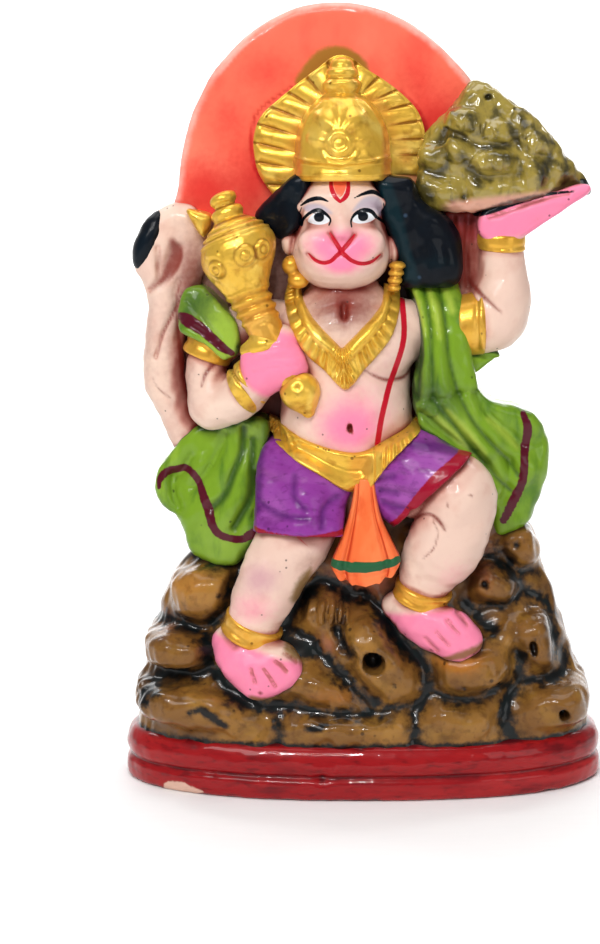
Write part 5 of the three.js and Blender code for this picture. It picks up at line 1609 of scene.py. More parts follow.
def volume_six(points, faces):
    """Six times the volume: the sum over triangles of one corner times the cross product of the other two."""
    total = 0.0
    for group in faces:
        for k in range(1, group.shape[1] - 1):
            a, b, c = (points[group[:, i]] for i in (0, k, k + 1))
            total += (a * np.cross(b, c)).sum()
    return total


def put(name, points, faces, material, marks):
    """A piece as a smooth-shaded mesh in metres that rides on the model's body and stands for its solid."""
    points = np.asarray(points, float)
    faces = [np.asarray(group, int) for group in faces]
    if volume_six(points, faces) < 0:
        faces = [group[:, ::-1] for group in faces]
    corners = np.concatenate([group.ravel() for group in faces])
    sides = np.concatenate([np.full(len(group), group.shape[1]) for group in faces])
    mesh = bpy.data.meshes.new(name)
    mesh.vertices.add(len(points))
    mesh.vertices.foreach_set("co", (points * MM).astype(np.float32).ravel())
    mesh.loops.add(len(corners))
    mesh.loops.foreach_set("vertex_index", corners.astype(np.int32))
    mesh.polygons.add(len(sides))
    mesh.polygons.foreach_set("loop_start", (np.cumsum(sides) - sides).astype(np.int32))
    mesh.update(calc_edges=True)
    mesh.shade_smooth()
    for mark, values in marks.items():
        layer = mesh.attributes.new(mark, "FLOAT", "POINT")
        layer.data.foreach_set("value", np.asarray(values, np.float32))
    mesh.materials.append(material)
    piece = bpy.data.objects.new(name, mesh)
    bpy.context.scene.collection.objects.link(piece)
    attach(piece, BODY)
    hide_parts(SOLID)


def settings(context):
    """The sizes and the paints that the scene holds."""
    return context.scene.clay_idol_sizes, context.scene.clay_idol_paints


# Materials

FINISHES = {}


def finish(build, paints):
    """A material, painted the first time a piece asks for it."""
    if build not in FINISHES:
        FINISHES[build] = build(paints)
    return FINISHES[build]


def flesh_finish(paints):
    """Pale skin: airbrushed pink, red-brown in creases, partly painted shade, painted lines, specks and a satin
    glaze.
    """
    paint = Paint("flesh_paint", paints.flesh)
    paint.brush(linear(243, 217, 196), linear(216, 170, 152), 55.0, 0.5)
    paint.mark("blush", paints.blush, 0.5, 0.25, 0.9)
    paint.mark("mauve", linear(190, 130, 150), 0.5, 0.3, 0.6)
    paint.airbrush_and_shade(linear(196, 112, 96), 0.02, 0.5, 0.6)
    paint.airbrush_and_shade(paints.umber, 0.16, 0.95, 0.92)
    # Umber marks: partly painted shade at the throat, sides, jaw, nose, web, tail and along the edges of the
    # limbs.
    paint.mark("umber", paints.umber, 0.5, 0.3, 0.9)
    paint.mark("olive", linear(120, 90, 20), 0.45, 0.4, 0.85)
    paint.mark("lid", linear(150, 160, 190), 0.4, 0.1, 0.55)
    paint.mark("white", linear(226, 230, 234), 0.1, 0.05)
    paint.mark("tilak", linear(250, 110, 80), 0.15, 0.05)
    paint.mark("red", paints.vermilion, 0.14, 0.08)
    paint.mark("black", paints.black, 0.12, 0.06)
    paint.specks(linear(70, 50, 45), 620.0, 0.045)
    return paint.glaze(roughness=0.34, gloss=0.45, gloss_roughness=0.08, grain=420.0, ripple=90.0, share=0.3,
                       depth=0.10)


def rock_finish(paints):
    """Glazed rock: ochre to brown, dark mottles, near-black crevices, painted shade, pink stains, thick gloss.
    """
    paint = Paint("rock_paint", paints.stone)
    paint.brush(linear(166, 120, 54), linear(88, 54, 22), 46.0, 0.8)
    paint.brush(linear(154, 114, 46), linear(76, 46, 20), 150.0, 0.5)
    paint.mark("stain", linear(172, 92, 76), 0.5, 0.5, 0.72)
    paint.mark("rust", linear(200, 120, 40), 0.5, 0.4, 0.6)
    paint.airbrush_and_shade(linear(48, 26, 14), 0.14, 0.7, 0.85)
    # Painted shade: dark brown spreading out around the crevices.
    paint.mark("grime", linear(58, 36, 16), 0.5, 0.9, 0.75)
    # Near-black paint in the crevices, and painted shade in the hollows, behind the legs and at the heap's foot.
    paint.mark("crevice", paints.tar, 0.38, 0.9, 0.97)
    paint.mark("teal", linear(6, 34, 34), 0.4, 0.6, 0.3)
    paint.specks(linear(40, 26, 16), 330.0, 0.10)
    return paint.glaze(roughness=0.36, gloss=0.9, gloss_roughness=0.02, grain=380.0, ripple=170.0, share=0.10,
                       depth=0.14)


def hill_finish(paints):
    """The hilltop's own olive ground, mottled black-green, under a thick gloss."""
    paint = Paint("hill_paint", linear(152, 132, 56))
    paint.brush(linear(180, 158, 74), linear(102, 88, 32), 80.0, 0.7)
    paint.brush(linear(158, 140, 60), linear(42, 42, 24), 95.0, 0.8, (1.0, 1.0, 0.55))
    paint.mark("pink", linear(222, 156, 140), 0.5, 0.3, 0.75)
    paint.airbrush_and_shade(linear(44, 36, 18), 0.14, 0.7, 0.85)
    paint.mark("crevice", linear(28, 28, 16), 0.5, 0.9, 0.85)
    paint.mark("black", paints.black, 0.15, 0.3, 0.95)
    paint.specks(linear(40, 36, 16), 330.0, 0.08)
    return paint.glaze(roughness=0.34, gloss=1.0, gloss_roughness=0.02, grain=380.0, ripple=190.0, share=0.10,
                       depth=0.14, index=1.55)


def plinth_finish(paints):
    """Red plinth: darker streaks along it, black painted shade in the groove and under rocks, pale clay at the
    chip.
    """
    paint = Paint("red_plinth_paint", paints.red)
    paint.brush(linear(174, 36, 38), linear(104, 8, 18), 42.0, 0.85, (0.5, 0.5, 2.4))
    paint.brush(linear(168, 28, 28), linear(78, 6, 14), 160.0, 0.55, (0.5, 0.5, 1.6))
    paint.mark("dark", linear(60, 8, 16), 0.45, 0.5, 0.85)
    paint.mark("chip", linear(226, 188, 168), 0.2, 0.6, 0.9)
    paint.specks(linear(60, 10, 14), 300.0, 0.10)
    return paint.glaze(roughness=0.34, gloss=0.9, gloss_roughness=0.03, grain=420.0, ripple=200.0, share=0.15,
                       depth=0.22)


def coral_finish(paints):
    """The halo: coral with redder patches, a pale rim, dark gold behind the crown, bare clay on the back."""
    paint = Paint("coral_halo_paint", paints.coral)
    paint.brush(linear(255, 140, 112), linear(242, 86, 70), 30.0, 0.75, (1.0, 1.0, 0.7))
    paint.mark("red", linear(222, 46, 44), 0.5, 0.35, 0.85)
    paint.mark("rim", linear(250, 186, 172), 0.45, 0.35, 0.85)
    # Painted shade: a deep red line round the fan's edge.
    paint.mark("line", linear(196, 24, 30), 0.4, 0.2, 0.8)
    paint.mark("smear", linear(150, 112, 34), 0.4, 0.35, 0.9)
    paint.mark("skin", linear(228, 186, 170), 0.35, 0.3)
    # Painted shade: red-brown on the plain back where it shows between arms, hair and tail.
    paint.mark("umber", linear(92, 18, 20), 0.5, 0.4, 0.94)
    paint.specks(linear(150, 24, 24), 260.0, 0.05)
    return paint.glaze(roughness=0.32, gloss=0.55, gloss_roughness=0.06, grain=360.0, ripple=90.0, share=0.2,
                       depth=0.12)


def gold_finish(paints):
    """Gold paint: brushed brown gold to pale yellow, painted shade in hollows, partly metallic under a thin
    gloss.
    """
    paint = Paint("gold_paint", paints.gold)
    paint.brush(linear(248, 216, 110), linear(172, 116, 32), 110.0, 0.6)
    paint.airbrush_and_shade(linear(132, 78, 20), 0.14, 0.8, 0.85)
    paint.mark("amber", linear(216, 128, 44), 0.5, 0.3, 0.6)
    paint.mark("pink", linear(236, 150, 130), 0.4, 0.3, 0.7)
    paint.mark("black", linear(60, 34, 10), 0.2, 0.2, 0.8)
    paint.specks(linear(110, 66, 20), 420.0, 0.10)
    return paint.glaze(roughness=0.30, gloss=0.35, gloss_roughness=0.08, grain=620.0, ripple=240.0, share=0.5,
                       depth=0.16, metallic=0.5)


def green_finish(paints):
    """The shawl: leaf green with yellow-green strokes, painted highlight and shade on the folds, and a maroon
    border.
    """
    paint = Paint("green_shawl_paint", paints.green)
    paint.brush(linear(162, 192, 70), linear(66, 108, 30), 60.0, 0.8, (1.0, 1.0, 0.35))
    # Painted shade: darker green across the waist and on the corner by the arm.
    paint.mark("shade", linear(58, 84, 44), 0.5, 0.4, 0.7)
    # Painted highlight: yellow-green along the tops of the folds.
    paint.mark("sheen", linear(190, 208, 84), 0.5, 0.4, 0.7)
    paint.airbrush_and_shade(linear(26, 58, 20), 0.10, 0.75, 0.85)
    # Painted shade: dark green down the fold grooves.
    paint.mark("groove", linear(34, 68, 22), 0.5, 0.1, 0.85)
    paint.mark("border", paints.maroon, 0.16, 0.5)
    paint.specks(linear(30, 50, 14), 380.0, 0.05)
    return paint.glaze(roughness=0.28, gloss=0.85, gloss_roughness=0.03, grain=420.0, ripple=150.0, share=0.2,
                       depth=0.16)


def violet_finish(paints):
    """The short trousers: brushed violet with painted shade in the folds and under the belt, and crimson hems.
    """
    paint = Paint("violet_shorts_paint", paints.violet)
    paint.brush(linear(170, 96, 174), linear(94, 28, 100), 62.0, 0.75, (0.5, 1.0, 1.5))
    paint.brush(linear(150, 76, 160), linear(84, 24, 92), 190.0, 0.4, (0.6, 1.0, 1.4))
    paint.airbrush_and_shade(linear(56, 12, 66), 0.14, 0.75, 0.85)
    paint.mark("shade", linear(70, 20, 92), 0.5, 0.4, 0.7)
    paint.mark("hem", paints.crimson, 0.22, 0.5)
    paint.specks(linear(60, 20, 70), 420.0, 0.05)
    return paint.glaze(roughness=0.33, gloss=0.5, gloss_roughness=0.06, grain=480.0, ripple=110.0, share=0.3,
                       depth=0.12)


def orange_finish(paints):
    """The sash: orange with dark red lines between the pleats and a green band above the frilled end."""
    paint = Paint("orange_sash_paint", paints.orange)
    paint.brush(linear(252, 140, 84), linear(222, 84, 40), 120.0, 0.6, (1.0, 1.0, 0.4))
    # Dark red in the pleat hollows: the sash's own lines, deepened as painted shade.
    paint.mark("pleat", linear(176, 44, 20), 0.45, 0.25, 0.85)
    paint.mark("band", linear(38, 92, 58), 0.25, 0.35)
    paint.specks(linear(120, 30, 12), 420.0, 0.05)
    return paint.glaze(roughness=0.33, gloss=0.4, gloss_roughness=0.08, grain=480.0, ripple=160.0, share=0.3,
                       depth=0.12)


def black_finish(paints):
    """Hair: blue-black with teal where the paint is thin, and a few chips."""
    paint = Paint("black_hair_paint", paints.black)
    paint.brush(linear(4, 26, 38), linear(1, 4, 10), 60.0, 0.5)
    paint.mark("teal", linear(4, 38, 46), 0.5, 0.5, 0.7)
    paint.specks(linear(60, 84, 110), 260.0, 0.05)
    return paint.glaze(roughness=0.45, gloss=0.4, gloss_roughness=0.02, grain=420.0, ripple=150.0, share=0.2,
                       depth=0.12)


# Painted marks of each piece, measured on the front in x and z

def facing(normals, places):
    """Paint only where the skin looks to the front: a clipped ramp of how far the normal turns to -Y."""
    return to_one(-normals[:, 1] * 4 + 0.2) * places


def strokes(points, lines, half_width, edge=1.2):
    """Several strokes laid together: the strongest at each place."""
    return np.max([stroke(points, line, half_width, edge) for line in lines], axis=0)


def trunk_marks(points, normals):
    """The thread, the chest line, pink on the belly, and red-brown painted shade at the throat and the sides."""
    thread = [(10.8, 130.4), (11.3, 123.0), (10.8, 118.3), (8.7, 111.5), (7.1, 106.8), (5.3, 99.4), (4.3, 93.0)]
    chest = [(0.8, 112.4, 0.1), (4.0, 110.5, 0.35), (7.1, 109.4, 0.5), (11.3, 109.7, 0.5), (13.9, 112.2, 0.2)]
    navel = [(-3.0, 98.6, 0.3), (-2.6, 97.4, 0.6), (-2.3, 96.2, 0.3)]
    umber = np.maximum(facing(normals, strokes(points, [chest], 0.4, 0.9)),
                       facing(normals, strokes(points, [navel], 0.4, 0.8)))
    # Painted shade: red-brown in the throat hollow under the chin and down both sides of the trunk.
    throat = 0.9 * glow(points, (-4, -16, 128.6), (11, 10, 6.6))
    throat += 0.5 * glow(points, (-4, -18, 127.2), (1.6, 6, 3.4))
    sides = 0.45 * glow(points, (-22, -8, 103), (3.4, 12, 9))
    sides += 0.35 * glow(points, (15.4, -8, 104), (2.6, 12, 14))
    return {
        "red": facing(normals, stroke(points, thread, 0.75, 0.9)),
        "umber": strongest(umber, throat, sides),
        "blush": 0.95 * glow(points, (-2.6, -22, 97.0), (8.8, 12, 6.8))
                 + 0.25 * glow(points, (-1, -20, 106), (12, 12, 9)),
        "mauve": 0.25 * glow(points, (8, -18, 116), (6, 10, 6)),
    }


def raised_arm_marks(points, normals):
    """Pink palm, red-brown elbow crease; painted shade, red-brown in the forearm's web and black under the
    hilltop.
    """
    x, y, z = points.T
    palm = to_one((z - 142.8 - 0.10 * (x - 36)) / 3.4)
    # Painted shade: red-brown streaks in the web of clay behind the forearm.
    web = climb(x, 31.4, -2.4) * climb(z, 130.0, 4)
    streak = web * (0.86 + 0.2 * np.sin(x * 2.6 + 0.8 * np.sin(z * 0.35)))
    crease = stroke(points, [(28.4, 134.2, 0.7), (29.7, 132.3, 0.7), (32.7, 129.3, 0.45), (36.1, 126.3, 0.15)],
                    0.4, 1.0)
    # A black line painted as the shade in the gap between the palm and the hilltop.
    gap = stroke(points, [(30.0, 151.2, 0.8), (34.0, 152.4, 1.0), (40.3, 154.3, 0.8), (46.6, 155.9, 0.5),
                          (54.8, 156.8, 0.25)], 0.5, 1.0)
    # Painted shade: red-brown low on the upper arm and on the clay behind it.
    low = np.maximum(0.4 * climb(z, 119, -5) * climb(x, 36, -5), 0.9 * (x < 24.6) * (y > -7))
    return {
        "blush": palm,
        "umber": strongest(streak, facing(normals, crease), low),
        "black": facing(normals, gap),
    }


def mace_arm_marks(points, normals):
    """Pink fist, the crease inside the elbow, red-brown painted shade under the armlet and along the outer
    edges.
    """
    x, _, z = points.T
    fist = climb(np.linalg.norm((points - near(FIST, 0.6, 0, -0.4)) * (1, 0.8, 1.1), axis=1), 11.0, -2.0)
    fist *= to_one((x + 31.2 + 0.55 * (z - 110)) / 2.2)
    line = stroke(points, [(-35.5, 114.9, 0.2), (-38.1, 113.1, 0.4), (-40.2, 110.5, 0.4), (-41.1, 107.6, 0.15)],
                  0.4, 0.8)
    # Painted shade: red-brown under the armlet.
    under = stroke(points, [(-41, 117.6, 0.3), (-37.6, 116.4, 0.4), (-34.6, 116.8, 0.2)], 0.4, 1.0)
    # Painted shade: red-brown below the fist and along the arm's outer edge beside the tail.
    edge = 0.6 * glow(points, (-24, -12, 103), (6, 12, 3.6))
    edge += 0.5 * glow(points, (-45.6, -7, 108), (2.6, 12, 14))
    return {"blush": 0.95 * fist, "umber": strongest(facing(normals, line), 0.7 * facing(normals, under), edge)}


def hanging_leg_marks(points, normals):
    """Pink foot, a mauve blotch on the shin, olive smears, brown spots; painted shade beside the shin and
    anklet.
    """
    x, _, z = points.T
    foot = climb(z, 41.8 - 0.28 * (x + 30), -2.0)
    inner = stroke(points, [(-13.2, 60.6, 0.5), (-15.0, 57.0, 1.8), (-17.0, 53.0, 1.4)], 1.0, 2.4)
    spots = np.maximum(stroke(points, [(-18.5, 38.4), (-18.3, 38.0)], 0.35, 0.7),
                       stroke(points, [(-26.4, 29.2), (-26.2, 29.0)], 0.5, 0.7))
    toe = strokes(points, [[(-25.5, 35.8, 0.02), (-24, 33.4, 0.2), (-22.4, 31.0, 0.02)],
                           [(-28.6, 35.8, 0.02), (-28, 33.8, 0.2), (-27.3, 31.6, 0.02)],
                           [(-22.5, 37.5, 0.02), (-21, 36.4, 0.2), (-19.5, 34.9, 0.02)],
                           [(-20.2, 39.2, 0.02), (-18.8, 38, 0.2), (-17.2, 36.8, 0.02)]], 0.2, 0.7)
    sole = stroke(points, [(-28.6, 27.4, 0.8), (-25.0, 26.0, 1.3), (-21.0, 26.0, 0.7)], 1.0, 1.6)
    rim = stroke(points, [(-19.4, 40.2, 0.8), (-16.8, 38.4, 1.2), (-15.4, 36.6, 0.8)], 1.0, 1.8)
    hem = stroke(points, [(-16.4, 70.0, 0.5), (-13.2, 67.2, 0.35)], 0.4, 1.2)
    return {
        "blush": np.maximum(0.92 * foot, 0.5 * glow(points, (-28, -24, 51), (7, 9, 5))),
        "mauve": 0.9 * glow(points, (-26.2, -26, 59), (5.2, 9, 4.4))
                 + 0.4 * glow(points, (-10, -24, 66.8), (3.6, 9, 2.0)),
        "olive": strongest(inner, sole, rim),
        # Red-brown painted shade beside the shin and just below the anklet, among the spots and toe lines.
        "umber": strongest(0.9 * spots, 0.75 * toe, 0.45 * glow(points, (-13, -16, 62), (4, 12, 5)),
                           0.4 * glow(points, (-21, -20, 42.4), (3.0, 9, 2.0))),
        "red": 0.62 * facing(normals, hem),
    }


def raised_leg_marks(points, normals):
    """Pink foot, the crease at the knee, the faint ring below it, and painted shade on the shin by the sash's
    end.
    """
    x, _, z = points.T
    foot = climb(z, 50.9 + 0.16 * (x - 16), -2.2)
    crease = stroke(points, [(14.5, 74.2, 0.15), (16.0, 75.4, 0.3), (17.9, 75.7, 0.45), (19.8, 74.4, 0.5),
                             (21.4, 72.0, 0.2)], 0.4, 0.9)
    ring = stroke(points, [(18.4, 74.2, 0.1), (19.6, 71.2, 0.1), (18.6, 67.2, 0.16), (16.0, 64.3, 0.1)],
                  0.12, 0.7)
    toe = strokes(points, [[(19.1, 45.2, 0.02), (21, 43.2, 0.2), (22.8, 41.3, 0.02)],
                           [(21.9, 48.1, 0.02), (23.6, 46.2, 0.2), (25.3, 44.3, 0.02)],
                           [(24.4, 49.4, 0.02), (25.9, 47.9, 0.2), (27.3, 46.3, 0.02)],
                           [(16.6, 42.9, 0.02), (18.2, 41.2, 0.18), (19.6, 39.8, 0.02)]], 0.2, 0.7)
    spot = strokes(points, [[(18.0, 39.6), (18.3, 39.4)], [(27.6, 81.4), (28.2, 81.0)],
                            [(21.9, 79.2), (22.0, 78.4)]], 0.28, 0.6)
    sole = stroke(points, [(21.0, 37.2, 0.6), (26.0, 38.8, 1.2), (31.4, 40.8, 0.9)], 1.0, 1.6)
    return {
        "blush": np.maximum(0.92 * foot, 0.3 * glow(points, (24, -24, 59), (6, 9, 5))),
        "umber": strongest(facing(normals, crease), facing(normals, ring), 0.75 * toe, 0.8 * spot,
                           # Red-brown painted shade on the shin's inner side, by the end of the sash.
                           0.4 * glow(points, (11, -19, 60), (2.2, 9, 8))),
        "olive": sole,
    }


def tail_marks(points, normals):
    """Red-brown painted shade in the hollow of the curl, in the long creases and along both edges."""
    hollow = stroke(points, [(-48.6, 144.6, 1.0), (-47.6, 141.4, 2.0), (-49.0, 138.0, 2.1), (-51.4, 134.8, 1.1),
                             (-54.4, 132.4, 0.4)], 1.0, 1.8)
    ridge = stroke(points, [(-52.0, 142.0, 0.5), (-52.6, 138.4, 0.7), (-52.4, 135.4, 0.5), (-54.6, 132.2, 0.3)],
                   1.0, 1.6)
    first = stroke(points, [(-45.6, 132.0, 0.4), (-47.6, 128.4, 0.5), (-49.8, 124.2, 0.5), (-51.9, 120.0, 0.35),
                            (-53.4, 114.5, 0.1)], 0.4, 1.0)
    second = stroke(points, [(-45.0, 137.4, 0.2), (-47.2, 132.6, 0.5), (-48.0, 127.0, 0.5), (-47.6, 119.2, 0.8),
                             (-46.8, 111.4, 0.9), (-45.6, 104.5, 1.0), (-43.4, 99.4, 1.0), (-40.4, 95.6, 0.9),
                             (-37.2, 92.4, 0.6)], 0.8, 1.4)
    third = stroke(points, [(-54.6, 108.8, 0.1), (-53.1, 106.1, 0.2), (-50.0, 103.5, 0.2)], 0.2, 0.8)
    # Painted shade: red-brown along the tail's inner edge by the arm and along its outer edge.
    airbrush_and_shade = 0.65 * glow(points, (-42.6, -4, 136), (4.2, 12, 12))
    airbrush_and_shade += 0.65 * glow(points, (-46.6, -6, 118), (4.2, 9, 22))
    airbrush_and_shade += 0.3 * glow(points, (-55.6, -6, 118), (2.6, 9, 16))
    return {"umber": strongest(0.9 * hollow, 0.6 * ridge, facing(normals, first), facing(normals, second),
                               0.8 * facing(normals, third), airbrush_and_shade)}


def head_marks(points, normals):
    """Painted face: brows, lids, eyes, forehead mark, crossed nose lines, smile, painted shade under jaw and
    nose.
    """
    brows = [[(-14.9, 154.0, 0.2), (-12.6, 155.4, 0.5), (-10.0, 155.9, 0.5), (-7.8, 155.1, 0.15)],
             [(-1.3, 155.9, 0.12), (1.0, 156.9, 0.4), (3.6, 157.3, 0.55), (6.0, 155.8, 0.25)]]
    lashes = [[(-14.8, 149.0, 0.4), (-14.3, 150.5, 0.35), (-12.6, 152.2, 0.4), (-10.4, 153.0, 0.5),
               (-8.6, 152.1, 0.4), (-7.3, 150.6, 0.25), (-7.7, 149.2, 0.2)],
              [(-2.0, 148.8, 0.2), (-2.1, 150.4, 0.25), (-1.0, 152.0, 0.4), (1.0, 152.9, 0.5), (3.0, 152.5, 0.5),
               (4.4, 150.9, 0.4), (6.1, 149.5, 0.25)],
              [(5.8, 149.8, 0.15), (6.3, 152.1, 0.2), (6.1, 154.4, 0.15)],
              [(-14.9, 150.4, 0.15), (-15.2, 152.0, 0.2), (-14.6, 153.6, 0.1)]]
    irises = [[(-10.3, 151.2), (-10.1, 151.2)], [(0.8, 151.3), (1.0, 151.3)]]
    whites = [[(-13.1, 150.3), (-11.8, 151.9), (-9.7, 152.5), (-8.2, 151.4), (-7.5, 150.4), (-8.4, 149.6),
               (-10.4, 149.3), (-12.4, 149.7)],
              [(-1.8, 150.3), (-0.6, 152.0), (1.3, 152.5), (3.1, 151.8), (3.9, 150.8), (2.6, 149.9),
               (0.6, 149.5), (-1.0, 149.7)]]
    lids = [[(-14.3, 153.4), (-12.3, 154.6), (-9.4, 154.2), (-6.8, 152.2), (-8.8, 152.2), (-12.4, 152.4)],
            [(-1.8, 152.6), (1.1, 156.0), (4.2, 156.2), (5.8, 154.4), (5.4, 151.2), (3.2, 152.6), (0.6, 153.2)]]
    reds = [[(-7.0, 161.4, 0.4), (-7.1, 158.8, 0.55), (-6.2, 156.5, 0.6), (-4.9, 155.0, 0.35)],
            [(-4.9, 155.0, 0.35), (-3.5, 156.2, 0.6), (-2.8, 158.2, 0.55), (-2.9, 163.0, 0.25)],
            [(-7.4, 147.2, 0.3), (-6.0, 145.0, 0.55), (-4.6, 142.8, 0.55), (-3.8, 141.6, 0.4)],
            [(-1.3, 146.8, 0.3), (-2.8, 144.8, 0.55), (-4.6, 142.8, 0.55), (-5.6, 141.6, 0.4)],
            [(-12.9, 142.2, 0.2), (-11.3, 140.6, 0.45), (-9.3, 139.9, 0.5), (-7.2, 140.4, 0.5),
             (-4.7, 142.4, 0.55), (-2.1, 140.5, 0.5), (0.5, 139.6, 0.5), (3.0, 140.0, 0.45), (5.2, 141.6, 0.2)]]
    face = facing(normals, 1.0)
    # Painted shade: red-brown under the jaw, at the side of the face and under the nose.
    jaw = 0.55 * glow(points, (-4.4, -12, 131.6), (12, 14, 2.6))
    jaw += 0.3 * glow(points, (-16.8, -12, 140), (2.0, 12, 8))
    nose = 0.35 * glow(points, (-4.6, -22, 145.8), (2.4, 9, 1.2))
    blush = 0.7 * glow(points, (-9.0, -21, 144.2), (5.2, 9, 4.2))
    blush += 0.7 * glow(points, (0.0, -21, 144.2), (5.2, 9, 4.2))
    muzzle = 0.75 * glow(points, (-4.6, -22, 139.2), (4.6, 9, 2.4))
    muzzle += 0.35 * glow(points, (-4.6, -22, 144), (6, 9, 5))
    black = np.maximum(strokes(points, brows + lashes, 0.4, 0.42), strokes(points, irises, 1.2, 0.5))
    return {"black": face * black,
            "white": face * np.max([patch(points, outline, 0.5) for outline in whites], axis=0),
            "lid": face * np.max([patch(points, outline, 1.4) for outline in lids], axis=0),
            "tilak": face * patch(points, [(-6.3, 161.4), (-6.5, 159.0), (-5.6, 156.8), (-4.8, 156.2),
                                           (-4.0, 157.0), (-3.3, 159), (-3.4, 161.6)], 0.6),
            "red": face * strokes(points, reds, 0.5, 0.45), "blush": np.minimum(blush + muzzle, 1),
            "umber": np.maximum(jaw, nose), "mauve": 0.3 * glow(points, (-14, -18, 147), (3, 9, 4))}


def halo_marks(points, normals):
    """Redder patches, pale rim, the painted shade line about the fan, dull gold above it, bare clay low on the
    back.
    """
    x, y, z = points.T
    arc, _ = halo_outline()
    patches = 0.95 * glow(points, (-40, 0, 157), (9, 20, 9)) + 1.0 * glow(points, (21, 0, 173), (9, 20, 9))
    patches += 0.7 * glow(points, (-27, 0, 160), (6, 20, 12)) + 0.5 * glow(points, (-34, 0, 176), (5, 20, 6))
    patches += 0.45 * glow(points, (14, 0, 186), (7, 20, 6)) + 0.55 * glow(points, (-24, 0, 188), (8, 20, 5))
    fan = [(-21.6, 155.6, 0.3), (-26.4, 161.6, 0.6), (-27.9, 167.4, 0.6), (-27.8, 173.0, 0.5),
           (-25.4, 178.4, 0.4), (-16, 184.6, 0.3)]
    fan_right = [(17.0, 162.6, 0.4), (17.6, 168.4, 0.6), (17.2, 173.2, 0.6), (15.0, 178.2, 0.4),
                 (10.6, 182.4, 0.3)]
    smear = patch(points, [(-16.4, 184.4), (-14.2, 189.0), (-11.2, 192.2), (-7.4, 193.9), (-3.0, 193.6),
                           (0.6, 191.2), (2.6, 188.0), (2.8, 182.6), (0, 176), (-13, 176)], 1.8)
    rim = stroke(points, arc[1:12], 1.7, 1.8)
    edge = np.where(x < 0, 150.6 + 4.4 * climb(-x, 40, 9), 152.6)
    skin = np.where(y < 2, climb(z, edge, -1.2), climb(z, 151.6 + 1.2 * np.sin(0.11 * x + 1), -3.0))
    # Painted shade: red-brown over the front of that clay, where it shows between arms, hair and tail.
    web = skin * to_one(0.6 + 0.5 * (x > 0) + 0.4 * (z < 128)) * (y < 3)
    return {"red": np.minimum(patches, 1), "smear": to_one(-normals[:, 1]) * smear,
            "rim": rim * (0.75 + 0.25 * lumps(points, 9, 51)),
            "line": facing(normals, strokes(points, [fan, fan_right], 0.5, 1.2)), "skin": skin, "umber": web}


def rocks_marks(points, normals):
    """Near-black crevices with teal, painted shade about them, pink stains near the figure, rust near the feet.
    """
    x, y, z = points.T
    plans = [([(px, pz) for px, _, pz in line], wide) for line, wide in CREVICES]
    front = to_one(0.7 - normals[:, 1] * 2) * (y < 6)
    dark = np.max([stroke(points, plan, 0.3 + 0.8 * wide, 3.0) for plan, wide in plans], axis=0)
    dark = front * to_one(dark + 0.34 * lumps(points, 6, 52) * (dark > 0.02))
    # Painted shade: a wider dark falloff around each crevice.
    grime = front * np.max([stroke(points, plan, 0.8 + 0.9 * wide, 6.0) for plan, wide in plans], axis=0)
    grime = to_one(grime + 0.3 * lumps(points, 9, 55) * (grime > 0.02))
    # Painted shade along the foot of the heap, where it meets the plinth.
    foot = climb(z, 15.9, -1.6)
    # Painted shade: dark blots, most of them in the small hollows.
    blots = strokes(points, [[(-45, 23.5, 0.6), (-42.3, 24.4, 0.9), (-39.8, 22.9, 1.2), (-35.5, 19.7, 0.9)],
                             [(-14.4, 19.4, 0.7), (-12.0, 19.4, 0.9), (-9.0, 20.3, 0.5)],
                             [(45.2, 41, 0.3), (45.1, 37, 0.7)], [(52.8, 22.6, 0.5), (52.8, 21.4, 0.8)],
                             [(-36.6, 52.9, 0.3), (-37.4, 52.6, 0.5)], [(26.6, 29.8, 0.2), (26.7, 29.4, 0.5)],
                             [(8.4, 30.8, 0.3), (8.6, 30.4, 0.6)], [(32.2, 55.8, 0.5), (32.4, 55, 0.8)],
                             [(40.9, 65.0, 0.6), (41.0, 64.6, 0.9)]], 0.8, 1.4)
    # Painted shade in the deep hollow and in the pool between the legs.
    hole = climb(np.hypot((x - 3.0) / 0.9, z - 36.8), 2.9, -0.8) * (y < -18)
    pool = patch(points, [(-22.6, 38.6), (-20.6, 45), (-16.4, 52), (-12, 55.6), (-13.6, 52.4), (-17.2, 47),
                          (-18.4, 42), (-14.4, 41), (-11, 38.4), (-13.4, 36.6), (-18, 37.4)], 1.6) * (y < -8)
    # Painted shade behind the hanging leg and under the tip of the shawl.
    behind = 0.85 * glow(points, (-24, -14, 62), (5, 12, 9)) + 0.7 * glow(points, (35.6, -14, 62.6), (4, 12, 5))
    stain = 0.95 * glow(points, (0, -14, 57), (11, 14, 6.4)) + 0.8 * glow(points, (31, -14, 64), (5, 14, 9))
    stain += (0.7 * glow(points, (-53, -10, 44.2), (6, 14, 2.4))
              + 0.6 * glow(points, (-9.4, -18, 40.4), (3.6, 10, 3.4)))
    rust = 0.9 * glow(points, (25, -24, 36.6), (7, 9, 3.0)) + 0.5 * glow(points, (-6, -24, 27.4), (9, 9, 3.4))
    rust += 0.4 * glow(points, (-46, -16, 56), (9, 14, 6))
    return {"grime": grime, "crevice": strongest(dark, foot * 0.9, blots * (y < -4), hole, pool, behind),
            "teal": np.minimum(np.maximum(0.8 * dark, pool), 1) * (0.5 + 0.5 * lumps(points, 7, 52)),
            "stain": np.minimum(stain, 1), "rust": np.minimum(rust, 1)}


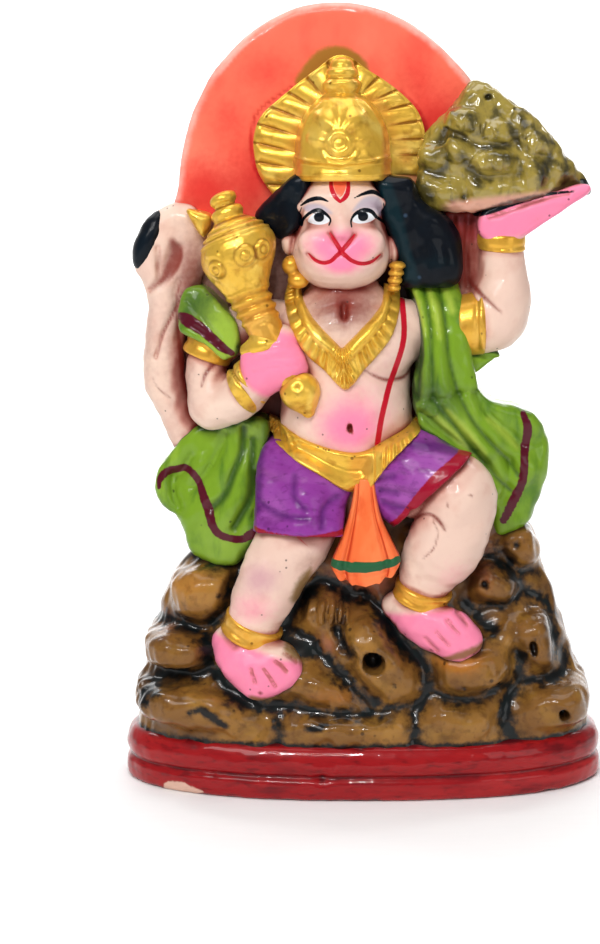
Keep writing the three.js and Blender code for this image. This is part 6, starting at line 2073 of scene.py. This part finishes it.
def hill_marks(points, normals):
    """Dark mottles between the swellings, the dark lower corner, the black tip and a pink underside."""
    x, _, z = points.T
    dark = strokes(points, [[(16.4, 163, 0.6), (19.6, 161.4, 1.4), (22.4, 164, 0.7), (21.6, 168, 0.5)],
                            [(26.6, 170, 0.5), (30, 168.4, 0.7), (33.4, 168.0, 1.0), (38.6, 168.4, 0.7)],
                            [(38, 174, 0.5), (39.4, 171.4, 1.4), (41, 168, 0.8)],
                            [(41, 164, 0.5), (41, 161, 0.6)],
                            [(25.6, 166.6, 0.6), (27.6, 163.6, 1.2), (30, 161, 0.9), (33.4, 159.8, 0.5)],
                            [(44.6, 164.4, 0.6), (46.4, 161.4, 1.4), (46.6, 158.6, 0.7)],
                            [(52.8, 165.4, 0.6), (52.9, 162, 1.1), (52.2, 158.8, 0.6)],
                            [(48.6, 166.6, 0.5), (47.8, 163.4, 1.3), (47.2, 160.2, 0.9)],
                            [(28.8, 163, 0.9), (30.2, 159.2, 1.6)],
                            [(34.0, 166.8, 0.6), (37.2, 165.6, 1.1), (40.0, 165.2, 0.5)],
                            [(40.6, 176.4, 0.5), (42.0, 173.4, 1.2)],
                            [(44, 173, 0.8), (47, 170, 1.2), (50, 168.6, 0.6)],
                            [(26.6, 155.9, 0.4), (26.7, 155.4, 0.8)], [(32.6, 180.8, 0.3), (33.2, 180.4, 0.5)],
                            [(24, 178.6, 0.4), (24, 176.6, 0.4), (29, 175.8, 0.4)]], 0.8, 2.0)
    corner = patch(points, [(14.6, 159.4), (17.0, 159.2), (18.8, 157.6), (19.2, 155.4), (18.4, 153.4),
                            (17.0, 152.0), (14.6, 153.6)], 3.2)
    tip = patch(points, [(56.6, 159.6), (58.6, 159.4), (60.6, 157.4), (60.2, 153.8), (57.8, 154.4),
                         (58.0, 157.0)], 0.9)
    underside = climb(z, 156.2 + 0.10 * (x - 30), -2.0) * climb(x, 20, 4)
    # Painted shade: a dark line along the underside, in the gap over the palm.
    line = stroke(points, [(30, 151.4, 0.5), (34.0, 152.5, 0.7), (40.3, 154.4, 0.8), (46.6, 155.6, 0.6),
                           (54.8, 156.4, 0.4)], 0.5, 1.0)
    return {"crevice": strongest(0.95 * dark, line, corner), "black": tip, "pink": underside}


def shorts_marks(points, normals):
    """Crimson hems, and painted shade in the folds, down the outer side and under the belt."""
    raised = patch(points, [(7.4, 71.9), (9.3, 74.7), (11.5, 77.7), (14.4, 82.1), (18.3, 86.6), (22.7, 90.0),
                            (28.0, 92.6), (33.4, 91.6), (30.0, 86.0), (24, 84), (18, 76), (15.0, 70.4)], 0.9)
    ends = strokes(points, [[(-27.0, 71.4, 0.7), (-24, 71.2, 0.4), (-19, 71.0, 0.2), (-13, 70.8, 0.25),
                             (-9.0, 70.8, 0.6), (-4.4, 71.2, 0.8)]], 0.8, 0.9)
    folds = strokes(points, [[(-16.9, 85.4), (-16.9, 80.3), (-13.9, 77.3)],
                             [(-25.4, 77.6), (-20, 75.6), (-14, 75.4)], [(4.8, 84.4), (8.3, 85.4)],
                             [(5.0, 81.4), (9.2, 81.4)], [(6.0, 78.4), (10.7, 77.4)],
                             [(-6.2, 80), (-9.6, 77.4), (-10, 73)],
                             [(-26.4, 92, 1.6), (-26.6, 84, 1.4), (-26.6, 76, 0.8)],
                             [(11.6, 93.4, 0.8), (20, 92.6, 1.2), (28, 91, 0.8)]], 0.7, 2.0)
    return {"hem": np.maximum(raised, ends) * (points[:, 1] < -6), "shade": folds}


def shawl_marks(points, normals):
    """Maroon border near the flared end, painted shade in grooves and at the waist, painted highlights on folds.
    """
    border = [(42.4, 99.4, 0.8), (43.6, 95.4, 1.2), (42.9, 89.3, 1.1), (42.4, 81.6, 1.15), (39.8, 75.4, 1.3),
              (37.6, 70.8, 1.0)]
    grooves = strokes(points, SHAWL_FOLDS, 0.4, 1.3)
    shaded_part = 0.8 * glow(points, (20, -15, 103), (7, 12, 6)) + 0.5 * glow(points, (16, -14, 110), (4, 12, 8))
    # Painted highlights: yellow-green along the tops of the folds.
    sheen = strokes(points, [[(14.2, 131.4, 0.4), (15.6, 126, 0.7), (16.6, 121, 0.2)],
                             [(17.8, 131.8, 0.4), (19.6, 126, 0.7), (20.4, 120, 0.2)],
                             [(22.0, 132, 0.4), (23.8, 126.6, 0.7)],
                             [(22.4, 101.2, 0.2), (27.0, 96.0, 0.8), (32.0, 89.6, 0.5)],
                             [(19.8, 99.4, 0.4), (24.0, 95.0, 0.8), (27.4, 91.6, 0.3)],
                             [(33.0, 98.6, 0.2), (37.4, 94.4, 0.6), (41.0, 90.4, 0.2)]], 0.7, 2.4)
    return {"border": stroke(points, border, 1.1, 0.7) * (points[:, 1] < 3), "groove": grooves,
            "shade": np.minimum(shaded_part, 1), "sheen": sheen}


def shawl_end_marks(points, normals):
    """Maroon border along the lower end, the stroke on the corner above, painted shade in grooves, corner and
    hip.
    """
    border = [(-53.6, 79.6, 0.5), (-53.2, 82.0, 0.9), (-51.4, 83.8, 1.1), (-49.2, 84.4, 1.1),
              (-46.9, 84.9, 1.0), (-44.2, 83.8, 1.0), (-42.5, 81.1, 1.0), (-41.4, 78.0, 1.2),
              (-40.2, 74.6, 1.3), (-39.2, 70.6, 1.2), (-37.4, 68.2, 1.1), (-34.6, 67.2, 1.0),
              (-31.6, 66.8, 1.0), (-29.4, 68.0, 1.2), (-27.0, 69.6, 0.9)]
    corner = [(-46.4, 125.4, 1.2), (-44.4, 124.6, 1.7), (-41.4, 122.9, 1.5), (-38.4, 120.4, 1.3),
              (-35.4, 117.9, 1.2), (-33.0, 116.4, 0.8)]
    grooves = strokes(points, SHAWL_END_FOLDS, 0.9, 1.6)
    shaded_part = 0.9 * glow(points, (-42, -10, 128), (7, 12, 6)) + 0.7 * glow(points, (-25.6, -10, 92), (2.6, 12, 9))
    painted = np.maximum(stroke(points, border, 1.1, 0.7), stroke(points, corner, 1.4, 0.8))
    return {"border": painted * (points[:, 1] < 2), "groove": grooves, "shade": np.minimum(shaded_part, 1)}


def hair_marks(points, normals):
    """Teal beside the face, where the black is thin."""
    strip = [(6.6, 158.6, 1.6), (8.6, 152, 2.0), (10.2, 145, 2.0), (11.6, 138.6, 2.2), (14.0, 134.4, 1.4)]
    return {"teal": stroke(points, strip, 1.8, 1.6) + 0.4 * glow(points, (19, -14, 139), (6, 9, 2))}


def jewel_marks(points, normals):
    """A darker gold over the whole jewel, more of it on the anklets than on the jewels above the belt."""
    return {"amber": np.full(len(points), 0.45 if points[:, 2].min() > 60 else 0.62)}


def painted(name, mould, spacing, material, slot, marks=None, company=(), heights=(1.2, 3.4)):
    """Cast a mould, work out its creases and the paint on it, and put the piece into the scene."""
    points, faces, normals = cast(mould, spacing)
    values = {"crease": creases(points, normals, [mould, *company], heights)}
    if marks is not None:
        values.update(marks(points, normals))
    put(name, points, [faces], material, values)


class ClayIdolPiece:
    """What every operator that makes a piece shares."""

    bl_options = {"REGISTER", "UNDO"}


class CLAYIDOL_OT_plinth(ClayIdolPiece, bpy.types.Operator):
    """Make the oval red plinth"""

    bl_idname = "clay_idol.plinth"
    bl_label = "Plinth"

    def execute(self, context):
        sizes, paints = settings(context)
        points, faces = shell(plinth_grid(sizes))
        _, y, z = points.T
        # Painted shade: dark in the groove between the bands and over the top under the rocks.
        groove_line = to_one(1.1 - np.abs(z - 6.35) / 0.75) * (0.72 + 0.28 * lumps(points, 15, 53))
        top = climb(z, 13.6, 0.6) * to_one(0.75 + 0.25 * lumps(points, 12, 54))
        core = climb(plan_gap(points, PLINTH_BOSS), 1.5, -0.9) * (y < 0)
        dash = stroke(points, [(-8.8, 6.0, 0.2), (-5.0, 6.2, 0.3), (-2.0, 6.2, 0.1)], 0.3, 0.8) * (y < 0)
        chip = patch(points, [(-52.8, 1.6), (-50.4, 2.8), (-47.4, 3.0), (-45.0, 2.2), (-42.0, 0.9), (-46, -0.4),
                              (-52, -0.4)], 1.4) * (y < 0)
        marks = {"dark": strongest(groove_line, top, core, dash), "chip": chip}
        put("red_plinth", points, faces, finish(plinth_finish, paints), marks)
        return {"FINISHED"}


class CLAYIDOL_OT_rocks(ClayIdolPiece, bpy.types.Operator):
    """Make the heap of rocks"""

    bl_idname = "clay_idol.rocks"
    bl_label = "Rocks"

    def execute(self, context):
        sizes, paints = settings(context)
        plain = sizes.plain_step / MM
        company = [hanging_leg_mould(), raised_leg_mould(), shawl_end_mould(sizes)[:1], shawl_mould(sizes)[:1]]
        material = finish(rock_finish, paints)
        painted("rocks", rocks_mould(sizes), 1.15 * plain, material, "rock_paint", rocks_marks, company,
                (1.2, 4.6))
        return {"FINISHED"}


class CLAYIDOL_OT_hilltop(ClayIdolPiece, bpy.types.Operator):
    """Make the hilltop on the raised hand"""

    bl_idname = "clay_idol.hilltop"
    bl_label = "Hilltop"

    def execute(self, context):
        sizes, paints = settings(context)
        plain = sizes.plain_step / MM
        company = [raised_arm_mould()]
        material = finish(hill_finish, paints)
        painted("hilltop", hill_mould(), 0.8 * plain, material, "rock_paint", hill_marks, company, (1.0, 2.8))
        return {"FINISHED"}


class CLAYIDOL_OT_halo(ClayIdolPiece, bpy.types.Operator):
    """Make the round halo and the plain back"""

    bl_idname = "clay_idol.halo"
    bl_label = "Halo"

    def execute(self, context):
        sizes, paints = settings(context)
        plain = sizes.plain_step / MM
        material = finish(coral_finish, paints)
        painted("halo", halo_mould(sizes), 1.5 * plain, material, "coral_halo_paint", halo_marks)
        return {"FINISHED"}


class CLAYIDOL_OT_body(ClayIdolPiece, bpy.types.Operator):
    """Make the trunk, the limbs and the tail"""

    bl_idname = "clay_idol.body"
    bl_label = "Body, limbs and tail"

    def execute(self, context):
        sizes, paints = settings(context)
        plain = sizes.plain_step / MM
        skin_paint = finish(flesh_finish, paints)
        trunk = trunk_mould()
        raised_arm = raised_arm_mould()
        mace_arm = mace_arm_mould()
        left_leg = hanging_leg_mould()
        right_leg = raised_leg_mould()
        tail = tail_mould()
        head = head_mould()
        trousers = shorts_clay()
        hair = hair_mould()
        rocks = [join(heap())]
        halo = halo_mould(sizes)[:1]
        jewels = jewel_moulds()
        parts = [
            ("trunk", trunk, plain, trunk_marks, [mace_arm, head, trousers, tail]),
            ("raised_arm", raised_arm, plain, raised_arm_marks,
             [hill_mould(), hair, jewels["wristband"], jewels["upper_armlet"]]),
            ("mace_arm", mace_arm, 0.85 * plain, mace_arm_marks,
             [trunk, tail, jewels["bracelet"], jewels["lower_armlet"]]),
            ("hanging_leg", left_leg, 0.9 * plain, hanging_leg_marks,
             [rocks, trousers, jewels["hanging_anklet"]]),
            ("raised_leg", right_leg, 0.9 * plain, raised_leg_marks,
             [rocks, trousers, jewels["raised_anklet"]]),
            ("tail", tail, 0.9 * plain, tail_marks, [mace_arm, halo, shawl_end_mould(sizes)[:1]]),
        ]
        for name, mould, spacing, marks, company in parts:
            painted(name, mould, spacing, skin_paint, "flesh_paint", marks, company, (1.5, 5.6))
        return {"FINISHED"}


class CLAYIDOL_OT_head(ClayIdolPiece, bpy.types.Operator):
    """Make the head with its painted face, the hair and the tuft of the tail"""

    bl_idname = "clay_idol.head"
    bl_label = "Head, hair and tuft"

    def execute(self, context):
        sizes, paints = settings(context)
        fine = sizes.fine_step / MM
        plain = sizes.plain_step / MM
        skin_paint = finish(flesh_finish, paints)
        hair_paint = finish(black_finish, paints)
        head = head_mould()
        hair = hair_mould()
        painted("head", head, fine, skin_paint, "flesh_paint", head_marks, [trunk_mould(), hair])
        painted("hair", hair, plain, hair_paint, "black_hair_paint", hair_marks)
        painted("tail_tuft", tuft_mould(), plain, hair_paint, "black_hair_paint")
        return {"FINISHED"}


class CLAYIDOL_OT_crown(ClayIdolPiece, bpy.types.Operator):
    """Make the domed crown and the ribbed fan behind it"""

    bl_idname = "clay_idol.crown"
    bl_label = "Crown"

    def execute(self, context):
        paints = context.scene.clay_idol_paints
        gold = finish(gold_finish, paints)
        cap, faces = shell(cap_grid())
        x, y, z = cap.T
        off_axis = np.abs(x + 4.3)
        sides = climb(off_axis, 9.4, 1.6) * (z > 160) * (y < -4)
        # Crease values for painted shade in the rings near the top and round the star.
        creased = 0.5 * to_one(1 - np.abs(z - 181.0) / 1.2) + 0.5 * to_one(1 - np.abs(z - 185.6) / 0.7)
        ring = plan_gap(cap, CROWN_STAR)
        creased += 0.35 * bell(ring - 1.3, 0.5) + 0.4 * bell(ring - 4.0, 0.8) * (y < -8)
        put("crown_cap", cap, faces, gold,
            {"crease": to_one(creased), "amber": sides, "pink": 0.35 * sides})
        grid = fan_grid()
        fan, faces = shell(grid)
        rows, columns = grid.shape[:2]
        share = fan_share(np.linspace(0, 1, rows)[:, None] * np.ones(columns))
        # Crease values for painted shade in the hollows between the ribs, away from the inner edge.
        hollow = np.append((0.8 * climb(share, 0.34, 0.14)).ravel(), (0, 0))
        inner_edge = [(-14.4, 161.0), (-12.4, 168.4), (-10.0, 175.4), (-4.4, 181.4), (1.8, 177.4), (5.4, 168.4),
                      (6.0, 164.6)]
        hollow *= to_one(line_gap(flat(fan), inner_edge) / 3.0 - 0.9)
        left = [(-18.6, 161.4), (-16.7, 169.1), (-13.4, 177.0), (-8.6, 182.4)]
        right = [(11.2, 164.8), (10.4, 168.6), (8.0, 175.8), (3.0, 181.2)]
        inner = sum(to_one(1 - line_gap(flat(fan), line) / 2.6) for line in (left, right))
        low = climb(fan[:, 2], 161.6, -2) * (fan[:, 0] > 8)
        put("crown_fan", fan, faces, gold, {"crease": hollow, "amber": inner, "pink": low})
        return {"FINISHED"}


class CLAYIDOL_OT_mace(ClayIdolPiece, bpy.types.Operator):
    """Make the mace with its rings, flowers and pommel"""

    bl_idname = "clay_idol.mace"
    bl_label = "Mace"

    def execute(self, context):
        sizes, paints = settings(context)
        plain = sizes.plain_step / MM
        gold = finish(gold_finish, paints)
        points, faces = shell(mace_grid())
        axis = unit(POMMEL - MACE_TIP)
        along = (points - mace_bend(points) - MACE_TIP) @ axis
        # Crease values for painted shade in the rings, the grooves near the tip and round the flowers.
        creased = sum(0.5 * (0.5 - 0.5 * wave) * shown for wave, shown in mace_rings(along))
        creased += 0.8 * to_one(1 - np.abs(along - 4.2) / 0.8) + 0.8 * to_one(1 - np.abs(along - 8.2) / 0.8)
        for place, size in MACE_FLOWERS:
            gap = np.linalg.norm(points - np.array(place), axis=1)
            creased += 0.5 * bell(gap - 0.62 * size, 0.35) + 0.5 * bell(gap - 1.42 * size, 0.5)
        right = 0.3 * glow(points, (-22, -14, 138), (4, 12, 7))
        marks = {"crease": to_one(creased), "amber": climb(along, 24, 10) * 0.7, "pink": right}
        put("mace", points, faces, gold, marks)
        painted("mace_parts", mace_parts_mould(), 0.7 * plain, gold, "gold_paint", None, [mace_arm_mould()])
        return {"FINISHED"}


class CLAYIDOL_OT_jewels(ClayIdolPiece, bpy.types.Operator):
    """Make the necklace, armlets, bracelets, anklets and earrings"""

    bl_idname = "clay_idol.jewels"
    bl_label = "Jewels"

    def execute(self, context):
        sizes, paints = settings(context)
        plain = sizes.plain_step / MM
        gold = finish(gold_finish, paints)
        grid = necklace_grid(trunk_mould())
        points, faces = shell(grid)
        rows, columns = grid.shape[:2]
        v = np.linspace(0, 1, columns // 2)
        v = np.concatenate([v, v[::-1]])
        u = np.linspace(0, 1, rows)[:, None]
        # Crease values for painted shade between the ribs and along a line across the band.
        dark = 0.4 * necklace_ribs(u, v)[1] * (0.5 - 0.5 * np.cos(TURN * 26 * u))
        dark = dark + 0.35 * bell(v - 0.55, 0.05) * np.ones((rows, 1))
        put("necklace", points, faces, gold, {"crease": np.append(dark.ravel(), (0, 0))})
        for name, mould in jewel_moulds().items():
            marks = None if name == "bracelet" else jewel_marks
            painted(name, mould, 0.8 * plain, gold, "gold_paint", marks)
        return {"FINISHED"}


class CLAYIDOL_OT_trousers(ClayIdolPiece, bpy.types.Operator):
    """Make the violet trousers"""

    bl_idname = "clay_idol.trousers"
    bl_label = "Trousers"

    def execute(self, context):
        sizes, paints = settings(context)
        plain = sizes.plain_step / MM
        violet = finish(violet_finish, paints)
        company = [hanging_leg_mould(), raised_leg_mould(), trunk_mould()]
        painted("trousers", shorts_clay(), 0.9 * plain, violet, "violet_shorts_paint", shorts_marks, company)
        return {"FINISHED"}


class CLAYIDOL_OT_girdle(ClayIdolPiece, bpy.types.Operator):
    """Make the belt and the pleated sash"""

    bl_idname = "clay_idol.girdle"
    bl_label = "Belt and sash"

    def execute(self, context):
        paints = context.scene.clay_idol_paints
        gold = finish(gold_finish, paints)
        orange = finish(orange_finish, paints)
        clay = [*trunk_mould(), join(shorts_clay()[0].form)]
        points, faces = shell(belt_grid(clay))
        _, y, z = points.T
        spots = ((-11.0, 92.5), (-9.6, 92.1), (-9.0, 91.9), (-8.2, 91.8), (-1.6, 90.2))
        dots = strokes(points, [[(left, level), (left + 0.1, level)] for left, level in spots], 0.22, 0.5)
        line = stroke(points, [(3.4, 92.6), (3.4, 89.8), (2.9, 86.4)], 0.25, 0.8)
        knot = patch(points, [(-2.4, 90.6), (-1.0, 91.0), (2.6, 91.4), (3.4, 88), (2.4, 84), (0.4, 82.6),
                              (-2.4, 84), (-3.4, 87)], 2.2)
        edge = climb(z, 88.4, -5) * 0.3
        # The crease value of the line is painted shade in the groove on the belt.
        put("belt", points, faces, gold,
            {"crease": 0.6 * line, "black": dots * (y < -10), "amber": np.maximum(0.7 * knot, edge)})
        grid = sash_grid()
        points, faces = shell(grid)
        rows, columns = grid.shape[:2]
        u = np.append((np.linspace(0, 1, rows)[:, None] * np.ones(columns)).ravel(), (0, 1))
        across, _ = blunt_ring(columns, 0.42)
        front = np.ones((rows, 1)) * np.abs(np.cos(2.5 * math.pi * across))
        # Dark red in the hollows between the pleats: the sash's own lines, deepened as painted shade.
        pleat = np.append((climb(front, 0.46, -0.34)).ravel(), (0, 0))
        green = climb(np.abs(u - 0.79 + 0.008 * lumps(points, 3.0, 56)), 0.058, -0.014)
        put("sash", points, faces, orange,
            {"pleat": pleat, "band": green * (points[:, 1] < -18)})
        return {"FINISHED"}


class CLAYIDOL_OT_shawl(ClayIdolPiece, bpy.types.Operator):
    """Make the shawl, both its ends and the corner at the elbow"""

    bl_idname = "clay_idol.shawl"
    bl_label = "Shawl"

    def execute(self, context):
        sizes, paints = settings(context)
        plain = sizes.plain_step / MM
        green = finish(green_finish, paints)
        slot = "green_shawl_paint"
        company = [raised_leg_mould(), trunk_mould(), shorts_clay()]
        painted("shawl", shawl_mould(sizes), plain, green, slot, shawl_marks, company)
        company = [tail_mould(), hanging_leg_mould(), mace_arm_mould()]
        painted("shawl_end", shawl_end_mould(sizes), plain, green, slot, shawl_end_marks, company)
        painted("elbow_cloth", elbow_cloth_mould(), plain, green, slot, None, [raised_arm_mould()])
        return {"FINISHED"}


PAPER_DULL = (0.93, 0.93, 0.93, 1)
PAPER_BRIGHT = (0.97, 0.97, 0.97, 1)
ROOM_LIGHT = 0.25


def lamp(name, size, place, aim, power, spread=180.0):
    """A soft rectangular light at a place in metres, turned to an aim."""
    light = bpy.data.lights.new(name, "AREA")
    light.shape = "RECTANGLE"
    light.size, light.size_y = size
    light.energy = power
    light.spread = math.radians(spread)
    made = bpy.data.objects.new(name, light)
    made.location = place
    made.rotation_mode = "QUATERNION"
    made.rotation_quaternion = (Vector(aim) - Vector(place)).to_track_quat("-Z", "Y")
    bpy.context.scene.collection.objects.link(made)


class CLAYIDOL_OT_stage(ClayIdolPiece, bpy.types.Operator):
    """Lay the pale floor, hang the lights and set the camera"""

    bl_idname = "clay_idol.stage"
    bl_label = "Stage, lights and camera"

    def execute(self, context):
        scene = context.scene
        paper = bpy.data.materials.new("pale_floor")
        paper.use_nodes = True
        shader = paper.node_tree.nodes["Principled BSDF"]
        grain = node(paper.node_tree, "ShaderNodeTexNoise", {"Scale": 900.0, "Detail": 3.0}).outputs["Fac"]
        paper.node_tree.links.new(
            blended(paper.node_tree, grain, PAPER_DULL, PAPER_BRIGHT), shader.inputs["Base Color"]
        )
        shader.inputs["Roughness"].default_value = 0.9
        bend = np.linspace(0, math.pi / 2, 17)
        profile = [(-0.5, 0.0), *zip(1.1 + 0.5 * np.sin(bend), 0.5 - 0.5 * np.cos(bend)), (1.6, 2.4)]
        sheet = bpy.data.meshes.new("floor")
        corners = [(x, y, z) for y, z in profile for x in (-4.0, 4.0)]
        sheet.from_pydata(corners, [],
                          [(2 * i, 2 * i + 1, 2 * i + 3, 2 * i + 2) for i in range(len(profile) - 1)])
        sheet.shade_smooth()
        sheet.materials.append(paper)
        floor = bpy.data.objects.new("floor", sheet)
        scene.collection.objects.link(floor)
        world = bpy.data.worlds.new("dim_room")
        scene.world = world
        world.use_nodes = True
        background = world.node_tree.nodes["Background"]
        background.inputs["Color"].default_value = (1.0, 1.0, 1.0, 1.0)
        background.inputs["Strength"].default_value = ROOM_LIGHT
        middle = (0.0, 0.0, 0.1)
        lamp("soft_key", (0.34, 0.34), (-0.42, -0.66, 0.66), middle, 2.2)
        lamp("soft_fill", (0.4, 0.4), (0.62, -0.72, 0.30), middle, 0.9)
        lamp("soft_top", (0.8, 0.8), (0.0, 0.1, 1.3), (0.0, 0.0, 0.0), 5.4)
        for side in (-0.8, 0.8):
            lamp("wall_light", (0.5, 0.5), (side, 0.75, 1.3), (0.3 * side, 1.6, 0.25), 13.0, 140.0)
        place = Vector((-0.10, -0.50, 0.50))
        for side, size in (((0.10, 0.0), (0.010, 0.13)), ((-0.10, 0.0), (0.010, 0.13)),
                           ((0.0, 0.06), (0.21, 0.010)), ((0.0, -0.06), (0.21, 0.010))):
            spot = place + Vector((side[0], side[1] * 0.65, side[1] * 0.75))
            lamp("window_bar", size, tuple(spot), middle, 0.5)
        camera = bpy.data.objects.new("camera", bpy.data.cameras.new("camera"))
        stand = Vector(CAMERA_PLACE) * MM
        toward = Vector(CAMERA_AIM) * MM - stand
        camera.location = stand
        camera.rotation_mode = "QUATERNION"
        roll = Quaternion((0, 0, 1), math.radians(CAMERA_ROLL))
        camera.rotation_quaternion = toward.to_track_quat("-Z", "Y") @ roll
        camera.data.lens = CAMERA_LENS
        camera.data.sensor_width = 36
        camera.data.clip_start = 0.01
        scene.collection.objects.link(camera)
        scene.camera = camera
        scene.view_settings.view_transform = "Standard"
        return {"FINISHED"}


PIECES = (CLAYIDOL_OT_plinth, CLAYIDOL_OT_rocks, CLAYIDOL_OT_hilltop, CLAYIDOL_OT_halo, CLAYIDOL_OT_body,
          CLAYIDOL_OT_head, CLAYIDOL_OT_crown, CLAYIDOL_OT_mace, CLAYIDOL_OT_jewels, CLAYIDOL_OT_trousers,
          CLAYIDOL_OT_girdle, CLAYIDOL_OT_shawl, CLAYIDOL_OT_stage)


class CLAYIDOL_PT_pieces(bpy.types.Panel):
    """The pieces, the sizes and the paints"""

    bl_label = "Clay idol"
    bl_space_type = "VIEW_3D"
    bl_region_type = "UI"
    bl_category = "Clay idol"

    def draw(self, context):
        layout = self.layout
        column = layout.column(align=True)
        for piece in PIECES:
            column.operator(piece.bl_idname)
        for group in (context.scene.clay_idol_sizes, context.scene.clay_idol_paints):
            box = layout.box()
            for key in group.__annotations__:
                box.prop(group, key)


CLASSES = (ClayIdolPaints, ClayIdolSizes, *PIECES, CLAYIDOL_PT_pieces)


def register():
    """Register the classes and hang the sizes and paints on the scene."""
    for item in CLASSES:
        bpy.utils.register_class(item)
    bpy.types.Scene.clay_idol_sizes = bpy.props.PointerProperty(type=ClayIdolSizes)
    bpy.types.Scene.clay_idol_paints = bpy.props.PointerProperty(type=ClayIdolPaints)


def unregister():
    """Take both groups off the scene again and unregister the classes."""
    del bpy.types.Scene.clay_idol_paints
    del bpy.types.Scene.clay_idol_sizes
    for item in reversed(CLASSES):
        bpy.utils.unregister_class(item)


def main():
    """Make every piece in order."""
    register()
    for piece in PIECES:
        group, name = piece.bl_idname.split(".")
        getattr(getattr(bpy.ops, group), name)()


if __name__ == "__main__":
    main()
